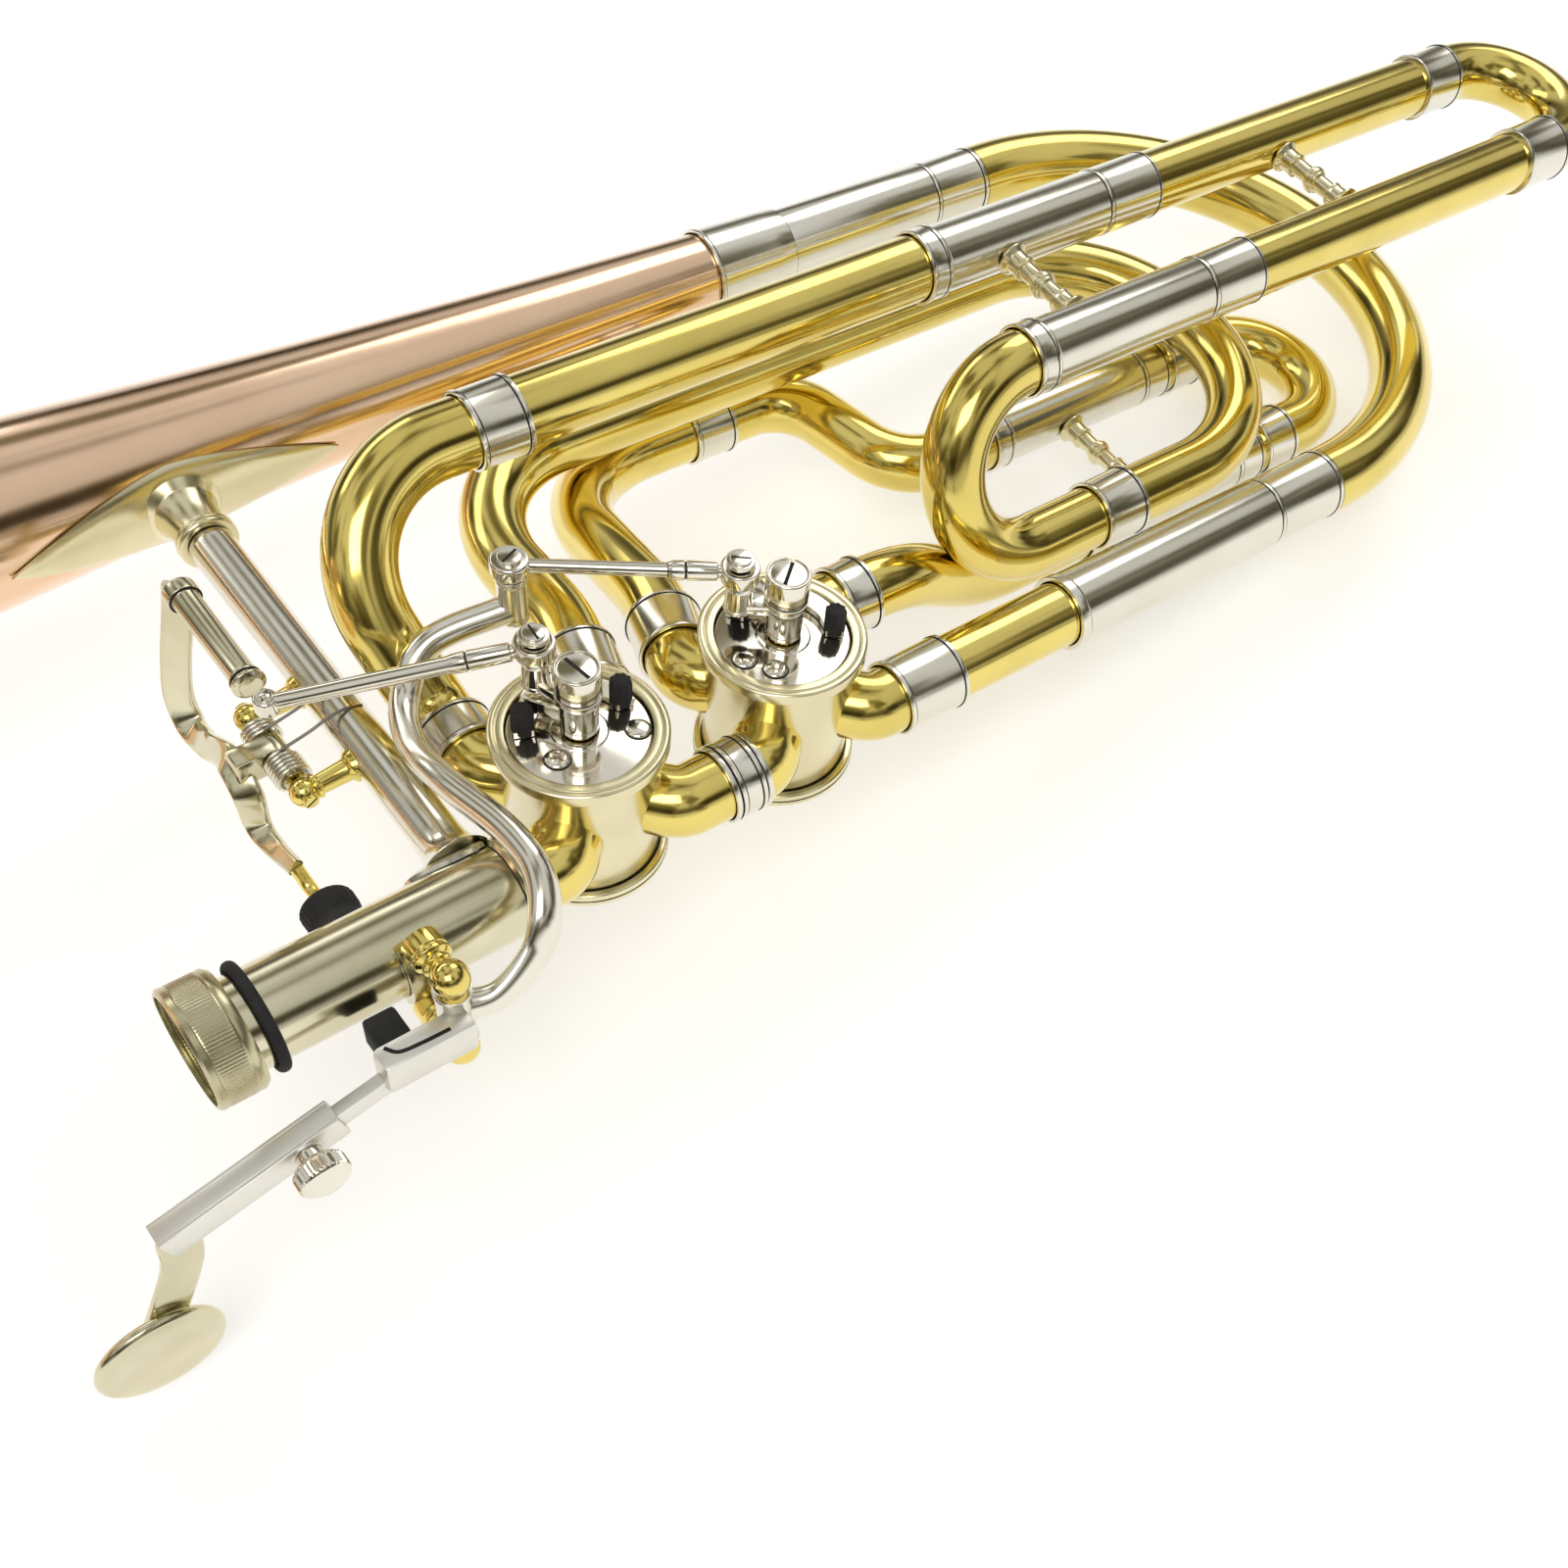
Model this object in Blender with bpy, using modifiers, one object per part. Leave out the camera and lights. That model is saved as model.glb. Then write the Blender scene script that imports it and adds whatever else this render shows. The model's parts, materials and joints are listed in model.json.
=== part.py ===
# Bell section of an in-line double rotor trombone, lying as it comes to rest on a table.
#
# Everything is laid out in the instrument's own directions and then laid down as a whole:
# X runs along the bell from its rim to the tuning slides, Y runs across from the receiver
# tube to the bell, and Z runs up the rotor spindles. X is 0 at the first rotor, Y is 0 on
# the receiver tube's axis and Z is 0 halfway up the rotors. Sizes are in millimetres, and
# the functions below turn them into metres.

import math

import bmesh
import bpy
from mathutils import Matrix, Vector

MM = 0.001

# Fits and facets
CLEAR = 0.3
ROUND_STEPS = 16
BELL_STEPS = 32
BEND_STEP = math.radians(22.5)
PIPE_RINGS = 4

# Walls
WALL = 0.6
THIN_WALL = 0.5

# Bell
BELL_Y = 153.3
RIM_X = -350.0
RIM_RADIUS = 120.65
RIM_BEAD = 1.8
BELL_END_X = 146.0
THROAT_RADIUS = 9.6
FLARE_POWER = 0.75
FLARE_START = 53.0
BELL_STATIONS = 13

# Bell ferrule and main tuning slide
BELL_FERRULE_X = (126.0, 152.4)
MAIN_INNER_RADIUS = 8.5
MAIN_LEG_WALL = 0.5
MAIN_OUTER_RADIUS = MAIN_INNER_RADIUS + CLEAR + WALL
MAIN_COLLAR_RADIUS = 9.0
MAIN_LEG_END_VALVE = 200.3
MAIN_LEG_END_BELL = 205.0
MAIN_COLLAR_END = MAIN_LEG_END_VALVE + 24.2
MAIN_BOW_CENTRE_X = MAIN_COLLAR_END + 4.5
MAIN_BOW_STRAIGHT = 4.2
MAIN_ENGAGED = 50.0

# Main tube, receiver and nut
MAIN_TUBE_RADIUS = 8.2
NECK_RADIUS = 10.2
NECK_START_X = -96.0
NECK_END_X = -24.0
NECK_SOCKET = 6.3
RECEIVER_MOUTH = 8.6
RECEIVER_THROAT = 7.6
RECEIVER_LENGTH = 46.0
NUT_RADIUS = 13.3
NUT_X = (-98.3, -87.7)
NUT_FLANGE_X = (-93.6, -90.8)
NUT_FLANGE_RADIUS = 11.6
NUT_THREAD_RADIUS = 12.0
O_RING_X = -84.0
O_RING_THICK = 0.9
O_RING_HALF_WIDTH = 1.6
NECK_RING_RADIUS = 11.6
NECK_RING_WIDTH = 4.0

# Rotors
VALVE_SPACING = 53.2
PORT_OFFSET = 15.8
CASE_RADIUS = 17.2
CASE_WALL = 1.6
CASE_BOTTOM = -17.0
CASE_TOP = 19.6
CASE_WEB = -13.3
FLANGE_RADIUS = 19.2
FLANGE_THICK = 3.6
CAP_BOTTOM = -19.6
CAP_FLOOR = 1.0
PLATE_THICK = 3.4
PLATE_TOP = 18.7
SPINDLE_RADIUS = 3.6
LOWER_SPINDLE_RADIUS = 3.0
PASSAGE_RADIUS = 6.9
PASSAGE_BEND = 18.4
PASSAGE_CENTRE = 26.0
PORT_RADIUS = 7.5
KNUCKLE_BEND = 7.0
KNUCKLE_REACH = 13.5
PLATE_HOLE_RADIUS = 1.7
ROTOR_TURN = 90.0

# Stop arms, bumpers and link rods
HUB_RADIUS = 4.3
HUB_TOP = 38.2
POST_ORBIT = 10.5
POST_RADIUS = 3.3
POST_JOURNAL = 2.4
POST_SHOULDER = 2.7
POST_TAPER = 1.2
POST_FIT = 0.4
EYE_PLAY = 0.9
EYE_BOTTOM = 35.6
EYE_THICK = 3.7
EYE_WALL = 1.6
POST_HEAD_THICK = 1.6
ARM_BOTTOM = 26.8
ARM_THICK = 2.7
ARM_WIDTH = 5.0
LUG_BOTTOM = 21.5
LUG_THICK = 4.0
LUG_WIDTH = 4.0
LUG_REACH = 12.4
BUMPER_RADIUS = 2.6
BUMPER_TOP = 26.2
BUMPER_ORBIT = 11.6
BUMPER_SPREAD = 26.0
BRACKET_THICK = 1.7
VALVE_1_POST = 112.0
VALVE_2_POST = 145.0
VALVE_1_LUG = 125.0
VALVE_2_LUG = 90.0
ROD_RADIUS = 1.5
ROD_SLEEVE_RADIUS = 2.1

# F tubing: the upper line and the lower return
LOOP_TUBE_RADIUS = 8.1
LOOP_INNER_RADIUS = 7.5
LOOP_OUTER_RADIUS = LOOP_INNER_RADIUS + CLEAR + WALL
SOCKET_BORE = LOOP_TUBE_RADIUS + CLEAR
FERRULE_RADIUS = SOCKET_BORE + WALL
SOCKET_DEPTH = 6.0
F_UPPER_Y = 85.2
F_LOWER_Y = 43.8
F_Z = 40.2
F_BEND_FERRULE_X = (15.3, 28.0)
F_OUTER_X = 142.0
F_LOWER_OUTER_X = 143.0
F_LEG_END = 203.0
F_COLLAR_END = F_LEG_END + 19.0
F_TUBE_END = 333.0
F_FERRULE_END = F_TUBE_END + 15.0
F_LOWER_FERRULE_END = F_TUBE_END + 17.5
F_ENGAGED = 50.0
F_OUTER_BRACE_X = 168.2
F_SLIDE_BRACE_X = 270.5
F_RETURN_Y = 25.4
F_RETURN_Z = -4.0
F_SMALL_BOW_X = 142.5
F_SMALL_FERRULE_X = (162.0, 176.0)
F_RETURN_FAR_X = 242.0
F_RETURN_BACK_Y = 114.0
F_RETURN_BEND = 43.0

# G flat tubing, under the F tubing
GB_UPPER_Y = 77.0
GB_LOWER_Y = 35.5
GB_Z = -21.0
GB_OUTER_X = 170.0
GB_LEG_END = 228.0
GB_COLLAR_END = GB_LEG_END + 12.0
GB_FERRULE_END = GB_COLLAR_END + 12.0
GB_BOW_X = GB_FERRULE_END + 6.5
GB_ENGAGED = 48.0
GB_BRACE_X = 198.0
GB_JOIN_X = 104.0
GB_JOIN_FERRULE = 6.5

# Cross brace between the receiver tube and the bell
BRACE_X = -33.0
BRACE_RADIUS = 5.4
BRACE_SPIGOT = 4.6
BRACE_SHOULDER_Y = 121.0
BRACE_END_Y = 131.0
BRACE_SOCKET_RADIUS = 6.3
BRACE_COLLAR = 7.2
FOOT_THICK = 1.4
FOOT_HALF_LENGTH = 13.0
FOOT_HALF_WIDTH = 8.4
DIAMOND_HALF_LENGTH = 41.0
DIAMOND_HALF_WIDTH = 11.0

# Small braces on the tuning slides
STAY_RADIUS = 2.4
STAY_FOOT = 4.4
STAY_RING = 3.6

# F lever
F_HINGE_X = -49.5
F_HINGE_Z = -2.0
F_PIVOT_Y = (46.5, 71.0)
F_HINGE_RADIUS = 3.2
F_POST_RADIUS = 2.3
F_LINK = (-51.5, 50.5, 24.0)
F_LINK_BALL = 2.6
F_BARREL_X = -51.9
F_BARREL_Z = 24.0
F_BARREL_Y = (55.9, 86.5)
F_BARREL_RADIUS = 3.0
F_BARREL_RING = 3.7
F_STRIP_THICK = 2.2
F_STRIP_HALF_WIDTH = 3.3
F_STRIP_FACING = (-0.45, -0.6, 0.66)
F_BLOCK_Y = (57.0, 62.5)
F_PAD_RADIUS = 6.8
F_PAD_THICK = 6.0
F_PAD = (-57.0, 22.0, -15.5)
SPRING_TURNS = 3
SPRING_WIRE = 0.45
SPRING_POINTS = 10

# G flat lever
GB_HINGE_X = -52.0
GB_HINGE_Y = -20.0
GB_HINGE_Z = (-9.7, 8.7)
GB_HINGE_RADIUS = 4.0
GB_EAR_THICK = 3.4
GB_ROD_RADIUS = 3.2
GB_POST = (4.0, 48.0)
GB_BAR_Y = -24.5
GB_BAR_START = (-64.0, -2.0)
GB_BAR_SLOPE = 15.4
GB_BAR_HALF_THICK = 1.5
GB_BAR_HALF_WIDTH = 2.3
GB_BAR_LENGTH = 40.0
GB_SLEEVE_START = 17.5
GB_SLEEVE_LENGTH = 39.5
GB_SLEEVE_WALL = 1.0
PADDLE_CENTRE = (-128.2, -54.5)
PADDLE_RADIUS = 13.6
PADDLE_THICK = 3.0
SCREW_HEAD_RADIUS = 5.4
SCREW_HEAD_THICK = 5.0
SCREW_SHANK_RADIUS = 1.8
SCREW_COLLAR_RADIUS = 2.8
SCREW_STAND_OFF = 2.7
SCREW_AT = 8.4
BALL_RADIUS = 3.3

# Places that follow from the sizes above
MAIN_SOCKET_X = 128.1
BRANCH_END_X = 133.7
BRANCH_FERRULE_X = (74.3, 91.6)
SPINDLE_TOP = 19.5
F_BEND_CORNER_X = -25.0
F_OUT_TURN_Y = 50.0
F_RETURN_LEAN = 29.7
GB_OUT_LEAN = 28.5
GB_APEX = (54.0, 119.5, -19.5)
GB_DIP = (133.0, 120.8, GB_Z)
GB_S_CORNER_X = 142.0
GB_RETURN_TURN_X = 102.0
GB_RETURN_FOOT_X = 134.0
GB_PAD_Y = -14.0
GB_PAD_X = (-69.0, -62.0)
GB_OUT_BENDS = (60.0, 36.0)
F_OUT_KNUCKLE = ((-15.7, 31.5, 0.0), (-15.7, 39.4, 0.0))
F_RETURN_KNUCKLE = ((15.4, 31.2, 0.0), (18.3, 42.9, 0.0))
GB_OUT_KNUCKLE = ((38.0, 31.0, 0.0), (41.9, 43.3, -1.37))
GB_RETURN_KNUCKLE = ((VALVE_SPACING + 15.7, 31.5, 0.0), (86.0, 31.5, 0.0))
NECK_KNUCKLE = ((-15.7, 0.0, 0.0), (-30.0, 0.0, 0.0))
BRIDGE_KNUCKLE_1 = ((15.7, 0.0, 0.0), (29.3, 0.0, 0.0))
BRIDGE_KNUCKLE_2 = ((VALVE_SPACING - 15.7, 0.0, 0.0), (29.6, 0.0, 0.0))
BRANCH_KNUCKLE = ((VALVE_SPACING + 15.7, 0.0, 0.0), (82.5, 0.0, 0.0))
PLATE_HOLES = {1: ((209.0, 9.4), (329.0, 12.3)), 2: ((188.0, 11.9), (225.0, 10.7))}
F_STRIP = (
    (F_BARREL_X - 0.3, F_BARREL_Y[1] + 0.2, F_BARREL_Z + 1.5),
    (-53.2, 88.4, 17.0),
    (-56.0, 89.2, 4.0),
    (-58.0, 88.3, -6.0),
    (-58.3, 84.5, -12.3),
    (-58.4, 76.0, -10.3),
    (-58.2, 64.0, -3.5),
    (-58.5, 56.0, -6.6),
    (-58.8, 53.0, -14.8),
    (-58.5, 46.3, -15.4),
    (-58.0, 37.5, -13.0),
)
GB_ARM = (
    (GB_HINGE_X, GB_HINGE_Y, 2.0),
    (-43.5, -22.6, 2.5),
    (-34.0, -21.2, 8.0),
    (-29.5, -18.0, 14.0),
    (-26.3, -10.0, 17.8),
    (-26.4, 2.0, 18.3),
    (-29.6, 18.6, 17.4),
    (-29.8, 32.6, 14.9),
    (-24.6, 45.2, 14.6),
    (-14.6, 51.2, 21.0),
    (GB_POST[0], GB_POST[1], 25.0),
)


def clear_scene():
    for obj in list(bpy.data.objects):
        bpy.data.objects.remove(obj, do_unlink=True)


def new_collection(name):
    found = bpy.data.collections.new(name)
    bpy.context.scene.collection.children.link(found)
    return found


def new_material(name, colour, roughness, metallic):
    made = bpy.data.materials.new(name)
    made.use_nodes = True
    shader = made.node_tree.nodes["Principled BSDF"]
    shader.inputs["Base Color"].default_value = (*colour, 1.0)
    shader.inputs["Roughness"].default_value = roughness
    shader.inputs["Metallic"].default_value = metallic
    return made


clear_scene()
PARTS = new_collection("trombone_bell_section")
CUTTERS = new_collection("cutters")
FINISHES = {
    "brass": ((0.72, 0.53, 0.16), 0.16, 1.0),
    "rose_brass": ((0.78, 0.50, 0.27), 0.18, 1.0),
    "nickel": ((0.62, 0.60, 0.52), 0.17, 1.0),
    "rubber": ((0.015, 0.015, 0.015), 0.7, 0.0),
}


def metres(point):
    return Vector(point) * MM


def add_object(name, data, finish):
    made = bpy.data.objects.new(name, data)
    PARTS.objects.link(made)
    colour, roughness, metallic = FINISHES[finish]
    data.materials.append(new_material(name, colour, roughness, metallic))
    return made


def aim(obj, at, direction):
    # Puts the local Z axis along the direction and the origin at the point.
    obj.rotation_euler = Vector(direction).to_track_quat("Z", "Y").to_euler()
    obj.location = metres(at)
    return obj


def turned(name, profile, finish, at=(0, 0, 0), axis=(1, 0, 0), steps=ROUND_STEPS, solid=False):
    # Revolves (radius, height) points. A hollow profile is a closed loop, and it runs
    # down its outer side. A solid profile starts and ends on the axis.
    mesh = bpy.data.meshes.new(name)
    points = [(radius * MM, 0.0, height * MM) for radius, height in profile]
    edges = [(i, i + 1) for i in range(len(points) - 1)]
    if not solid:
        edges.append((len(points) - 1, 0))
    mesh.from_pydata(points, edges, [])
    obj = add_object(name, mesh, finish)
    screw = obj.modifiers.new("turn", "SCREW")
    screw.axis = "Z"
    screw.steps = steps
    screw.render_steps = steps
    screw.use_merge_vertices = True
    screw.merge_threshold = 0.00001
    return aim(obj, at, axis)


def sleeve(outer, inner):
    # A closed loop from (height, radius) stations, both lists running up the axis.
    down = [(radius, height) for height, radius in reversed(outer)]
    up = [(radius, height) for height, radius in inner]
    return down + up


def plug(outer):
    # A solid profile from (height, radius) stations running up the axis.
    sides = [(radius, height) for height, radius in reversed(outer)]
    return [(0.0, outer[-1][0])] + sides + [(0.0, outer[0][0])]


def filleted(points, radii):
    # A path with its corners rounded, with points about BEND_STEP apart round each bend.
    points = [Vector(point) for point in points]
    path = [points[0]]
    for before, corner, after, radius in zip(points, points[1:], points[2:], radii):
        back = (before - corner).normalized()
        ahead = (after - corner).normalized()
        turn = math.pi - back.angle(ahead)
        reach = radius * math.tan(turn / 2)
        centre = corner + (back + ahead).normalized() * (radius / math.cos(turn / 2))
        start = corner + back * reach - centre
        side = -back
        steps = max(2, round(turn / BEND_STEP))
        for i in range(steps + 1):
            angle = turn * i / steps
            path.append(centre + start * math.cos(angle) + side * radius * math.sin(angle))
    path.append(points[-1])
    return path


def half_circle(start, end, bulge):
    # Points of a half circle from start to end that bulges along the given direction.
    start = Vector(start)
    end = Vector(end)
    middle = (start + end) / 2
    arm = start - middle
    out = Vector(bulge).normalized() * arm.length
    steps = round(math.pi / BEND_STEP)
    turns = [math.pi * i / steps for i in range(steps + 1)]
    return [middle + arm * math.cos(turn) + out * math.sin(turn) for turn in turns]


def path_curve(name, path, radius, finish, caps, rings=PIPE_RINGS, factors=None):
    curve = bpy.data.curves.new(name, "CURVE")
    curve.dimensions = "3D"
    curve.bevel_depth = radius * MM
    curve.bevel_resolution = rings
    curve.use_fill_caps = caps
    spline = curve.splines.new("POLY")
    spline.points.add(len(path) - 1)
    for i, (point, spot) in enumerate(zip(path, spline.points)):
        spot.co = (*metres(point), 1.0)
        spot.radius = factors[i] if factors else 1.0
    return add_object(name, curve, finish)


def pipe(name, path, radius, wall, finish, factors=None, rings=PIPE_RINGS):
    # An open tube along a path: the outer skin with its wall grown inwards.
    obj = path_curve(name, path, radius, finish, False, rings, factors)
    shell = obj.modifiers.new("wall", "SOLIDIFY")
    shell.thickness = wall * MM
    shell.offset = -1.0
    shell.use_even_offset = True
    return obj


def as_mesh(obj):
    # A curve's evaluated shape as a welded mesh object, which Booleans can use.
    bpy.context.view_layer.update()
    graph = bpy.context.evaluated_depsgraph_get()
    mesh = bpy.data.meshes.new_from_object(obj.evaluated_get(graph))
    shape = bmesh.new()
    shape.from_mesh(mesh)
    bmesh.ops.remove_doubles(shape, verts=shape.verts, dist=0.000001)
    shape.to_mesh(mesh)
    shape.free()
    name = obj.name
    matrix = obj.matrix_world.copy()
    material = obj.data.materials[0]
    bpy.data.objects.remove(obj, do_unlink=True)
    made = bpy.data.objects.new(name, mesh)
    PARTS.objects.link(made)
    made.matrix_world = matrix
    mesh.materials.clear()
    mesh.materials.append(material)
    return made


def rod(name, path, radius, finish, rings=2):
    return as_mesh(path_curve(name, path, radius, finish, caps=True, rings=rings))


def box(name, low, high, finish):
    mesh = bpy.data.meshes.new(name)
    shape = bmesh.new()
    bmesh.ops.create_cube(shape, size=1.0)
    size = [(b - a) * MM for a, b in zip(low, high)]
    bmesh.ops.scale(shape, vec=size, verts=shape.verts)
    shape.to_mesh(mesh)
    shape.free()
    obj = add_object(name, mesh, finish)
    obj.location = metres([(a + b) / 2 for a, b in zip(low, high)])
    return obj


def ball(name, at, radius, finish):
    mesh = bpy.data.meshes.new(name)
    shape = bmesh.new()
    bmesh.ops.create_icosphere(shape, subdivisions=2, radius=radius * MM)
    shape.to_mesh(mesh)
    shape.free()
    obj = add_object(name, mesh, finish)
    obj.location = metres(at)
    return obj


def flat(name, outline, thick, at, axis, finish):
    # A flat outline given in its own plane, with its thickness centred on that plane.
    curve = bpy.data.curves.new(name, "CURVE")
    curve.dimensions = "2D"
    curve.fill_mode = "BOTH"
    curve.extrude = thick / 2 * MM
    spline = curve.splines.new("POLY")
    spline.points.add(len(outline) - 1)
    for (across, up), spot in zip(outline, spline.points):
        spot.co = (across * MM, up * MM, 0.0, 1.0)
    spline.use_cyclic_u = True
    obj = add_object(name, curve, finish)
    columns = {
        "X": Matrix(((0, 0, 1), (1, 0, 0), (0, 1, 0))),
        "Y": Matrix(((-1, 0, 0), (0, 0, 1), (0, 1, 0))),
        "Z": Matrix.Identity(3),
    }[axis]
    obj.matrix_world = Matrix.Translation(metres(at)) @ columns.to_4x4()
    return as_mesh(obj)


def aside(obj):
    PARTS.objects.unlink(obj)
    CUTTERS.objects.link(obj)
    obj.hide_render = True
    obj.display_type = "WIRE"


def boolean(obj, other, operation):
    step = obj.modifiers.new(operation.lower(), "BOOLEAN")
    step.operation = operation
    step.solver = "EXACT"
    step.object = other
    aside(other)
    return obj


def joined(obj, *others):
    for other in others:
        boolean(obj, other, "UNION")
    return obj


def cut(obj, *others):
    for other in others:
        boolean(obj, other, "DIFFERENCE")
    return obj


def flare(x):
    # Outer radius of the bell at x: it falls off as a power of the distance from the rim.
    rim = FLARE_START**-FLARE_POWER
    stem = (BELL_END_X - RIM_X + FLARE_START) ** -FLARE_POWER
    scale = (RIM_RADIUS - THROAT_RADIUS) / (rim - stem)
    here = (x - RIM_X + FLARE_START) ** -FLARE_POWER
    return THROAT_RADIUS + scale * (here - stem)


def bell_stations():
    # Closer together towards the rim, where the radius changes fastest.
    length = BELL_END_X - RIM_X
    last = BELL_STATIONS - 1
    return [RIM_X + length * (i / last) ** 2.2 for i in range(BELL_STATIONS)]


def make_bell():
    stations = bell_stations()
    outer = [(x, flare(x)) for x in stations]
    inner = [(x, flare(x) - WALL) for x in stations]
    rim = RIM_RADIUS
    bead = [
        (RIM_X - RIM_BEAD, rim - 0.4 * RIM_BEAD),
        (RIM_X - RIM_BEAD, rim + 0.6 * RIM_BEAD),
        (RIM_X - 0.4 * RIM_BEAD, rim + RIM_BEAD),
        (RIM_X + RIM_BEAD, rim + 0.2 * RIM_BEAD),
    ]
    outer = bead + [station for station in outer if station[0] > RIM_X + RIM_BEAD]
    turned("bell", sleeve(outer, inner), "rose_brass", (0, BELL_Y, 0), steps=BELL_STEPS)
    start, end = BELL_FERRULE_X
    leg_start = BELL_END_X + CLEAR
    bore = [
        (start, flare(start) + CLEAR),
        (leg_start, THROAT_RADIUS + CLEAR),
        (end, MAIN_OUTER_RADIUS + CLEAR),
    ]
    skin = [(x, radius + WALL) for x, radius in bore]
    skin.insert(1, (start + 3.0, skin[0][1]))
    turned("bell_ferrule", sleeve(skin, bore), "nickel", (0, BELL_Y, 0))


def make_main_slide():
    bell_start = BELL_END_X + 2 * CLEAR
    outer = [(bell_start, MAIN_OUTER_RADIUS), (MAIN_LEG_END_BELL, MAIN_OUTER_RADIUS)]
    bore = MAIN_INNER_RADIUS + CLEAR
    inner = [(bell_start, bore), (MAIN_LEG_END_BELL, bore)]
    turned("main_outer_leg_bell", sleeve(outer, inner), "nickel", (0, BELL_Y, 0))
    socket_end = BRANCH_END_X + CLEAR
    ring = MAIN_TUBE_RADIUS + CLEAR + 2 * WALL
    outer = [
        (MAIN_SOCKET_X, ring),
        (MAIN_SOCKET_X + 2.6, ring),
        (MAIN_SOCKET_X + 3.0, MAIN_OUTER_RADIUS),
        (MAIN_LEG_END_VALVE, MAIN_OUTER_RADIUS),
    ]
    inner = [
        (MAIN_SOCKET_X, MAIN_TUBE_RADIUS + CLEAR),
        (socket_end, MAIN_TUBE_RADIUS + CLEAR),
        (socket_end + 0.5, bore),
        (MAIN_LEG_END_VALVE, bore),
    ]
    turned("main_outer_leg_valve", sleeve(outer, inner), "nickel")

    bow_start = MAIN_BOW_CENTRE_X - MAIN_BOW_STRAIGHT
    legs = (
        ("main_slide_leg_valve", 0.0, MAIN_LEG_END_VALVE),
        ("main_slide_leg_bell", BELL_Y, MAIN_LEG_END_BELL),
    )
    for name, y, leg_end in legs:
        collar = leg_end + CLEAR
        spigot_end = MAIN_BOW_CENTRE_X - CLEAR
        outer = [
            (leg_end - MAIN_ENGAGED, MAIN_INNER_RADIUS),
            (collar, MAIN_INNER_RADIUS),
            (collar, MAIN_COLLAR_RADIUS),
            (MAIN_COLLAR_END, MAIN_COLLAR_RADIUS),
            (MAIN_COLLAR_END, MAIN_INNER_RADIUS),
            (spigot_end, MAIN_INNER_RADIUS),
        ]
        bore = MAIN_INNER_RADIUS - MAIN_LEG_WALL
        inner = [(leg_end - MAIN_ENGAGED, bore), (spigot_end, bore)]
        leg = turned(name, sleeve(outer, inner), "nickel", (0, y, 0))
        carry(leg, MAIN_SLIDE)
    centre = MAIN_BOW_CENTRE_X
    arc = half_circle((centre, 0, 0), (centre, BELL_Y, 0), (1, 0, 0))
    path = [Vector((bow_start, 0, 0))] + arc + [Vector((bow_start, BELL_Y, 0))]
    bow_radius = MAIN_INNER_RADIUS + CLEAR + THIN_WALL
    bow = pipe("main_slide_bow", path, bow_radius, THIN_WALL, "brass", rings=PIPE_RINGS + 2)
    carry(bow, MAIN_SLIDE)


def make_receiver():
    flange_low, flange_high = NUT_FLANGE_X
    ring_start = NECK_END_X - NECK_RING_WIDTH
    outer = [
        (NECK_START_X, RECEIVER_MOUTH + WALL),
        (flange_low, RECEIVER_MOUTH + WALL),
        (flange_low, NUT_FLANGE_RADIUS),
        (flange_high, NUT_FLANGE_RADIUS),
        (flange_high, NECK_RADIUS),
        (ring_start, NECK_RADIUS),
        (ring_start + 1.0, NECK_RING_RADIUS),
        (NECK_END_X - 1.0, NECK_RING_RADIUS),
        (NECK_END_X, NECK_RADIUS),
    ]
    socket = NECK_END_X - NECK_SOCKET
    inner = [
        (NECK_START_X, RECEIVER_MOUTH),
        (NECK_START_X + RECEIVER_LENGTH, RECEIVER_THROAT),
        (socket, RECEIVER_THROAT),
        (socket, MAIN_TUBE_RADIUS + CLEAR),
        (NECK_END_X, MAIN_TUBE_RADIUS + CLEAR),
    ]
    turned("neckpipe", sleeve(outer, inner), "nickel")

    nut_low, nut_high = NUT_X
    outer = [
        (nut_low, NUT_RADIUS - 0.6),
        (nut_low + 0.6, NUT_RADIUS),
        (nut_high - 1.6, NUT_RADIUS),
        (nut_high, NUT_RADIUS - 0.9),
    ]
    shoulder = flange_high + CLEAR
    inner = [
        (nut_low, NUT_THREAD_RADIUS),
        (shoulder, NUT_THREAD_RADIUS),
        (shoulder, NECK_RADIUS + CLEAR),
        (nut_high, NECK_RADIUS + CLEAR),
    ]
    carry(turned("slide_nut", sleeve(outer, inner), "nickel"), NUT_AXIS)

    centre = NECK_RADIUS + CLEAR + O_RING_THICK
    turns = [math.radians(45 * i) for i in range(8)]
    loop = [
        (centre + O_RING_THICK * math.cos(turn), O_RING_X - O_RING_HALF_WIDTH * math.sin(turn))
        for turn in turns
    ]
    turned("nut_ring", loop, "rubber")


def knuckle_path(valve_x, port, corner, end):
    # From inside the casing wall out through the port and round into line with the tube.
    angle = math.radians(port)
    start = Vector((valve_x, PORT_OFFSET, 0))
    start += Vector((math.cos(angle), math.sin(angle), 0)) * KNUCKLE_REACH
    return filleted([start, corner, end], [KNUCKLE_BEND])


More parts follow.
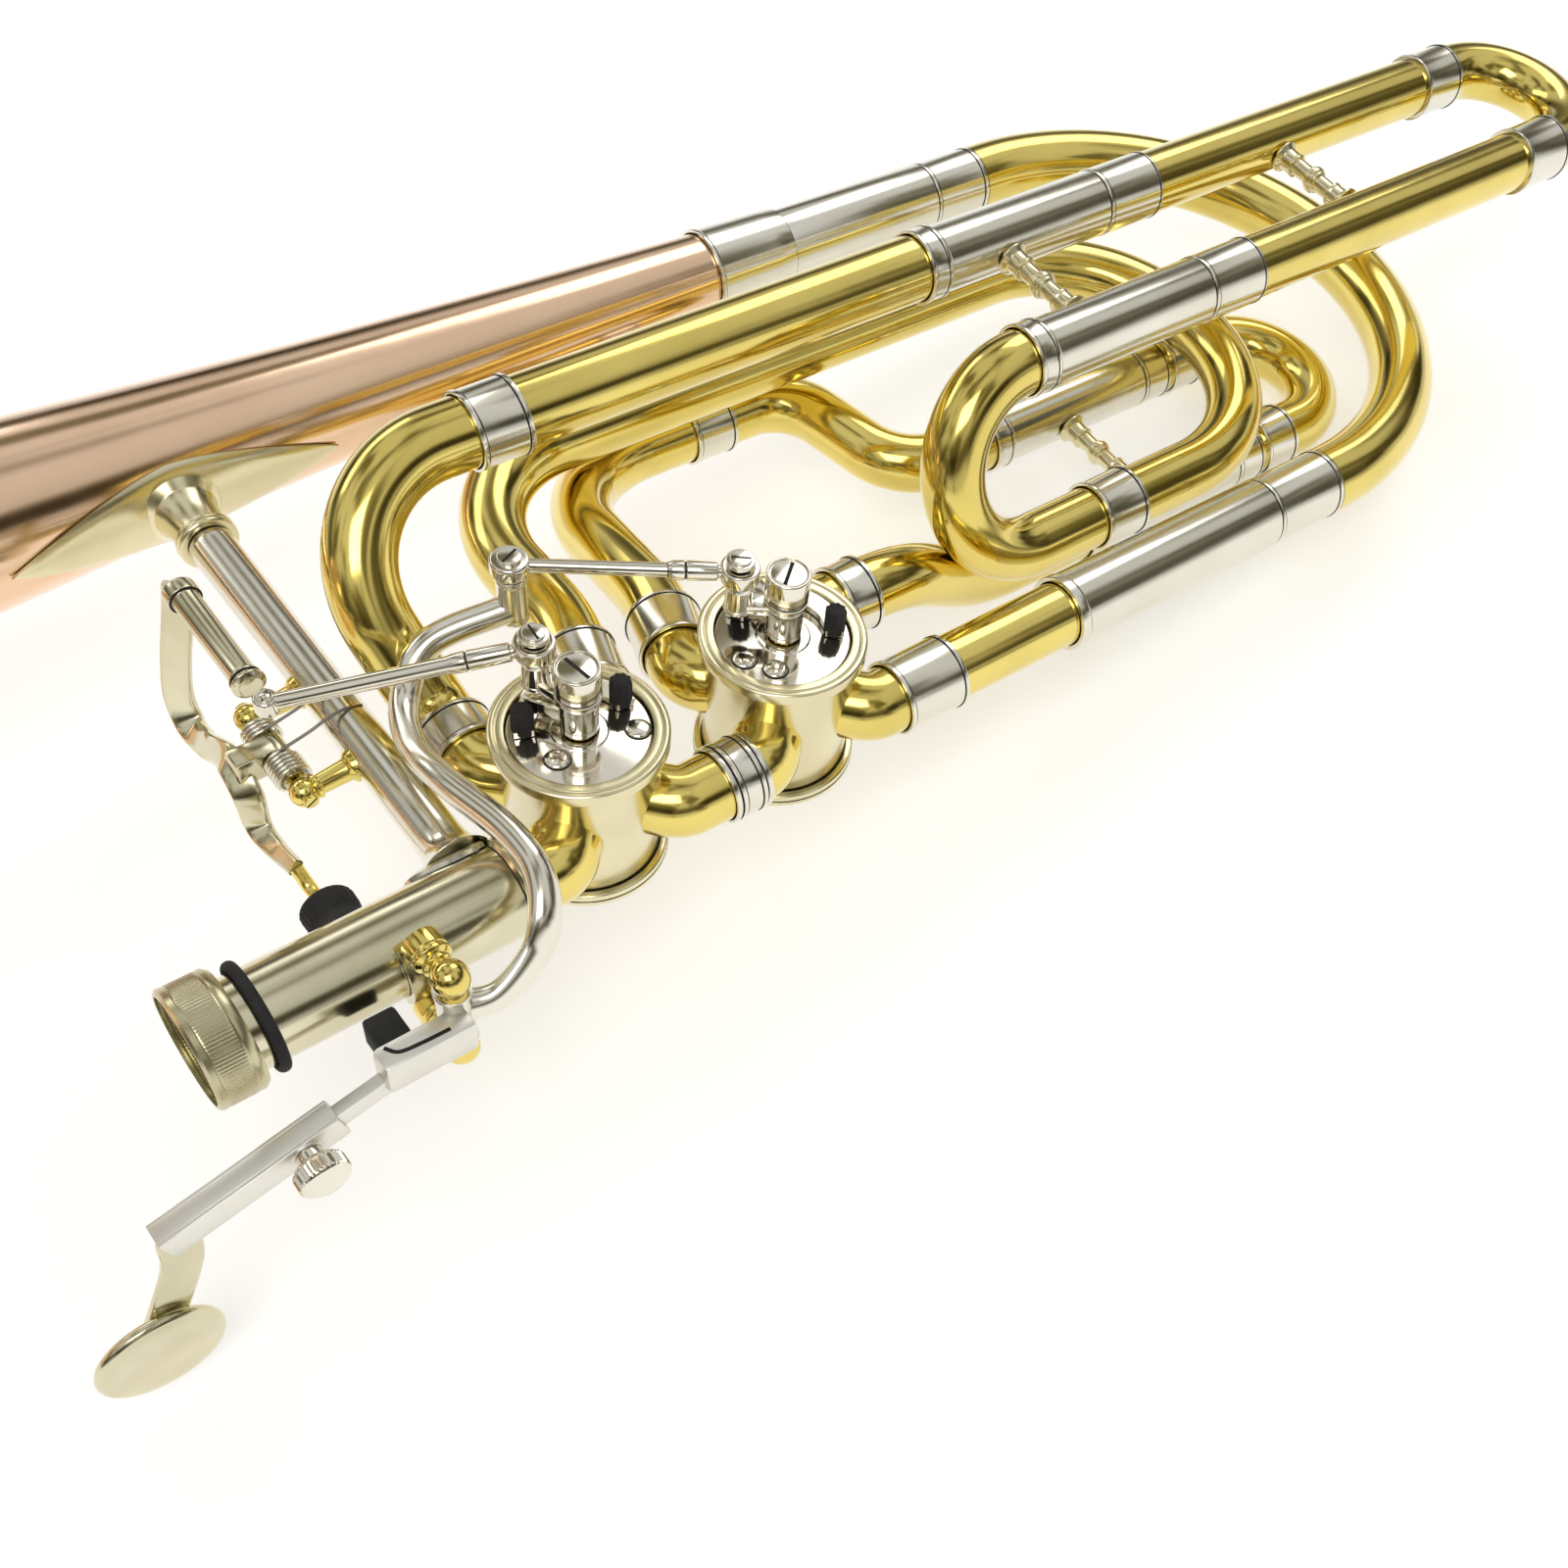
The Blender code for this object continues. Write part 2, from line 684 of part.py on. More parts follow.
def make_valve(number, valve_x, knuckles):
    name = f"valve_{number}_"
    at = (valve_x, PORT_OFFSET, 0)
    up = (0, 0, 1)
    flange_bottom = CASE_TOP - FLANGE_THICK
    outer = [
        (CASE_BOTTOM, CASE_RADIUS),
        (flange_bottom, CASE_RADIUS),
        (flange_bottom + 0.4, FLANGE_RADIUS),
        (CASE_TOP - 0.5, FLANGE_RADIUS),
        (CASE_TOP, FLANGE_RADIUS - 0.5),
    ]
    case = turned(name + "casing", plug(outer), "brass", at, up, solid=True)
    for port, corner, end in knuckles:
        path = knuckle_path(valve_x, port, corner, end)
        tube = rod(name + "knuckle", path, MAIN_TUBE_RADIUS, "brass", PIPE_RINGS)
        joined(case, tube)
    bore = CASE_RADIUS - CASE_WALL
    hole = LOWER_SPINDLE_RADIUS + CLEAR
    chamber = [
        (CASE_BOTTOM - 1.0, hole),
        (CASE_WEB, hole),
        (CASE_WEB, bore),
        (CASE_TOP + 1.0, bore),
    ]
    cut(case, turned(name + "chamber", plug(chamber), "brass", at, up, solid=True))
    for port, corner, end in knuckles:
        path = knuckle_path(valve_x, port, corner, end)
        beyond = path[-1] + (path[-1] - path[-2]).normalized()
        path = path[:-1] + [beyond]
        cut(case, rod(name + "port", path, PORT_RADIUS, "brass", PIPE_RINGS))

    cap_rim = CASE_BOTTOM + 1.0
    seat = CASE_BOTTOM - CLEAR
    inside = CAP_BOTTOM + CAP_FLOOR
    recess = bore - 1.0
    cap = [
        (0.0, inside),
        (recess, inside),
        (recess, seat),
        (CASE_RADIUS + CLEAR, seat),
        (CASE_RADIUS + CLEAR, cap_rim),
        (FLANGE_RADIUS, cap_rim),
        (FLANGE_RADIUS, CAP_BOTTOM + 0.6),
        (FLANGE_RADIUS - 0.6, CAP_BOTTOM),
        (0.0, CAP_BOTTOM),
    ]
    turned(name + "cap", cap, "brass", at, up, solid=True)

    plate_bottom = PLATE_TOP - PLATE_THICK
    plate_radius = bore - CLEAR
    hole = SPINDLE_RADIUS + CLEAR
    plate = turned(
        name + "bearing_plate",
        sleeve(
            [(plate_bottom, plate_radius), (PLATE_TOP, plate_radius)],
            [(plate_bottom, hole), (PLATE_TOP, hole)],
        ),
        "brass",
        at,
        up,
    )
    for angle, orbit in PLATE_HOLES[number]:
        x = valve_x + orbit * math.cos(math.radians(angle))
        y = PORT_OFFSET + orbit * math.sin(math.radians(angle))
        path = [(x, y, plate_bottom - 1), (x, y, PLATE_TOP + 1)]
        cut(plate, rod(name + "hole", path, PLATE_HOLE_RADIUS, "brass"))

    body = bore - CLEAR
    body_top = plate_bottom - CLEAR
    rotor = turned(
        name + "rotor",
        plug(
            [
                (CAP_BOTTOM + CAP_FLOOR + CLEAR, LOWER_SPINDLE_RADIUS),
                (CASE_WEB + CLEAR, LOWER_SPINDLE_RADIUS),
                (CASE_WEB + CLEAR, body),
                (body_top, body),
                (body_top, SPINDLE_RADIUS),
                (SPINDLE_TOP, SPINDLE_RADIUS),
            ]
        ),
        "brass",
        at,
        up,
        solid=True,
    )
    for side in (-1, 1):
        centre = Vector((valve_x, PORT_OFFSET + side * PASSAGE_CENTRE, 0))
        path = []
        for i in range(-4, 5):
            turn = math.radians(13 * i)
            spot = Vector((math.sin(turn), -side * math.cos(turn), 0)) * PASSAGE_BEND
            path.append(centre + spot)
        cut(rotor, rod(name + "passage", path, PASSAGE_RADIUS, "brass", PIPE_RINGS))
    carry(rotor, VALVE_AXES[number])


def bar_from_axis(name, valve_x, angle, start, reach, width, bottom, thick):
    # A flat bar that runs out from a rotor's axis at an angle.
    half = width / 2
    low = (start, -half, bottom)
    high = (reach, half, bottom + thick)
    bar = box(name, low, high, "nickel")
    turn = Matrix.Rotation(math.radians(angle), 4, "Z")
    centre = Matrix.Translation(metres((valve_x, PORT_OFFSET, 0)))
    bar.matrix_world = centre @ turn @ Matrix.Translation(bar.location)
    return bar


def post_stations(bottom):
    # A post with a journal for a rod's eye under its head.
    eye_low = EYE_BOTTOM - EYE_PLAY
    eye_high = EYE_BOTTOM + EYE_THICK + EYE_PLAY
    return [
        (bottom, POST_RADIUS),
        (eye_low - POST_TAPER, POST_RADIUS),
        (eye_low, POST_SHOULDER),
        (eye_low, POST_JOURNAL),
        (eye_high, POST_JOURNAL),
        (eye_high, POST_RADIUS),
        (eye_high + POST_HEAD_THICK, POST_RADIUS),
    ]


def orbit_point(valve_x, angle, orbit):
    turn = math.radians(angle)
    return (valve_x + orbit * math.cos(turn), PORT_OFFSET + orbit * math.sin(turn))


def make_stop_arm(number, valve_x, post_angle, lug_angle):
    name = f"valve_{number}_"
    up = (0, 0, 1)
    hub = plug([(SPINDLE_TOP + CLEAR, HUB_RADIUS), (HUB_TOP, HUB_RADIUS)])
    at = (valve_x, PORT_OFFSET, 0)
    arm = turned(name + "stop_arm", hub, "nickel", at, up, solid=True)
    bar = bar_from_axis(
        name + "arm", valve_x, post_angle, 2.0, POST_ORBIT, ARM_WIDTH, ARM_BOTTOM, ARM_THICK
    )
    lug = bar_from_axis(
        name + "lug", valve_x, lug_angle, 2.0, LUG_REACH, LUG_WIDTH, LUG_BOTTOM, LUG_THICK
    )
    spot = (*orbit_point(valve_x, post_angle, POST_ORBIT), 0)
    profile = plug(post_stations(ARM_BOTTOM))
    post = turned(name + "post", profile, "nickel", spot, up, steps=12, solid=True)
    joined(arm, bar, lug, post)
    carry(arm, VALVE_AXES[number])

    # The bracket of the two bumpers is a piece of a ring that follows the casing.
    rest = lug_angle + BUMPER_SPREAD
    pressed = lug_angle - ROTOR_TURN - BUMPER_SPREAD
    bottom = PLATE_TOP + CLEAR
    top = bottom + BRACKET_THICK
    outline = []
    arc_steps = 12
    half_width = BUMPER_RADIUS
    for i in range(arc_steps + 1):
        angle = math.radians(pressed + (rest - pressed) * i / arc_steps)
        reach = BUMPER_ORBIT + half_width
        outline.append((reach * math.cos(angle), reach * math.sin(angle)))
    for i in reversed(range(arc_steps + 1)):
        angle = math.radians(pressed + (rest - pressed) * i / arc_steps)
        reach = BUMPER_ORBIT - half_width
        outline.append((reach * math.cos(angle), reach * math.sin(angle)))
    middle = (valve_x, PORT_OFFSET, (bottom + top) / 2)
    bracket = flat(name + "bumpers", outline, top - bottom, middle, "Z", "rubber")
    for angle in (rest, pressed):
        x, y = orbit_point(valve_x, angle, BUMPER_ORBIT)
        path = [(x, y, bottom), (x, y, BUMPER_TOP)]
        joined(bracket, rod(name + "bumper", path, BUMPER_RADIUS, "rubber", rings=4))


def make_link(name, valve_x, post_angle, far, far_shape, parent):
    # A rod from the eye on a stop arm's post to its far end.
    x, y = orbit_point(valve_x, post_angle, POST_ORBIT)
    eye_top = EYE_BOTTOM + EYE_THICK
    bore = POST_JOURNAL + POST_FIT
    rim = bore + EYE_WALL
    profile = sleeve([(EYE_BOTTOM, rim), (eye_top, rim)], [(EYE_BOTTOM, bore), (eye_top, bore)])
    eye = turned(name, profile, "nickel", (x, y, 0), (0, 0, 1), steps=16)
    start = Vector((x, y, (EYE_BOTTOM + eye_top) / 2))
    end = Vector(far)
    way = (end - start).normalized()
    thick_start = start + way * (rim + 0.4)
    thick_end = start + (end - start) * 0.32
    thick = rod(name + "_thick", [thick_start, thick_end], ROD_SLEEVE_RADIUS, "nickel")
    thin = rod(name + "_thin", [start + way * (rim - 0.3), end], ROD_RADIUS, "nickel")
    joined(eye, thick, thin, far_shape)
    carry(eye, parent)


def make_f_line():
    # The bend from the first rotor up to the long tube, and its ferrule at the rotor.
    out_corner, out_end = F_OUT_KNUCKLE
    bend_start = Vector(out_end) + Vector((0, CLEAR, 0))
    ferrule = MAIN_TUBE_RADIUS + CLEAR
    low = out_corner[1] + 3.5
    profile = sleeve(
        [(low, ferrule + WALL), (F_OUT_TURN_Y - 5.7, ferrule + WALL)],
        [(low, ferrule), (F_OUT_TURN_Y - 5.7, ferrule)],
    )
    turned("f_out_ferrule", profile, "nickel", (out_corner[0], 0, 0), (0, 1, 0))
    tube_start = F_BEND_FERRULE_X[0] + SOCKET_DEPTH + CLEAR
    path = filleted(
        [
            bend_start,
            (out_corner[0], F_OUT_TURN_Y, 0),
            (F_BEND_CORNER_X, F_UPPER_Y, F_Z),
            (tube_start - CLEAR, F_UPPER_Y, F_Z),
        ],
        [12.0, 28.0],
    )
    pipe("f_out_bend", path, LOOP_TUBE_RADIUS, THIN_WALL, "brass")

    bore = LOOP_TUBE_RADIUS - THIN_WALL
    socket_end = F_OUTER_X + SOCKET_DEPTH
    start, ferrule_end = F_BEND_FERRULE_X
    outer = [
        (start, FERRULE_RADIUS),
        (ferrule_end, FERRULE_RADIUS),
        (ferrule_end, LOOP_TUBE_RADIUS),
        (socket_end - CLEAR, LOOP_TUBE_RADIUS),
    ]
    inner = [
        (start, SOCKET_BORE),
        (tube_start, SOCKET_BORE),
        (tube_start, bore),
        (socket_end - CLEAR, bore),
    ]
    turned("f_long_tube", sleeve(outer, inner), "brass", (0, F_UPPER_Y, F_Z))

    outer_leg("f_outer_leg_upper", F_OUTER_X, F_LEG_END, (0, F_UPPER_Y, F_Z))
    outer_leg("f_outer_leg_lower", F_LOWER_OUTER_X, F_LEG_END, (0, F_LOWER_Y, F_Z))

    # The small bow turns down and back under the slide's lower leg.
    start = Vector((F_LOWER_OUTER_X + SOCKET_DEPTH - CLEAR, F_LOWER_Y, F_Z))
    arc = half_circle(
        (F_SMALL_BOW_X, F_LOWER_Y, F_Z), (F_SMALL_BOW_X, F_RETURN_Y, F_RETURN_Z), (-1, 0, 0)
    )
    joint = (F_SMALL_FERRULE_X[0] + F_SMALL_FERRULE_X[1]) / 2
    end = Vector((joint, F_RETURN_Y, F_RETURN_Z))
    pipe("f_small_bow", [start] + arc + [end], LOOP_TUBE_RADIUS, THIN_WALL, "brass")
    ring("f_small_bow_ferrule", F_SMALL_FERRULE_X, SOCKET_BORE, (0, F_RETURN_Y, F_RETURN_Z))

    corner, end = F_RETURN_KNUCKLE
    way = (Vector(end) - Vector(corner)).normalized()
    path = filleted(
        [
            (joint + CLEAR, F_RETURN_Y, F_RETURN_Z),
            (F_RETURN_FAR_X, F_RETURN_Y, F_RETURN_Z),
            (F_RETURN_FAR_X, F_RETURN_BACK_Y, 0),
            (21.0, F_RETURN_BACK_Y, 0),
            Vector(corner) + way * F_RETURN_LEAN,
            Vector(end) + way * CLEAR,
        ],
        [F_RETURN_BEND, F_RETURN_BEND, 34.0, 40.0],
    )
    pipe("f_return_bend", path, LOOP_TUBE_RADIUS, THIN_WALL, "brass")
    ring("f_return_ferrule", (6.0, 19.0), MAIN_TUBE_RADIUS + CLEAR, corner, way)


def outer_leg(name, start, end, at):
    # The outer tube of a tuning slide, with a socket for the tube that feeds it.
    bore = LOOP_INNER_RADIUS + CLEAR
    socket_end = start + SOCKET_DEPTH
    outer = [
        (start, FERRULE_RADIUS),
        (socket_end, FERRULE_RADIUS),
        (socket_end + 1.0, LOOP_OUTER_RADIUS),
        (end, LOOP_OUTER_RADIUS),
    ]
    inner = [
        (start, SOCKET_BORE),
        (socket_end, SOCKET_BORE),
        (socket_end + 1.0, bore),
        (end, bore),
    ]
    turned(name, sleeve(outer, inner), "nickel", at)


def ring(name, stations, bore, at, axis=(1, 0, 0)):
    low, high = stations
    outer = [(low, bore + WALL), (high, bore + WALL)]
    inner = [(low, bore), (high, bore)]
    turned(name, sleeve(outer, inner), "nickel", at, axis)


def slide_leg(name, ends, collar, tube_end, ferrule_end, at, parent):
    # An inner slide leg, its collar, the tube after it and the ferrule of its bow.
    leg_end, engaged = ends
    stop = leg_end + CLEAR
    outer = [
        (leg_end - engaged, LOOP_INNER_RADIUS),
        (stop, LOOP_INNER_RADIUS),
        (stop, LOOP_OUTER_RADIUS),
        (collar, LOOP_OUTER_RADIUS),
        (collar, LOOP_TUBE_RADIUS),
        (tube_end, LOOP_TUBE_RADIUS),
        (tube_end, FERRULE_RADIUS),
        (ferrule_end, FERRULE_RADIUS),
    ]
    bore = LOOP_INNER_RADIUS - THIN_WALL
    seat = ferrule_end - SOCKET_DEPTH
    inner = [
        (leg_end - engaged, bore),
        (seat, bore),
        (seat, SOCKET_BORE),
        (ferrule_end, SOCKET_BORE),
    ]
    carry(turned(name, sleeve(outer, inner), "brass", at), parent)


def stay(name, x, low, high, z, finish="nickel"):
    # A small turned brace between two tubes, with feet and a ring at its middle.
    middle = (low + high) / 2
    stations = [
        (low, STAY_FOOT),
        (low + 1.0, STAY_FOOT),
        (low + 3.2, STAY_RADIUS),
        (middle - 1.4, STAY_RADIUS),
        (middle - 1.0, STAY_RING),
        (middle + 1.0, STAY_RING),
        (middle + 1.4, STAY_RADIUS),
        (high - 3.2, STAY_RADIUS),
        (high - 1.0, STAY_FOOT),
        (high, STAY_FOOT),
    ]
    return turned(name, plug(stations), finish, (x, 0, z), (0, 1, 0), steps=12, solid=True)


def make_f_slide():
    ends = (F_LEG_END, F_ENGAGED)
    upper = (0, F_UPPER_Y, F_Z)
    lower = (0, F_LOWER_Y, F_Z)
    tube = F_TUBE_END
    slide_leg("f_slide_leg_upper", ends, F_COLLAR_END, tube, F_FERRULE_END, upper, F_SLIDE)
    slide_leg("f_slide_leg_lower", ends, F_COLLAR_END, tube, F_LOWER_FERRULE_END, lower, F_SLIDE)
    start = F_FERRULE_END - SOCKET_DEPTH + CLEAR
    lower_start = F_LOWER_FERRULE_END - SOCKET_DEPTH + CLEAR
    centre = F_LOWER_FERRULE_END + CLEAR
    arc = half_circle((centre, F_UPPER_Y, F_Z), (centre, F_LOWER_Y, F_Z), (1, 0, 0))
    first = Vector((start, F_UPPER_Y, F_Z))
    last = Vector((lower_start, F_LOWER_Y, F_Z))
    bow = pipe("f_slide_bow", [first] + arc + [last], LOOP_TUBE_RADIUS, THIN_WALL, "brass")
    carry(bow, F_SLIDE)
    reach = LOOP_TUBE_RADIUS + CLEAR
    span = (F_LOWER_Y + reach, F_UPPER_Y - reach)
    carry(stay("f_slide_brace", F_SLIDE_BRACE_X, *span, F_Z), F_SLIDE)
    reach = LOOP_OUTER_RADIUS + CLEAR
    stay("f_outer_brace", F_OUTER_BRACE_X, F_LOWER_Y + reach, F_UPPER_Y - reach, F_Z)


def make_gb_line():
    corner, end = GB_OUT_KNUCKLE
    way = (Vector(end) - Vector(corner)).normalized()
    ring("gb_out_ferrule", (7.0, 20.0), MAIN_TUBE_RADIUS + CLEAR, corner, way)
    lean = Vector(corner) + way * GB_OUT_LEAN
    apex = Vector(GB_APEX)
    dip = Vector(GB_DIP)
    along = (dip - apex).normalized()
    join = apex + along * ((GB_JOIN_X - apex.x) / along.x)
    path = filleted([Vector(end) + way * CLEAR, lean, apex, join], GB_OUT_BENDS)
    pipe("gb_out_bend", path, LOOP_TUBE_RADIUS, THIN_WALL, "brass")

    # The next tube swells into a socket that holds the bend's end.
    swell = FERRULE_RADIUS / LOOP_TUBE_RADIUS
    socket_start = join - along * GB_JOIN_FERRULE
    socket_end = join + along * CLEAR
    body = filleted(
        [
            join + along * GB_JOIN_FERRULE,
            dip,
            (GB_S_CORNER_X, GB_UPPER_Y, GB_Z),
            (GB_OUTER_X + SOCKET_DEPTH - CLEAR, GB_UPPER_Y, GB_Z),
        ],
        [17.0, 17.0],
    )
    path = [socket_start, socket_end] + body
    factors = [swell, swell] + [1.0] * len(body)
    pipe("gb_s_bend", path, LOOP_TUBE_RADIUS, WALL, "brass", factors)

    outer_leg("gb_outer_leg_upper", GB_OUTER_X, GB_LEG_END, (0, GB_UPPER_Y, GB_Z))
    outer_leg("gb_outer_leg_lower", GB_OUTER_X, GB_LEG_END, (0, GB_LOWER_Y, GB_Z))

    corner, end = GB_RETURN_KNUCKLE
    path = filleted(
        [
            Vector(end) + Vector((CLEAR, 0, 0)),
            (GB_RETURN_TURN_X, corner[1], 0),
            (GB_RETURN_FOOT_X, GB_LOWER_Y, GB_Z),
            (GB_OUTER_X + SOCKET_DEPTH - CLEAR, GB_LOWER_Y, GB_Z),
        ],
        [40.0, 40.0],
    )
    pipe("gb_return_tube", path, LOOP_TUBE_RADIUS, THIN_WALL, "brass")
    ferrule = (end[0] - 5.0, end[0] + 4.0)
    ring("gb_return_ferrule", ferrule, MAIN_TUBE_RADIUS + CLEAR, (0, corner[1], 0))

    reach = LOOP_OUTER_RADIUS + CLEAR
    stay("gb_brace", GB_BRACE_X, GB_LOWER_Y + reach, GB_UPPER_Y - reach, GB_Z, "brass")


def make_gb_slide():
    ends = (GB_LEG_END, GB_ENGAGED)
    collar = GB_COLLAR_END
    for name, y in (("gb_slide_leg_upper", GB_UPPER_Y), ("gb_slide_leg_lower", GB_LOWER_Y)):
        slide_leg(name, ends, collar - 2.0, collar, GB_FERRULE_END, (0, y, GB_Z), GB_SLIDE)
    start = GB_FERRULE_END - SOCKET_DEPTH + CLEAR
    arc = half_circle((GB_BOW_X, GB_UPPER_Y, GB_Z), (GB_BOW_X, GB_LOWER_Y, GB_Z), (1, 0, 0))
    first = Vector((start, GB_UPPER_Y, GB_Z))
    last = Vector((start, GB_LOWER_Y, GB_Z))
    bow = pipe("gb_slide_bow", [first] + arc + [last], LOOP_TUBE_RADIUS, THIN_WALL, "brass")
    carry(bow, GB_SLIDE)


def make_cross_brace():
    # The foot is the part of a sleeve round the receiver tube that lies under an oval.
    seat = NECK_RADIUS + CLEAR
    low = BRACE_X - FOOT_HALF_LENGTH - 2
    high = min(BRACE_X + FOOT_HALF_LENGTH + 2, NECK_END_X - NECK_RING_WIDTH - CLEAR)
    rim = seat + FOOT_THICK
    profile = sleeve([(low, rim), (high, rim)], [(low, seat), (high, seat)])
    foot = turned("cross_brace", profile, "nickel")
    turns = [2 * math.pi * i / 20 for i in range(20)]
    oval = [
        (FOOT_HALF_LENGTH * math.cos(turn), FOOT_HALF_WIDTH * math.sin(turn)) for turn in turns
    ]
    reach = 2 * seat
    column = flat("brace_oval", oval, reach, (BRACE_X, reach / 2 + 1, 0), "Y", "nickel")
    boolean(foot, column, "INTERSECT")
    stations = [
        (seat - 2.0, BRACE_RADIUS + 1.6),
        (rim + 1.0, BRACE_RADIUS + 1.6),
        (rim + 6.0, BRACE_RADIUS),
        (BRACE_SHOULDER_Y - CLEAR, BRACE_RADIUS),
        (BRACE_SHOULDER_Y - CLEAR, BRACE_SPIGOT),
        (BRACE_END_Y, BRACE_SPIGOT),
    ]
    at = (BRACE_X, 0, 0)
    along = (0, 1, 0)
    joined(foot, turned("brace_rod", plug(stations), "nickel", at, along, solid=True))
    ring_seat = NECK_RING_RADIUS + CLEAR
    core = plug([(low - 10, seat), (high, seat), (high, ring_seat), (BRACE_X + 40, ring_seat)])
    for y in F_PIVOT_Y:
        root = Vector((BRACE_X, y, 0))
        tip = Vector((F_HINGE_X, y, F_HINGE_Z))
        joined(foot, rod("f_pivot_post", [root, tip], F_POST_RADIUS, "nickel"))
        joined(foot, ball("f_pivot", tip, BALL_RADIUS, "brass"))
    cut(foot, turned("brace_seat", core, "nickel", solid=True))

    low = BRACE_X - DIAMOND_HALF_LENGTH - 2
    high = BRACE_X + DIAMOND_HALF_LENGTH + 2
    steps = 8
    stations = [low + (high - low) * i / steps for i in range(steps + 1)]
    skin = [(x, flare(x) + CLEAR + FOOT_THICK) for x in stations]
    under = [(x, flare(x) + CLEAR) for x in stations]
    at_bell = (0, BELL_Y, 0)
    profile = sleeve(skin, under)
    flange = turned("bell_flange", profile, "nickel", at_bell, steps=BELL_STEPS)
    side = 0.42
    diamond = [
        (-DIAMOND_HALF_LENGTH, 0),
        (-DIAMOND_HALF_LENGTH * side, DIAMOND_HALF_WIDTH * 0.42),
        (0, DIAMOND_HALF_WIDTH),
        (DIAMOND_HALF_LENGTH * side, DIAMOND_HALF_WIDTH * 0.42),
        (DIAMOND_HALF_LENGTH, 0),
        (DIAMOND_HALF_LENGTH * side, -DIAMOND_HALF_WIDTH * 0.42),
        (0, -DIAMOND_HALF_WIDTH),
        (-DIAMOND_HALF_LENGTH * side, -DIAMOND_HALF_WIDTH * 0.42),
    ]
    reach = 30.0
    middle = (BRACE_X, BELL_Y - reach / 2 - 2, 0)
    boolean(flange, flat("diamond", diamond, reach, middle, "Y", "nickel"), "INTERSECT")
    start = BRACE_SHOULDER_Y
    stations = [
        (start, BRACE_COLLAR),
        (start + 2.6, BRACE_COLLAR),
        (start + 3.0, BRACE_SOCKET_RADIUS),
        (BELL_Y - 10, BRACE_SOCKET_RADIUS + 0.8),
    ]
    joined(flange, turned("socket", plug(stations), "nickel", at, along, solid=True))
    core = [(low - 5, flare(low) + CLEAR)] + under[1:-1] + [(high + 5, flare(high) + CLEAR)]
    core = turned("flange_seat", plug(core), "nickel", at_bell, steps=BELL_STEPS, solid=True)
    bore = [(start - 1, BRACE_SPIGOT + CLEAR), (BRACE_END_Y + CLEAR, BRACE_SPIGOT + CLEAR)]
    cut(flange, core, turned("socket_bore", plug(bore), "nickel", at, along, solid=True))


def band(points, half_width):
    # The outline of a strip of constant width along a path in a plane.
    points = [Vector(point) for point in points]
    left = []
    right = []
    for i, point in enumerate(points):
        before = points[max(i - 1, 0)]
        after = points[min(i + 1, len(points) - 1)]
        along = (after - before).normalized()
        across = Vector((-along.y, along.x)) * half_width
        left.append(tuple(point + across))
        right.append(tuple(point - across))
    return left + right[::-1]


def ribbon(name, path, half_width, thick, facing, finish):
    # A flat strip along a path, with its broad side turned as near as it can to facing.
    facing = Vector(facing)
    shape = bmesh.new()
    rings = []
    for i, point in enumerate(path):
        before = path[max(i - 1, 0)]
        after = path[min(i + 1, len(path) - 1)]
        along = (after - before).normalized()
        across = along.cross(facing).normalized()
        out = across.cross(along)
        corners = ((-1, -1), (1, -1), (1, 1), (-1, 1))
        ring_points = [
            point + across * half_width * side + out * thick / 2 * face for side, face in corners
        ]
        rings.append([shape.verts.new(spot * MM) for spot in ring_points])
    for first, second in zip(rings, rings[1:]):
        for i in range(4):
            shape.faces.new((first[i], first[i - 1], second[i - 1], second[i]))
    shape.faces.new(rings[0])
    shape.faces.new(rings[-1][::-1])
    bmesh.ops.recalc_face_normals(shape, faces=shape.faces)
    mesh = bpy.data.meshes.new(name)
    shape.to_mesh(mesh)
    shape.free()
    return add_object(name, mesh, finish)


def smooth_path(points, steps):
    # A Catmull-Rom curve through the points.
    points = [Vector(point) for point in points]
    points = [2 * points[0] - points[1]] + points + [2 * points[-1] - points[-2]]
    path = []
    for a, b, c, d in zip(points, points[1:], points[2:], points[3:]):
        for i in range(steps):
            t = i / steps
            spot = 2 * b + (c - a) * t + (2 * a - 5 * b + 4 * c - d) * t**2
            path.append((spot + (3 * b - a - 3 * c + d) * t**3) / 2)
    path.append(points[-2])
    return path


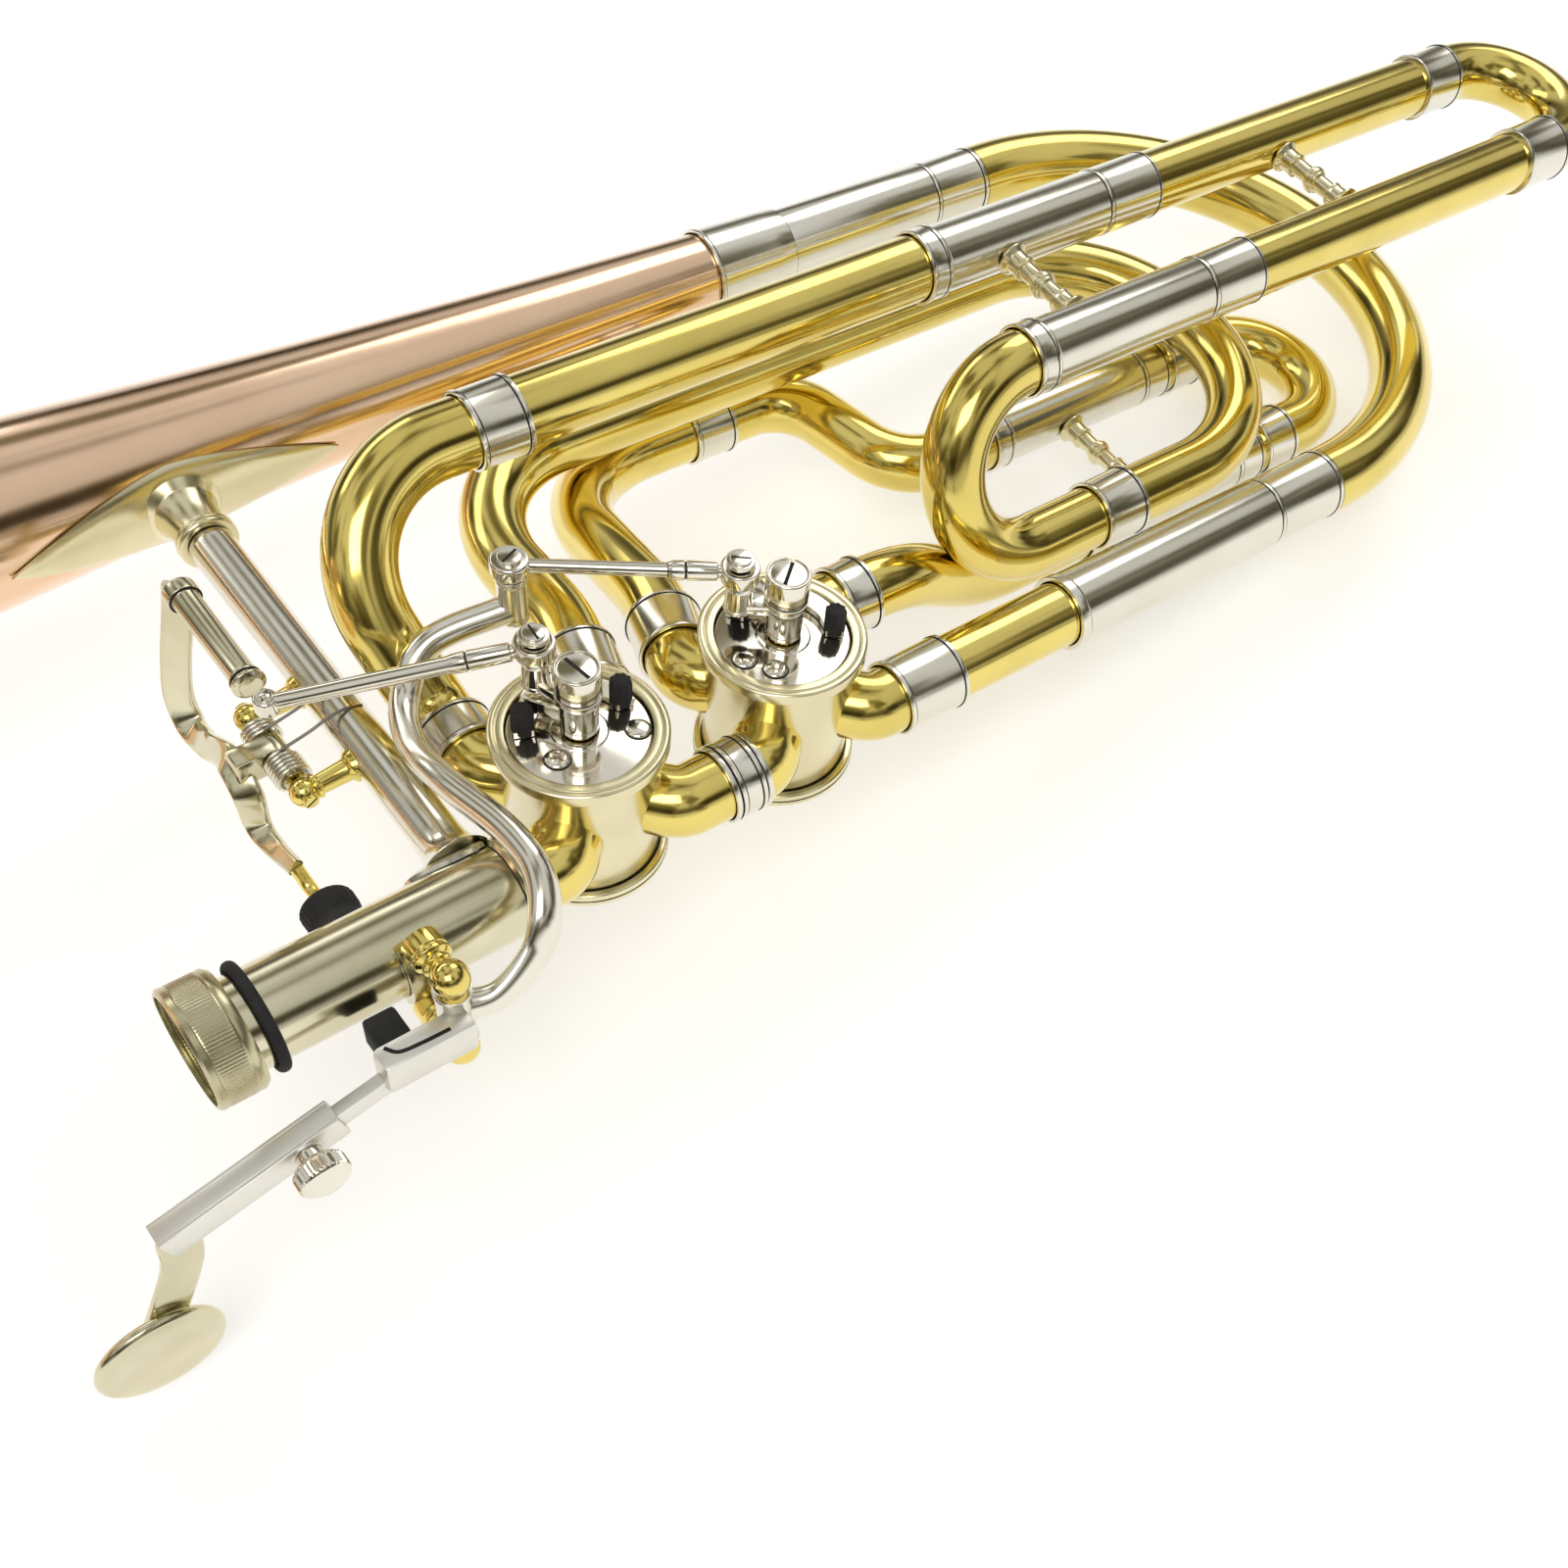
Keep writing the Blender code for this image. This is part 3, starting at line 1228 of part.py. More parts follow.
def make_f_lever():
    axis_at = (F_HINGE_X, 0, F_HINGE_Z)
    along = (0, 1, 0)
    low = F_PIVOT_Y[0] + BALL_RADIUS + CLEAR
    high = F_PIVOT_Y[1] - BALL_RADIUS - CLEAR
    tube = plug([(low, F_HINGE_RADIUS), (high, F_HINGE_RADIUS)])
    lever = turned("f_lever", tube, "nickel", axis_at, along, steps=12, solid=True)
    block = box(
        "f_block",
        (F_STRIP[6][0] - 1.0, F_BLOCK_Y[0], F_HINGE_Z - F_HINGE_RADIUS - 0.4),
        (F_HINGE_X, F_BLOCK_Y[1], F_HINGE_Z + F_HINGE_RADIUS + 0.4),
        "nickel",
    )
    start, end = F_BARREL_Y
    stations = [
        (start, F_BARREL_RADIUS),
        (start + 0.8, F_BARREL_RING),
        (start + 2.6, F_BARREL_RING),
        (start + 3.4, F_BARREL_RADIUS),
        (end - 2.0, F_BARREL_RADIUS),
        (end - 2.0, F_BARREL_RING),
        (end + 1.2, F_BARREL_RING),
    ]
    barrel_at = (F_BARREL_X, 0, F_BARREL_Z)
    barrel = turned("f_barrel", plug(stations), "nickel", barrel_at, along, steps=12, solid=True)
    spine = smooth_path(F_STRIP, 2)
    strip = ribbon(
        "f_strip", spine, F_STRIP_HALF_WIDTH, F_STRIP_THICK, F_STRIP_FACING, "nickel"
    )
    x, face, z = F_PAD
    pad_end = face + F_PAD_THICK
    knee = Vector((x - 0.3, pad_end + 5.0, z - 1.0))
    stem = rod("f_stem", [Vector(F_STRIP[-1]), knee, Vector((x, face + 2.0, z))], 1.7, "nickel")
    pad = plug([(face, F_PAD_RADIUS - 0.5), (face + 1.0, F_PAD_RADIUS), (pad_end, F_PAD_RADIUS)])
    pad = turned("f_pad", pad, "rubber", (x, 0, z), along, steps=16, solid=True)
    joined(lever, block, barrel, strip, stem, pad)
    carry(lever, F_LEVER)

    # The return spring winds round the hinge tube and its end lies on the cross brace.
    radius = F_HINGE_RADIUS + CLEAR + SPRING_WIRE
    pitch = 2 * SPRING_WIRE + CLEAR + 0.2
    start = F_BLOCK_Y[0] - CLEAR - SPRING_WIRE
    count = SPRING_TURNS * SPRING_POINTS
    over = BRACE_RADIUS + CLEAR + SPRING_WIRE + 0.1
    path = [Vector((BRACE_X, start, over)), Vector((BRACE_X - 3.0, start, over))]
    path.append(Vector((BRACE_X - 7.0, start, over - 1.5)))
    for i in range(count + 1):
        angle = math.pi / 2 + 2 * math.pi * i / SPRING_POINTS
        y = start - pitch * i / SPRING_POINTS
        x = F_HINGE_X + radius * math.cos(angle)
        path.append(Vector((x, y, F_HINGE_Z + radius * math.sin(angle))))
    spring = path_curve("f_lever_spring", path, SPRING_WIRE, "brass", caps=True, rings=1)
    least = least_gap(path, radius, SPRING_WIRE)
    print(f"f_lever_spring: least gap between turns {least:.2f} mm")
    return spring


def least_gap(path, radius, wire):
    # The closest that two turns of a coil come to each other, surface to surface.
    reach = 2 * math.pi * radius / 2
    found = math.inf
    for i, first in enumerate(path):
        run = 0.0
        for before, after in zip(path[i:], path[i + 1 :]):
            run += (after - before).length
            if run > reach:
                found = min(found, (after - first).length - 2 * wire)
    return found


def make_gb_lever():
    low, high = GB_HINGE_Z
    up = (0, 0, 1)
    hinge_at = (GB_HINGE_X, GB_HINGE_Y, 0)
    tube = plug([(low, GB_HINGE_RADIUS), (high, GB_HINGE_RADIUS)])
    lever = turned("gb_lever", tube, "nickel", hinge_at, up, steps=16, solid=True)
    spine = smooth_path(GB_ARM, 4)
    arm = rod("gb_arm", spine, GB_ROD_RADIUS, "nickel")
    x, y = GB_POST
    foot = GB_ARM[-1][2] - GB_ROD_RADIUS
    stations = [(foot, POST_RADIUS), (EYE_BOTTOM - EYE_PLAY, POST_RADIUS)]
    post = turned("gb_post", plug(stations), "nickel", (x, y, 0), up, steps=12, solid=True)
    block_low = (GB_BAR_START[0] - 7.0, GB_BAR_Y - 3.2, -4.5)
    block_high = (GB_HINGE_X + 1.0, GB_BAR_Y + 3.2, 5.0)
    block = box("gb_block", block_low, block_high, "nickel")
    bar = sloped_box(
        "gb_bar", (0.0, -GB_BAR_HALF_THICK, -GB_BAR_HALF_WIDTH),
        (GB_BAR_LENGTH, GB_BAR_HALF_THICK, GB_BAR_HALF_WIDTH),
    )
    pad_low = (GB_PAD_X[0], GB_BAR_Y + 3.0, -4.0)
    pad_high = (GB_PAD_X[1], GB_PAD_Y, 4.0)
    pad = box("gb_pad", pad_low, pad_high, "rubber")
    joined(lever, arm, post, block, bar, pad)
    carry(lever, GB_LEVER)

    seat = NECK_RADIUS + CLEAR
    ear = GB_EAR_THICK + CLEAR
    saddle = box(
        "gb_lever_saddle",
        (GB_HINGE_X - 4.5, -seat - 3.0, low - ear),
        (GB_HINGE_X + 4.5, -6.5, high + ear),
        "brass",
    )
    for start in (low - ear, high + CLEAR):
        reach = (GB_HINGE_X - 3.4, GB_HINGE_Y - 3.2, start)
        tip = (GB_HINGE_X + 3.4, -seat - 2.0, start + GB_EAR_THICK)
        joined(saddle, box("gb_saddle_ear", reach, tip, "brass"))
    for z in (low - ear, high + ear):
        joined(saddle, ball("gb_ball", (GB_HINGE_X, GB_HINGE_Y, z), BALL_RADIUS, "brass"))
    core = plug([(GB_HINGE_X - 20, seat), (GB_HINGE_X + 20, seat)])
    cut(saddle, turned("gb_saddle_seat", core, "nickel", solid=True))

    # The paddle's arm is a sleeve that slides on the lever's bar, held by a thumbscrew.
    half_thick = GB_BAR_HALF_THICK + CLEAR
    half_width = GB_BAR_HALF_WIDTH + CLEAR
    wall = GB_SLEEVE_WALL
    end = GB_SLEEVE_START + GB_SLEEVE_LENGTH
    arm = sloped_box(
        "gb_paddle_arm",
        (GB_SLEEVE_START, -half_thick - wall, -half_width - wall),
        (end, half_thick + wall, half_width + wall),
    )
    hollow = sloped_box(
        "gb_sleeve_bore",
        (GB_SLEEVE_START - 1, -half_thick, -half_width),
        (end - 2.0, half_thick, half_width),
    )
    cut(arm, hollow)
    tip = bar_point(end - 3.5, 0.0)
    paddle_x, paddle_z = PADDLE_CENTRE
    outline = band(
        [(-tip.x, tip.z), (-(tip.x - 2.0), tip.z - 14.0), (-paddle_x, paddle_z)], 4.5
    )
    strip = flat("gb_strip", outline, 2.4, (0, GB_BAR_Y, 0), "Y", "nickel")
    near = GB_BAR_Y - 0.8
    stations = [
        (near - PADDLE_THICK, PADDLE_RADIUS - 0.7),
        (near - PADDLE_THICK + 0.7, PADDLE_RADIUS),
        (near, PADDLE_RADIUS),
    ]
    at = (paddle_x, 0, paddle_z)
    disc = turned("gb_disc", plug(stations), "nickel", at, (0, 1, 0), solid=True)
    screw_spot = bar_point(GB_SLEEVE_START + SCREW_AT, 0.0)
    face = GB_BAR_Y - half_thick - wall
    hole = plug([(face - 1, SCREW_SHANK_RADIUS + CLEAR), (GB_BAR_Y, SCREW_SHANK_RADIUS + CLEAR)])
    screw_at = (screw_spot.x, 0, screw_spot.z)
    joined(arm, strip, disc)
    cut(arm, turned("screw_hole", hole, "nickel", screw_at, (0, 1, 0), steps=12, solid=True))
    carry(arm, GB_PADDLE)

    head = face - CLEAR - SCREW_STAND_OFF
    stations = [
        (head - SCREW_HEAD_THICK, SCREW_HEAD_RADIUS - 0.6),
        (head - SCREW_HEAD_THICK + 0.6, SCREW_HEAD_RADIUS),
        (head - 0.6, SCREW_HEAD_RADIUS),
        (head, SCREW_HEAD_RADIUS - 0.6),
        (head, SCREW_COLLAR_RADIUS),
        (face - CLEAR, SCREW_COLLAR_RADIUS),
        (face - CLEAR, SCREW_SHANK_RADIUS),
        (GB_BAR_Y - half_thick, SCREW_SHANK_RADIUS),
    ]
    screw = turned(
        "gb_thumbscrew", plug(stations), "nickel", screw_at, (0, 1, 0), steps=16, solid=True
    )
    carry(screw, GB_SCREW)


def bar_frame():
    # The lever's bar: X runs down along it away from the hinge, and Y stays across.
    slope = math.radians(GB_BAR_SLOPE)
    along = Vector((-math.cos(slope), 0, -math.sin(slope)))
    side = Vector((0, 1, 0))
    top = along.cross(side)
    turn = Matrix((along, side, top)).transposed().to_4x4()
    x, z = GB_BAR_START
    return Matrix.Translation(metres((x, GB_BAR_Y, z))) @ turn


def bar_point(distance, height):
    return bar_frame() @ metres((distance, 0, height)) / MM


def sloped_box(name, low, high):
    made = box(name, low, high, "nickel")
    made.matrix_world = bar_frame() @ Matrix.Translation(made.location)
    return made


def carry(obj, axis):
    # Hangs a moving piece on its joint's empty without moving it.
    obj.parent = axis
    obj.location = obj.location - axis.location


def joint_axis(name, at):
    made = bpy.data.objects.new(name, None)
    PARTS.objects.link(made)
    made.empty_display_size = 10 * MM
    made.location = metres(at)
    return made


def solid_points():
    # Every corner of every piece, and the centre of the pieces' surface.
    bpy.context.view_layer.update()
    graph = bpy.context.evaluated_depsgraph_get()
    points = []
    moment = Vector()
    area = 0.0
    for obj in PARTS.objects:
        if obj.type == "EMPTY":
            continue
        shape = obj.evaluated_get(graph)
        mesh = shape.to_mesh()
        points.extend(obj.matrix_world @ vertex.co for vertex in mesh.vertices)
        for face in mesh.polygons:
            moment += (obj.matrix_world @ face.center) * face.area
            area += face.area
        shape.to_mesh_clear()
    return points, moment / area


def resting_face(points, centre):
    # The downward face of the hull that the weight falls inside.
    hull = bmesh.new()
    for point in points:
        hull.verts.new(point)
    bmesh.ops.convex_hull(hull, input=hull.verts)
    best = None
    for face in hull.faces:
        normal = face.normal
        if normal.dot(face.calc_center_median() - centre) < 0:
            normal = -normal
        if normal.z > -0.7:
            continue
        spots = [vert.co.copy() for vert in face.verts]
        middle = sum(spots, Vector()) / len(spots)
        foot = centre + normal * (middle - centre).dot(normal)
        sides = []
        for a, b in zip(spots, spots[1:] + spots[:1]):
            sides.append((b - a).cross(foot - a).dot(normal))
        if min(sides) >= 0 or max(sides) <= 0:
            height = (middle - centre).dot(normal)
            if best is None or height < best[0]:
                best = (height, normal.copy())
    hull.free()
    return best[1]


def lay_down(root):
    # Turns the instrument onto its resting face, with the bell still along X, and sets
    # it on the ground with the middle of its footprint at the origin.
    points, centre = solid_points()
    down = resting_face(points, centre)
    up = -down
    ahead = (Vector((1, 0, 0)) - up * up.x).normalized()
    side = up.cross(ahead)
    turn = Matrix((ahead, side, up))
    turned_points = [turn @ point for point in points]
    lows = Vector([min(point[i] for point in turned_points) for i in range(3)])
    highs = Vector([max(point[i] for point in turned_points) for i in range(3)])
    middle = (lows + highs) / 2
    root.matrix_world = Matrix.Translation((-middle.x, -middle.y, -lows.z)) @ turn.to_4x4()


ROOT = joint_axis("instrument", (0, 0, 0))
MAIN_SLIDE = joint_axis("main_slide_axis", (MAIN_LEG_END_VALVE, 0, 0))
F_SLIDE = joint_axis("f_slide_axis", (F_LEG_END, F_LOWER_Y, F_Z))
GB_SLIDE = joint_axis("gb_slide_axis", (GB_LEG_END, GB_LOWER_Y, GB_Z))
NUT_AXIS = joint_axis("nut_axis", (NUT_X[0], 0, 0))
VALVE_AXES = {
    1: joint_axis("valve_1_axis", (0, PORT_OFFSET, 0)),
    2: joint_axis("valve_2_axis", (VALVE_SPACING, PORT_OFFSET, 0)),
}
EYE_MIDDLE = EYE_BOTTOM + EYE_THICK / 2
ROD_AXES = {
    1: joint_axis("f_rod_axis", (*orbit_point(0, VALVE_1_POST, POST_ORBIT), EYE_MIDDLE)),
    2: joint_axis(
        "gb_rod_axis", (*orbit_point(VALVE_SPACING, VALVE_2_POST, POST_ORBIT), EYE_MIDDLE)
    ),
}
F_LEVER = joint_axis("f_lever_axis", (F_HINGE_X, F_PIVOT_Y[0], F_HINGE_Z))
GB_LEVER = joint_axis("gb_lever_axis", (GB_HINGE_X, GB_HINGE_Y, 0))
GB_PADDLE = joint_axis("gb_paddle_axis", bar_point(GB_SLEEVE_START, 0.0))
GB_SCREW = joint_axis("gb_screw_axis", bar_point(GB_SLEEVE_START + SCREW_AT, 0.0))

make_bell()
make_main_slide()
make_receiver()
valve_1_knuckles = [
    (225, *NECK_KNUCKLE),
    (315, *BRIDGE_KNUCKLE_1),
    (135, *F_OUT_KNUCKLE),
    (45, *F_RETURN_KNUCKLE),
]
valve_2_knuckles = [
    (225, *BRIDGE_KNUCKLE_2),
    (315, *BRANCH_KNUCKLE),
    (135, *GB_OUT_KNUCKLE),
    (45, *GB_RETURN_KNUCKLE),
]
make_valve(1, 0.0, valve_1_knuckles)
make_valve(2, VALVE_SPACING, valve_2_knuckles)
make_stop_arm(1, 0.0, VALVE_1_POST, VALVE_1_LUG)
make_stop_arm(2, VALVE_SPACING, VALVE_2_POST, VALVE_2_LUG)
ring("bridge_ferrule", (24.6, 34.4), MAIN_TUBE_RADIUS + CLEAR, (0, 0, 0))

branch_bore = MAIN_TUBE_RADIUS + CLEAR
branch_low, branch_high = BRANCH_FERRULE_X
branch_seat = BRANCH_KNUCKLE[1][0] + CLEAR
branch_outer = [
    (branch_low, branch_bore + WALL),
    (branch_high, branch_bore + WALL),
    (branch_high, MAIN_TUBE_RADIUS),
    (BRANCH_END_X, MAIN_TUBE_RADIUS),
]
branch_inner = [
    (branch_low, branch_bore),
    (branch_seat, branch_bore),
    (branch_seat, MAIN_TUBE_RADIUS - WALL),
    (BRANCH_END_X, MAIN_TUBE_RADIUS - WALL),
]
turned("main_branch_tube", sleeve(branch_outer, branch_inner), "brass")

make_f_line()
make_f_slide()
make_gb_line()
make_gb_slide()
make_cross_brace()
make_f_lever()
make_gb_lever()

f_end = ball("f_rod_end", F_LINK, F_LINK_BALL, "nickel")
make_link("f_rod", 0.0, VALVE_1_POST, F_LINK, f_end, ROD_AXES[1])
gb_far = (*GB_POST, EYE_BOTTOM + EYE_THICK / 2)
gb_end = turned(
    "gb_rod_end",
    plug([(EYE_BOTTOM, POST_RADIUS + 1.0), (EYE_BOTTOM + EYE_THICK, POST_RADIUS + 1.0)]),
    "nickel",
    (*GB_POST, 0),
    (0, 0, 1),
    steps=16,
    solid=True,
)
make_link("gb_rod", VALVE_SPACING, VALVE_2_POST, gb_far, gb_end, ROD_AXES[2])

for piece in list(PARTS.objects) + list(CUTTERS.objects):
    if piece is not ROOT and piece.parent is None:
        piece.parent = ROOT
for piece in PARTS.objects:
    if piece.type == "MESH":
        piece.data.shade_smooth()
lay_down(ROOT)
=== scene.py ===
import json
import math

import bmesh
import bpy
from mathutils import Matrix, Vector


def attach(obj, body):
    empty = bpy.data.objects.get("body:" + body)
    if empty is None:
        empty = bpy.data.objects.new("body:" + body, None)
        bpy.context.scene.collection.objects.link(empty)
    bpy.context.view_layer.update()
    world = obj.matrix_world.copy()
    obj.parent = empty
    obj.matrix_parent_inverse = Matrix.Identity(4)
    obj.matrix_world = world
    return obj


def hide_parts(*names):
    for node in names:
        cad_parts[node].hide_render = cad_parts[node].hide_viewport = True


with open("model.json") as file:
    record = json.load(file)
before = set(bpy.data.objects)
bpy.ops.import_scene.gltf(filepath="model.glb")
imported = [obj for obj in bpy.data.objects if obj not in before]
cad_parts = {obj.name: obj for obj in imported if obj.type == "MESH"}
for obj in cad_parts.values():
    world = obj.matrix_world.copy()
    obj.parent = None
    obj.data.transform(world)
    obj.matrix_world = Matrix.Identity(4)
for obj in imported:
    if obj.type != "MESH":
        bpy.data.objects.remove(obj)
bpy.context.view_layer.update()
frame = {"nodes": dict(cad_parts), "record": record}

# Instrument directions in mm (X down the bell from its rim, Y from the receiver to the bell,
# Z up the rotor spindles) to the metres of the frame, where the instrument lies down.
laidDown = Matrix((
    (0.9914833, 0.0127652, 0.1296066, -0.0098884),
    (0.0, 0.9951848, -0.0980174, -0.1198460),
    (-0.1302337, 0.0971826, 0.9867092, 0.0602489),
    (0.0, 0.0, 0.0, 1.0),
)) @ Matrix.Scale(0.001, 4)

gap = 0.3  # what the real pieces keep between them
grooveShadeFinish = 9  # faces with this number get painted shade, a near-black band for the shade in a groove or at a step, when their piece is made
grooveShadeReach = 0.18

tubing = {
    "wall": 0.6, "thinWall": 0.5,
    "main": 8.2, "loop": 8.1, "loopInner": 7.5, "loopOuter": 8.4,
    "socketBore": 8.4, "ferrule": 9.0, "socketDepth": 6.0,
    "mainInner": 8.5, "mainOuter": 9.4,
}


def softened(stations, reach, loop):
    # sharp corners of a turned profile become small curves that catch the light
    points = [Vector(station) for station in stations]
    result = []
    for i, corner in enumerate(points):
        if not loop and i in (0, len(points) - 1):
            result.append(corner)
            continue
        back = points[i - 1] - corner
        ahead = points[(i + 1) % len(points)] - corner
        if back.length < 0.001 or ahead.length < 0.001:
            continue
        if reach == 0 or math.pi - back.angle(ahead) < 0.3:
            result.append(corner)
            continue
        near = min(reach, 0.4 * back.length, 0.4 * ahead.length)
        start = corner + back.normalized() * near
        end = corner + ahead.normalized() * near
        for t in (0.0, 0.33, 0.67, 1.0):
            result.append((1 - t) ** 2 * start + 2 * t * (1 - t) * corner + t * t * end)
    return result


def addRings(shape, rings, finish, loop=False, dark=()):
    # skins a row of rings; a ring of one point is a pole, and dark lists the bands of painted groove shade
    made = [[shape.verts.new(point) for point in ring] for ring in rings]
    pairs = list(zip(made, made[1:])) + ([(made[-1], made[0])] if loop else [])
    for band, (low, high) in enumerate(pairs):
        count = max(len(low), len(high))
        for i in range(count):
            j = (i + 1) % count
            if len(low) == 1:
                corners = (low[0], high[j], high[i])
            elif len(high) == 1:
                corners = (low[i], low[j], high[0])
            else:
                corners = (low[i], low[j], high[j], high[i])
            face = shape.faces.new(corners)
            face.material_index = grooveShadeFinish if band in dark else finish
            face.smooth = True


def lathe(shape, stations, at=(0, 0, 0), axis=(1, 0, 0), finish=0, steps=64, loop=False,
          soften=0.22, ripple=None, seams=()):
    # (height, radius) stations turned about an axis; ripple moves a radius by angle and
    # height, and the listed line heights get dark bands of painted shade, for grooves and steps
    turn = Vector(axis).to_track_quat("Z", "Y").to_matrix()
    at = Vector(at)
    rings = []
    profile = softened(stations, soften, loop)
    middles = [(a.x + b.x) / 2 for a, b in zip(profile, profile[1:] + profile[:1])]
    dark = {i for i, x in enumerate(middles) if any(abs(x - seam) < grooveShadeReach for seam in seams)}
    for height, radius in profile:
        if radius < 0.001:
            rings.append([at + turn @ Vector((0, 0, height))])
            continue
        ring = []
        for i in range(steps):
            angle = 2 * math.pi * i / steps
            here = radius + (ripple(angle, height) if ripple else 0.0)
            spot = Vector((here * math.cos(angle), here * math.sin(angle), height))
            ring.append(at + turn @ spot)
        rings.append(ring)
    addRings(shape, rings, finish, loop, dark)


def sleeve(shape, outer, inner, at=(0, 0, 0), axis=(1, 0, 0), **more):
    lathe(shape, list(outer) + list(reversed(inner)), at, axis, loop=True, **more)


def plug(shape, outer, at=(0, 0, 0), axis=(1, 0, 0), **more):
    ends = [(outer[0][0], 0.0)] + list(outer) + [(outer[-1][0], 0.0)]
    lathe(shape, ends, at, axis, **more)


def carried(path):
    # directions along a path and a side vector that turns as little as it can
    ahead = []
    for i in range(len(path)):
        before = path[max(i - 1, 0)]
        after = path[min(i + 1, len(path) - 1)]
        ahead.append((after - before).normalized())
    side = ahead[0].orthogonal().normalized()
    sides = [side]
    for before, after in zip(ahead, ahead[1:]):
        side = before.rotation_difference(after) @ side
        sides.append((side - after * side.dot(after)).normalized())
    return ahead, sides


def sweep(shape, path, radius, finish=0, sides=40, factors=None, caps=True):
    path = [Vector(point) for point in path]
    ahead, across = carried(path)
    rings = []
    for i, point in enumerate(path):
        here = radius * (factors[i] if factors else 1.0)
        up = ahead[i].cross(across[i])
        turns = [2 * math.pi * j / sides for j in range(sides)]
        rings.append([point + (across[i] * math.cos(t) + up * math.sin(t)) * here for t in turns])
    if caps:
        rings = [[path[0]]] + rings + [[path[-1]]]
    addRings(shape, rings, finish)


def sweepStrip(shape, path, sizes, facing, finish=0, corner=0.35):
    # a strip of rounded section along a path: sizes are (width, thickness) at each point
    path = [Vector(point) for point in path]
    facing = Vector(facing)
    rings = []
    for i, point in enumerate(path):
        before = path[max(i - 1, 0)]
        after = path[min(i + 1, len(path) - 1)]
        along = (after - before).normalized()
        across = along.cross(facing).normalized()
        out = across.cross(along)
        width, thick = sizes[i] if isinstance(sizes, list) else sizes
        ring = []
        for j in range(32):
            turn = 2 * math.pi * j / 32
            c, s = math.cos(turn), math.sin(turn)
            a = math.copysign(abs(c) ** corner, c) * width / 2
            b = math.copysign(abs(s) ** corner, s) * thick / 2
            ring.append(point + across * a + out * b)
        rings.append(ring)
    addRings(shape, [[path[0]]] + rings + [[path[-1]]], finish)


def filleted(points, radii, step=4.0):
    # a path with its corners rounded
    points = [Vector(point) for point in points]
    path = [points[0]]
    for before, corner, after, radius in zip(points, points[1:], points[2:], radii):
        back = (before - corner).normalized()
        ahead = (after - corner).normalized()
        turn = math.pi - back.angle(ahead)
        centre = corner + (back + ahead).normalized() * (radius / math.cos(turn / 2))
        start = corner + back * radius * math.tan(turn / 2) - centre
        steps = max(3, round(math.degrees(turn) / step))
        for i in range(steps + 1):
            angle = turn * i / steps
            path.append(centre + start * math.cos(angle) - back * radius * math.sin(angle))
    path.append(points[-1])
    return path


def halfCircle(start, end, bulge, steps=44):
    start = Vector(start)
    end = Vector(end)
    middle = (start + end) / 2
    arm = start - middle
    out = Vector(bulge).normalized() * arm.length
    turns = [math.pi * i / steps for i in range(steps + 1)]
    return [middle + arm * math.cos(turn) + out * math.sin(turn) for turn in turns]


def smoothPath(points, steps):
    points = [Vector(point) for point in points]
    points = [2 * points[0] - points[1]] + points + [2 * points[-1] - points[-2]]
    path = []
    for a, b, c, d in zip(points, points[1:], points[2:], points[3:]):
        for i in range(steps):
            t = i / steps
            spot = 2 * b + (c - a) * t + (2 * a - 5 * b + 4 * c - d) * t**2
            path.append((spot + (3 * b - a - 3 * c + d) * t**3) / 2)
    path.append(points[-2])
    return path


def block(shape, low, high, place=None, finish=0, edge=0.4):
    # a block with bevelled edges
    before = set(shape.verts)
    bmesh.ops.create_cube(shape, size=1.0)
    verts = [vert for vert in shape.verts if vert not in before]
    size = [b - a for a, b in zip(low, high)]
    middle = Vector([(a + b) / 2 for a, b in zip(low, high)])
    bmesh.ops.scale(shape, vec=size, verts=verts)
    bmesh.ops.translate(shape, vec=middle, verts=verts)
    edges = list({line for vert in verts for line in vert.link_edges})
    if edge:
        made = bmesh.ops.bevel(
            shape, geom=edges, offset=edge, segments=2, affect="EDGES", profile=0.5
        )
        verts = made["verts"]
    faces = list({face for vert in verts for face in vert.link_faces})
    for face in faces:
        face.material_index = finish
        face.smooth = True
    if place:
        bmesh.ops.transform(shape, matrix=place, verts=verts)


def ball(shape, at, radius, finish=0):
    turns = [math.pi * i / 24 for i in range(25)]
    stations = [(-radius * math.cos(t), radius * math.sin(t)) for t in turns]
    lathe(shape, stations, at, (0, 0, 1), finish, steps=40, soften=0)


def screwHead(shape, at, axis, radius, finish, dark, turn=0.0, thick=0.5):
    # a flat screw head; its slot is a thin dark block set into the top, painted shade in place of a cut slot
    plug(shape, [(0, radius), (thick, radius)], at, axis, finish=finish, steps=40, soften=0.2)
    place = Matrix.Translation(Vector(at)) @ Vector(axis).to_track_quat("Z", "Y").to_matrix().to_4x4()
    place = place @ Matrix.Rotation(turn, 4, "Z")
    half = radius * 0.9
    width = max(0.22, radius * 0.11)
    block(shape, (-half, -width, thick - 0.3), (half, width, thick + 0.03), place, dark, edge=0)


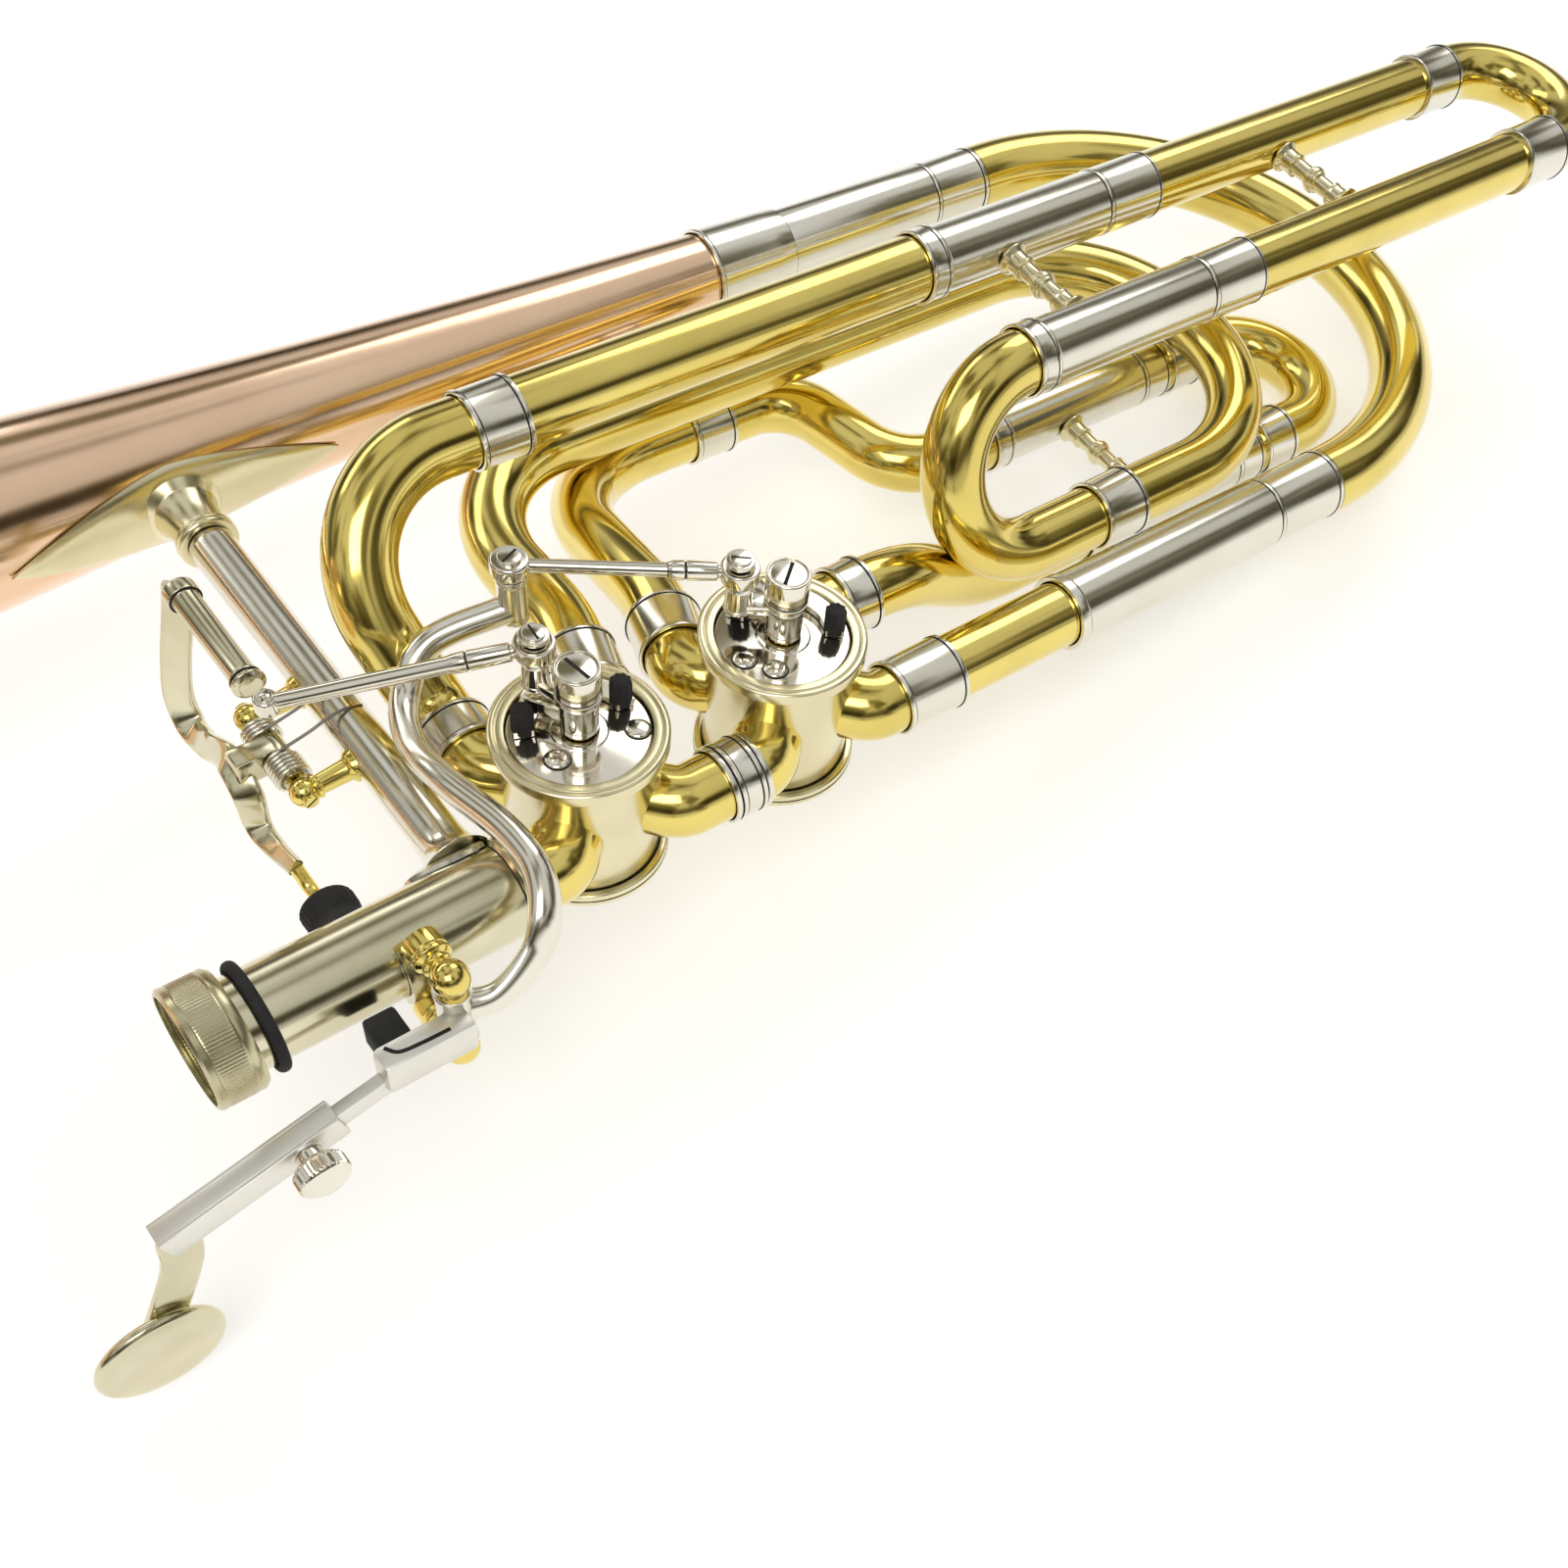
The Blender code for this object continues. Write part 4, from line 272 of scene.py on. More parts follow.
def makePiece(name, build, body, nodes, finishes):
    # one object for a piece: built in mm, laid down, given its finishes and its body
    shape = bmesh.new()
    build(shape)
    # faces marked with painted groove shade take the near-black shade material
    shadedFaces = [face for face in shape.faces if face.material_index == grooveShadeFinish]
    for face in shadedFaces:
        face.material_index = len(finishes)
    bmesh.ops.recalc_face_normals(shape, faces=shape.faces)
    mesh = bpy.data.meshes.new(name)
    shape.to_mesh(mesh)
    shape.free()
    mesh.transform(laidDown)
    mesh.set_sharp_from_angle(angle=math.radians(40))
    for finish in finishes + (["paintedRecessShade"] if shadedFaces else []):
        mesh.materials.append(materials[finish])
    piece = bpy.data.objects.new(name, mesh)
    bpy.context.scene.collection.objects.link(piece)
    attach(piece, body)
    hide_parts(*nodes)
    return piece



def addSocket(group, name, way, kind, value=None):
    made = group.interface.new_socket(name=name, in_out=way, socket_type=kind)
    if value is not None:
        made.default_value = value
    return made


def link(tree, source, target):
    tree.links.new(source, target)


def patinaGroup():
    # slow colour drift, fine smudges and a faint ripple, as on buffed and lacquered tube
    group = bpy.data.node_groups.new("buffedPatina", "ShaderNodeTree")
    addSocket(group, "Colour", "INPUT", "NodeSocketColor", (0.7, 0.5, 0.2, 1))
    addSocket(group, "Shade", "INPUT", "NodeSocketColor", (0.5, 0.35, 0.12, 1))
    addSocket(group, "Shade Amount", "INPUT", "NodeSocketFloat", 0.4)
    addSocket(group, "Drift Scale", "INPUT", "NodeSocketFloat", 28.0)
    addSocket(group, "Smudge Scale", "INPUT", "NodeSocketFloat", 160.0)
    addSocket(group, "Roughness", "INPUT", "NodeSocketFloat", 0.14)
    addSocket(group, "Smudge", "INPUT", "NodeSocketFloat", 0.08)
    addSocket(group, "Ripple", "INPUT", "NodeSocketFloat", 0.2)
    addSocket(group, "Colour", "OUTPUT", "NodeSocketColor")
    addSocket(group, "Roughness", "OUTPUT", "NodeSocketFloat")
    addSocket(group, "Height", "OUTPUT", "NodeSocketFloat")
    nodes = group.nodes
    inputs = nodes.new("NodeGroupInput")
    outputs = nodes.new("NodeGroupOutput")
    place = nodes.new("ShaderNodeTexCoord")

    drift = nodes.new("ShaderNodeTexNoise")
    drift.inputs["Detail"].default_value = 3.0
    link(group, place.outputs["Object"], drift.inputs["Vector"])
    link(group, inputs.outputs["Drift Scale"], drift.inputs["Scale"])
    spread = nodes.new("ShaderNodeMapRange")
    spread.inputs["From Min"].default_value = 0.35
    spread.inputs["From Max"].default_value = 0.7
    link(group, drift.outputs["Fac"], spread.inputs["Value"])
    amount = nodes.new("ShaderNodeMath")
    amount.operation = "MULTIPLY"
    link(group, spread.outputs["Result"], amount.inputs[0])
    link(group, inputs.outputs["Shade Amount"], amount.inputs[1])
    mix = nodes.new("ShaderNodeMix")
    mix.data_type = "RGBA"
    link(group, amount.outputs["Value"], mix.inputs["Factor"])
    link(group, inputs.outputs["Colour"], mix.inputs["A"])
    link(group, inputs.outputs["Shade"], mix.inputs["B"])
    link(group, mix.outputs["Result"], outputs.inputs["Colour"])

    smudge = nodes.new("ShaderNodeTexNoise")
    smudge.inputs["Detail"].default_value = 6.0
    smudge.inputs["Roughness"].default_value = 0.65
    link(group, place.outputs["Object"], smudge.inputs["Vector"])
    link(group, inputs.outputs["Smudge Scale"], smudge.inputs["Scale"])
    rough = nodes.new("ShaderNodeMath")
    rough.operation = "MULTIPLY_ADD"
    link(group, smudge.outputs["Fac"], rough.inputs[0])
    link(group, inputs.outputs["Smudge"], rough.inputs[1])
    link(group, inputs.outputs["Roughness"], rough.inputs[2])
    link(group, rough.outputs["Value"], outputs.inputs["Roughness"])

    wave = nodes.new("ShaderNodeTexNoise")
    wave.inputs["Scale"].default_value = 55.0
    wave.inputs["Detail"].default_value = 1.0
    link(group, place.outputs["Object"], wave.inputs["Vector"])
    height = nodes.new("ShaderNodeMath")
    height.operation = "MULTIPLY"
    link(group, wave.outputs["Fac"], height.inputs[0])
    link(group, inputs.outputs["Ripple"], height.inputs[1])
    link(group, height.outputs["Value"], outputs.inputs["Height"])
    return group


patina = patinaGroup()

metalFinishes = {
    "lacqueredBrass": {
        "colour": (0.82, 0.66, 0.18), "shade": (0.60, 0.46, 0.09), "amount": 0.55,
        "drift": 30.0, "smudgeScale": 180.0, "rough": 0.10, "smudge": 0.07, "ripple": 0.35,
        "coat": 0.5, "slot": "yellow_brass",
    },
    "roseBrass": {
        "colour": (0.88, 0.62, 0.42), "shade": (0.72, 0.46, 0.28), "amount": 0.45,
        "drift": 22.0, "smudgeScale": 150.0, "rough": 0.12, "smudge": 0.07, "ripple": 0.3,
        "coat": 0.5, "slot": "rose_brass",
    },
    "paleBrass": {
        "colour": (0.80, 0.73, 0.48), "shade": (0.60, 0.53, 0.30), "amount": 0.45,
        "drift": 45.0, "smudgeScale": 240.0, "rough": 0.17, "smudge": 0.12, "ripple": 0.25,
        "coat": 0.3, "slot": "yellow_brass",
    },
    "nickelSilver": {
        "colour": (0.80, 0.77, 0.67), "shade": (0.64, 0.60, 0.48), "amount": 0.45,
        "drift": 38.0, "smudgeScale": 220.0, "rough": 0.13, "smudge": 0.09, "ripple": 0.25,
        "coat": 0.2, "slot": "nickel_silver",
    },
    "brightNickel": {
        "colour": (0.82, 0.78, 0.68), "shade": (0.62, 0.56, 0.43), "amount": 0.4,
        "drift": 50.0, "smudgeScale": 260.0, "rough": 0.07, "smudge": 0.06, "ripple": 0.2,
        "coat": 0.3, "slot": "nickel_silver",
    },
    "champagne": {
        "colour": (0.72, 0.67, 0.48), "shade": (0.46, 0.42, 0.24), "amount": 0.6,
        "drift": 42.0, "smudgeScale": 240.0, "rough": 0.12, "smudge": 0.1, "ripple": 0.3,
        "coat": 0.2, "slot": "nickel_silver",
    },
    "agedNickel": {
        "colour": (0.60, 0.55, 0.36), "shade": (0.34, 0.30, 0.15), "amount": 0.7,
        "drift": 60.0, "smudgeScale": 300.0, "rough": 0.2, "smudge": 0.14, "ripple": 0.2,
        "coat": 0.1, "slot": "nickel_silver",
    },
    "satinNickel": {
        "colour": (0.78, 0.76, 0.70), "shade": (0.66, 0.63, 0.54), "amount": 0.4,
        "drift": 60.0, "smudgeScale": 300.0, "rough": 0.34, "smudge": 0.12, "ripple": 0.2,
        "coat": 0.0, "slot": "nickel_silver",
    },
    "springWire": {
        "colour": (0.30, 0.29, 0.27), "shade": (0.18, 0.17, 0.15), "amount": 0.6,
        "drift": 90.0, "smudgeScale": 400.0, "rough": 0.25, "smudge": 0.12, "ripple": 0.1,
        "coat": 0.0, "slot": "yellow_brass",
    },
}


def metalFinish(name, values):
    made = bpy.data.materials.new(name)
    made.use_nodes = True
    tree = made.node_tree
    shader = tree.nodes["Principled BSDF"]
    shader.inputs["Metallic"].default_value = 1.0
    shader.inputs["Coat Weight"].default_value = values["coat"]
    shader.inputs["Coat Roughness"].default_value = 0.04
    wear = tree.nodes.new("ShaderNodeGroup")
    wear.node_tree = patina
    wear.inputs["Colour"].default_value = (*values["colour"], 1)
    wear.inputs["Shade"].default_value = (*values["shade"], 1)
    wear.inputs["Shade Amount"].default_value = values["amount"]
    wear.inputs["Drift Scale"].default_value = values["drift"]
    wear.inputs["Smudge Scale"].default_value = values["smudgeScale"]
    wear.inputs["Roughness"].default_value = values["rough"]
    wear.inputs["Smudge"].default_value = values["smudge"]
    wear.inputs["Ripple"].default_value = values["ripple"]
    link(tree, wear.outputs["Colour"], shader.inputs["Base Color"])
    link(tree, wear.outputs["Roughness"], shader.inputs["Roughness"])
    bump = tree.nodes.new("ShaderNodeBump")
    bump.inputs["Strength"].default_value = 0.35
    bump.inputs["Distance"].default_value = 0.001
    link(tree, wear.outputs["Height"], bump.inputs["Height"])
    link(tree, bump.outputs["Normal"], shader.inputs["Normal"])
    return made


# black rubber colours; the same near-black also paints shade in slots, grooves and steps and round screw heads
blackRubber = {"colour": (0.012, 0.012, 0.012), "shade": (0.03, 0.028, 0.026), "grain": 900.0}


def rubberAndShadeFinish(name, values, roughness):
    made = bpy.data.materials.new(name)
    made.use_nodes = True
    tree = made.node_tree
    shader = tree.nodes["Principled BSDF"]
    wear = tree.nodes.new("ShaderNodeGroup")
    wear.node_tree = patina
    wear.inputs["Colour"].default_value = (*values["colour"], 1)
    wear.inputs["Shade"].default_value = (*values["shade"], 1)
    wear.inputs["Shade Amount"].default_value = 0.8
    wear.inputs["Drift Scale"].default_value = 120.0
    wear.inputs["Smudge Scale"].default_value = values["grain"]
    wear.inputs["Roughness"].default_value = roughness
    wear.inputs["Smudge"].default_value = 0.2
    wear.inputs["Ripple"].default_value = 0.1
    link(tree, wear.outputs["Colour"], shader.inputs["Base Color"])
    link(tree, wear.outputs["Roughness"], shader.inputs["Roughness"])
    grain = tree.nodes.new("ShaderNodeTexNoise")
    grain.inputs["Scale"].default_value = values["grain"]
    place = tree.nodes.new("ShaderNodeTexCoord")
    link(tree, place.outputs["Object"], grain.inputs["Vector"])
    bump = tree.nodes.new("ShaderNodeBump")
    bump.inputs["Strength"].default_value = 0.4
    bump.inputs["Distance"].default_value = 0.0004
    link(tree, grain.outputs["Fac"], bump.inputs["Height"])
    link(tree, bump.outputs["Normal"], shader.inputs["Normal"])
    return made


materials = {name: metalFinish(name, values) for name, values in metalFinishes.items()}
materials["blackRubber"] = rubberAndShadeFinish("blackRubber", blackRubber, 0.72)
# painted shade: near-black matte put where shade falls in slots, grooves, steps and round screw heads
materials["paintedRecessShade"] = rubberAndShadeFinish("paintedRecessShade", blackRubber, 0.8)
print("finishes made")

# CAD pieces that stay in view take their finish on their own slots
recordFinish = {
    "yellow_brass": "lacqueredBrass", "rose_brass": "roseBrass",
    "nickel_silver": "nickelSilver", "rubber": "blackRubber",
}
for entry in frame["record"]["subparts"]:
    finish = materials[recordFinish[entry["material_slot"]]]
    solid = frame["nodes"][entry["node"]]
    for i in range(len(solid.material_slots)):
        solid.material_slots[i].material = finish
    if not solid.material_slots:
        solid.data.materials.append(finish)


# the bell and the main tuning slide share the bell's line
bell = {
    "y": 153.3, "rimX": -350.0, "rimRadius": 120.65, "bead": 1.8, "endX": 146.0,
    "throat": 9.6, "power": 0.75, "start": 53.0, "stations": 70, "steps": 160,
    "ferrule": (126.0, 152.4),
}


def flare(x):
    rim = bell["start"] ** -bell["power"]
    stem = (bell["endX"] - bell["rimX"] + bell["start"]) ** -bell["power"]
    scale = (bell["rimRadius"] - bell["throat"]) / (rim - stem)
    here = (x - bell["rimX"] + bell["start"]) ** -bell["power"]
    return bell["throat"] + scale * (here - stem)


def bellFlare(shape):
    last = bell["stations"] - 1
    length = bell["endX"] - bell["rimX"]
    stations = [bell["rimX"] + length * (i / last) ** 1.9 for i in range(last + 1)]
    inner = [(x, flare(x) - tubing["wall"]) for x in stations]
    outer = [(x, flare(x)) for x in stations if x > bell["rimX"] + 2.2]
    bead = []
    rim = bell["rimRadius"]
    for i in range(15):  # the edge is rolled over a wire
        turn = math.radians(200 - 250 * i / 14)
        bead.append((bell["rimX"] + bell["bead"] * math.cos(turn),
                     rim + bell["bead"] * math.sin(turn) * 0.95))
    sleeve(shape, bead + outer, inner, (0, bell["y"], 0), steps=bell["steps"], soften=0)


makePiece("bellFlare", bellFlare, "instrument", ["bell"], ["roseBrass"])

mainSlide = {
    "socketX": 128.1, "branchEnd": 133.7, "legEndValve": 200.3, "legEndBell": 205.0,
    "collarEnd": 224.5, "bowX": 229.0, "straight": 4.2, "engaged": 50.0,
    "collar": 9.0, "legWall": 0.5, "lip": 0.35,
}


def lipped(low, high, radius, lip=0.3, width=1.1):
    # a tube end with a small raised lip
    return [(low, radius + lip), (low + width, radius + lip), (low + width + 0.25, radius),
            (high - width - 0.25, radius), (high - width, radius + lip), (high, radius + lip)]


# the heights of painted shade lines in the grooves beside the two lips
def lipShadeLines(low, high, width=1.1):
    return (low + width + 0.12, high - width - 0.12)


def bellFerrule(shape):
    start, end = bell["ferrule"]
    bore = [(start, flare(start) + gap), (bell["endX"] + gap, bell["throat"] + gap),
            (end, tubing["mainOuter"] + gap)]
    skin = [(x, radius + tubing["wall"]) for x, radius in bore]
    skin[0] = (start, skin[0][1] + 0.3)
    skin.insert(1, (start + 1.0, skin[0][1]))
    skin.insert(2, (start + 1.4, skin[0][1] - 0.3))
    sleeve(shape, skin, bore, (0, bell["y"], 0), seams=(start + 1.2, end))


def outerLegBell(shape):
    start = bell["endX"] + 2 * gap
    end = mainSlide["legEndBell"]
    bore = tubing["mainInner"] + gap
    outer = [(start, tubing["mainOuter"]), (end, tubing["mainOuter"])]
    sleeve(shape, outer, [(start, bore), (end, bore)], (0, bell["y"], 0), soften=0.15,
           seams=(end,))


def outerLegValve(shape):
    start, end = mainSlide["socketX"], mainSlide["legEndValve"]
    seat = mainSlide["branchEnd"] + gap
    ring = tubing["main"] + gap + 2 * tubing["wall"]
    bore = tubing["mainInner"] + gap
    outer = [(start, ring), (start + 2.6, ring), (start + 3.0, tubing["mainOuter"]),
             (end, tubing["mainOuter"])]
    inner = [(start, tubing["main"] + gap), (seat, tubing["main"] + gap), (seat + 0.5, bore),
             (end, bore)]
    sleeve(shape, outer, inner, seams=(start + 2.8, end))


def innerLeg(y, legEnd):
    def build(shape):
        start = legEnd - mainSlide["engaged"]
        end = mainSlide["bowX"] - gap
        inside = tubing["mainInner"]
        bore = inside - mainSlide["legWall"]
        collar = mainSlide["collar"] + 0.2
        outer = [(start, inside), (legEnd + gap, inside), (legEnd + gap, collar + 0.2),
                 (legEnd + 1.3, collar + 0.2), (legEnd + 1.6, collar),
                 (mainSlide["collarEnd"] - 1.6, collar), (mainSlide["collarEnd"] - 1.3, collar + 0.2),
                 (mainSlide["collarEnd"], collar + 0.2), (mainSlide["collarEnd"], inside),
                 (end, inside)]
        sleeve(shape, outer, [(start, bore), (end, bore)], (0, y, 0), soften=0.15,
               seams=(legEnd + 1.45, mainSlide["collarEnd"] - 1.45))
    return build


def mainBow(shape):
    x = mainSlide["bowX"]
    arc = halfCircle((x, 0, 0), (x, bell["y"], 0), (1, 0, 0), 96)
    start = x - mainSlide["straight"]
    path = [Vector((start, 0, 0))] + arc + [Vector((start, bell["y"], 0))]
    sweep(shape, path, tubing["mainInner"] + gap + tubing["thinWall"], sides=56)


makePiece("bellFerruleSleeve", bellFerrule, "instrument", ["bell_ferrule"], ["nickelSilver"])
makePiece("mainOuterLegBell", outerLegBell, "instrument", ["main_outer_leg_bell"], ["nickelSilver"])
makePiece("mainOuterLegValve", outerLegValve, "instrument", ["main_outer_leg_valve"], ["nickelSilver"])
makePiece("mainInnerLegValve", innerLeg(0, mainSlide["legEndValve"]), "main_slide", ["main_slide_leg_valve"], ["nickelSilver"])
makePiece("mainInnerLegBell", innerLeg(bell["y"], mainSlide["legEndBell"]), "main_slide", ["main_slide_leg_bell"], ["nickelSilver"])
makePiece("mainSlideBow", mainBow, "main_slide", ["main_slide_bow"], ["lacqueredBrass"])
print("bell and main tuning slide made")

# the hand slide goes into this tube and its nut holds it
receiver = {
    "start": -96.0, "end": -24.0, "radius": 10.2, "socket": 6.3, "mouth": 8.6, "throat": 7.6,
    "depth": 46.0, "flange": (-93.6, -90.8), "flangeRadius": 11.6, "ring": 11.6, "ringWidth": 4.0,
}
nut = {
    "low": -98.3, "high": -87.7, "radius": 13.3, "thread": 12.0, "teeth": 108, "knurl": 0.12,
    "ringX": -84.0, "ringThick": 0.9, "ringHalf": 1.25,
}


def receiverTube(shape):
    low, high = receiver["flange"]
    mouth = receiver["mouth"] + tubing["wall"]
    ringStart = receiver["end"] - receiver["ringWidth"]
    outer = [(receiver["start"], mouth), (low, mouth), (low, receiver["flangeRadius"]),
             (high, receiver["flangeRadius"]), (high, receiver["radius"]),
             (ringStart, receiver["radius"]), (ringStart + 0.8, receiver["ring"] - 0.2),
             (ringStart + 1.7, receiver["ring"]), (ringStart + 2.0, receiver["ring"] - 0.5),
             (ringStart + 2.3, receiver["ring"]), (receiver["end"] - 0.8, receiver["ring"] - 0.2),
             (receiver["end"], receiver["radius"])]
    seat = receiver["end"] - receiver["socket"]
    inner = [(receiver["start"], receiver["mouth"]),
             (receiver["start"] + receiver["depth"], receiver["throat"]), (seat, receiver["throat"]),
             (seat, tubing["main"] + gap), (receiver["end"], tubing["main"] + gap)]
    sleeve(shape, outer, inner, steps=80, seams=(low, ringStart + 2.0, ringStart))


def nutKnurl(angle, height):
    # straight fine knurling between two plain bands, and a thread cut inside
    middle = (nut["low"] + 2.2, nut["high"] - 2.6)
    if middle[0] < height < middle[1]:
        return nut["knurl"] * math.cos(angle * nut["teeth"]) * 0.5
    return 0.0


def slideNut(shape):
    low, high = nut["low"], nut["high"]
    shoulder = receiver["flange"][1] + gap
    rows = [low + 2.1, low + 2.4, low + 3.8, low + 5.2, low + 6.6, high - 2.9, high - 2.55]
    outer = [(low, nut["radius"] - 0.6), (low + 0.6, nut["radius"]), (low + 1.7, nut["radius"]),
             (low + 1.9, nut["radius"] - 0.18)]
    outer += [(x, nut["radius"] - 0.08) for x in rows]
    outer += [(high - 2.3, nut["radius"] - 0.18), (high - 2.1, nut["radius"]),
              (high - 1.2, nut["radius"]), (high, nut["radius"] - 0.9)]
    inner = [(low, nut["thread"])]
    pitch = 0.8
    x = low + 0.6
    while x + pitch < shoulder:  # thread
        inner += [(x, nut["thread"]), (x + pitch / 2, nut["thread"] + 0.45)]
        x += pitch
    inner += [(shoulder, nut["thread"]), (shoulder, receiver["radius"] + gap),
              (high, receiver["radius"] + gap)]
    sleeve(shape, outer, inner, steps=nut["teeth"] * 4, soften=0, ripple=nutKnurl)


def rubberRing(shape):
    middle = receiver["radius"] + gap + nut["ringThick"]
    turns = [2 * math.pi * i / 20 for i in range(20)]
    loop = [(nut["ringX"] - nut["ringHalf"] * math.sin(t), middle + nut["ringThick"] * math.cos(t))
            for t in turns]
    lathe(shape, loop, loop=True, soften=0, steps=80)


makePiece("receiverTube", receiverTube, "instrument", ["neckpipe"], ["champagne"])
makePiece("slideNut", slideNut, "slide_nut", ["slide_nut"], ["agedNickel"])
makePiece("nutRubberRing", rubberRing, "instrument", ["nut_ring"], ["blackRubber"])
print("receiver made")

# both rotors stand in line, their tubes leave them at 45 degrees
valve = {
    "spacing": 53.2, "offset": 15.8, "radius": 17.2, "caseWall": 1.6, "bottom": -17.0, "top": 19.6,
    "flange": 19.2, "flangeThick": 3.6, "capBottom": -19.6, "plateThick": 3.4, "plateTop": 18.7,
    "spindle": 3.6, "reach": 13.5, "bend": 7.0, "plateScrew": 2.7,
    "holes": {1: ((209.0, 9.4), (329.0, 12.3)), 2: ((188.0, 11.9), (225.0, 10.7))},
}
knuckles = {
    1: ((225, (-15.7, 0, 0), (-30.0, 0, 0)), (315, (15.7, 0, 0), (29.3, 0, 0)),
        (135, (-15.7, 31.5, 0), (-15.7, 39.4, 0)), (45, (15.4, 31.2, 0), (18.3, 42.9, 0))),
    2: ((225, (37.5, 0, 0), (29.6, 0, 0)), (315, (68.9, 0, 0), (82.5, 0, 0)),
        (135, (38.0, 31.0, 0), (41.9, 43.3, -1.37)), (45, (68.9, 31.5, 0), (86.0, 31.5, 0))),
}
valveX = {1: 0.0, 2: valve["spacing"]}


def orbit(x, angle, reach):
    turn = math.radians(angle)
    return Vector((x + reach * math.cos(turn), valve["offset"] + reach * math.sin(turn), 0))


def casing(number):
    def build(shape):
        x = valveX[number]
        at = (x, valve["offset"], 0)
        bore = valve["radius"] - valve["caseWall"]
        flangeLow = valve["top"] - valve["flangeThick"]
        outer = [(valve["bottom"], valve["radius"]), (flangeLow, valve["radius"]),
                 (flangeLow + 0.6, valve["flange"]), (valve["top"] - 0.3, valve["flange"]),
                 (valve["top"], valve["flange"] - 0.5), (valve["top"], valve["flange"] - 1.3),
                 (valve["top"] - 0.3, valve["flange"] - 1.5), (valve["top"] - 0.05, valve["flange"] - 1.9),
                 (valve["top"] - 0.05, bore)]
        inner = [(valve["bottom"], bore), (valve["top"] - 4.5, bore)]
        sleeve(shape, outer, inner, at, (0, 0, 1), finish=1, steps=96, soften=0.15,
               seams=(flangeLow,))
        for port, corner, end in knuckles[number]:
            start = orbit(x, port, valve["reach"])
            path = filleted([start, corner, end], [valve["bend"]])
            sweep(shape, path, tubing["main"], finish=0, sides=48, caps=False)
            far = path[-1]
            sweep(shape, [far, far - (path[-1] - path[-2]).normalized() * 6], tubing["main"] - 0.7,
                  finish=0, sides=40, caps=False)
    return build


def cap(number):
    def build(shape):
        low = valve["capBottom"]
        rim = valve["bottom"] + 1.0
        reach = valve["radius"] + gap
        stations = [(low, 0.0), (low, 12.0), (low + 0.25, 12.4), (low + 0.25, 16.8), (low, 17.2),
                    (low, valve["flange"] - 0.5), (low + 0.5, valve["flange"]),
                    (low + 1.5, valve["flange"]), (low + 1.7, valve["flange"] - 0.45),
                    (low + 1.9, valve["flange"] - 0.1), (rim - 0.3, valve["flange"] - 0.1),
                    (rim, valve["flange"] - 0.5), (rim, reach), (valve["bottom"] - gap, reach)]
        lathe(shape, stations, (valveX[number], valve["offset"], 0), (0, 0, 1), steps=96, soften=0.1,
              seams=(low + 1.75,))
    return build


def bearingPlate(number):
    def build(shape):
        x = valveX[number]
        at = (x, valve["offset"], 0)
        low, high = valve["plateTop"] - valve["plateThick"], valve["plateTop"]
        reach = valve["radius"] - valve["caseWall"] - gap
        hole = valve["spindle"] + gap
        outer = [(low, reach), (high - 0.3, reach), (high, reach - 0.3), (high, 6.2),
                 (high + 0.25, 5.9), (high + 0.25, hole + 0.3)]
        sleeve(shape, outer, [(low, hole), (high + 0.25, hole)], at, (0, 0, 1), steps=96, soften=0.12)
        for angle, far in valve["holes"][number]:
            spot = orbit(x, angle, far)
            spot.z = high - 0.02
            r = valve["plateScrew"]
            # a thin near-black disc a little wider than each screw: painted shade round the screw head
            plug(shape, [(0, r + 0.3), (0.06, r + 0.3)], spot, (0, 0, 1), finish=1, steps=40, soften=0)
            plug(shape, [(0, r), (0.45, r), (0.8, r - 0.5), (0.95, r - 1.2)], spot, (0, 0, 1),
                 finish=0, steps=40)
    return build


for number in (1, 2):
    label = f"valve_{number}_"
    makePiece(f"valveCasing{number}", casing(number), "instrument", [label + "casing"],
              ["lacqueredBrass", "paleBrass"])
    makePiece(f"valveCap{number}", cap(number), "instrument", [label + "cap"], ["paleBrass"])
    makePiece(f"bearingPlate{number}", bearingPlate(number), "instrument", [label + "bearing_plate"],
              ["brightNickel", "paintedRecessShade"])
print("rotor valves made")

stopArm = {
    "hub": 4.1, "cup": 5.0, "cupLow": 29.9, "hubTop": 38.2, "hubLow": 19.8, "orbit": 10.5, "post": 3.3, "journal": 2.4,
    "eyeLow": 35.6, "eyeThick": 3.7, "play": 0.9, "shoulder": 2.7, "taper": 1.2, "head": 1.6, "armLow": 26.8, "armThick": 2.7,
    "armWidth": 5.0, "lugLow": 21.5, "lugThick": 4.0, "lugWidth": 4.0, "lugReach": 12.4,
    "postAngle": {1: 112.0, 2: 145.0}, "lugAngle": {1: 125.0, 2: 90.0}, "slotTurn": {1: 1.75, 2: 0.7},
}
bumper = {"radius": 2.6, "top": 26.2, "orbit": 11.6, "spread": 26.0, "plate": 1.7, "ribs": 9, "rib": 0.28}


def postProfile(low):
    eyeLow = stopArm["eyeLow"] - stopArm["play"]
    eyeHigh = stopArm["eyeLow"] + stopArm["eyeThick"] + stopArm["play"]
    r, journal = stopArm["post"], stopArm["journal"]
    neck = eyeLow - stopArm["taper"]
    return [(low, r), (low + 0.9, r), (low + 1.1, r - 0.25), (neck - 0.2, r - 0.25),
            (neck, r), (eyeLow, stopArm["shoulder"]), (eyeLow, journal), (eyeHigh, journal),
            (eyeHigh, r - 0.1), (eyeHigh + stopArm["head"] - 0.5, r - 0.1)]


def outwards(x, angle):
    return Matrix.Translation((x, valve["offset"], 0)) @ Matrix.Rotation(math.radians(angle), 4, "Z")


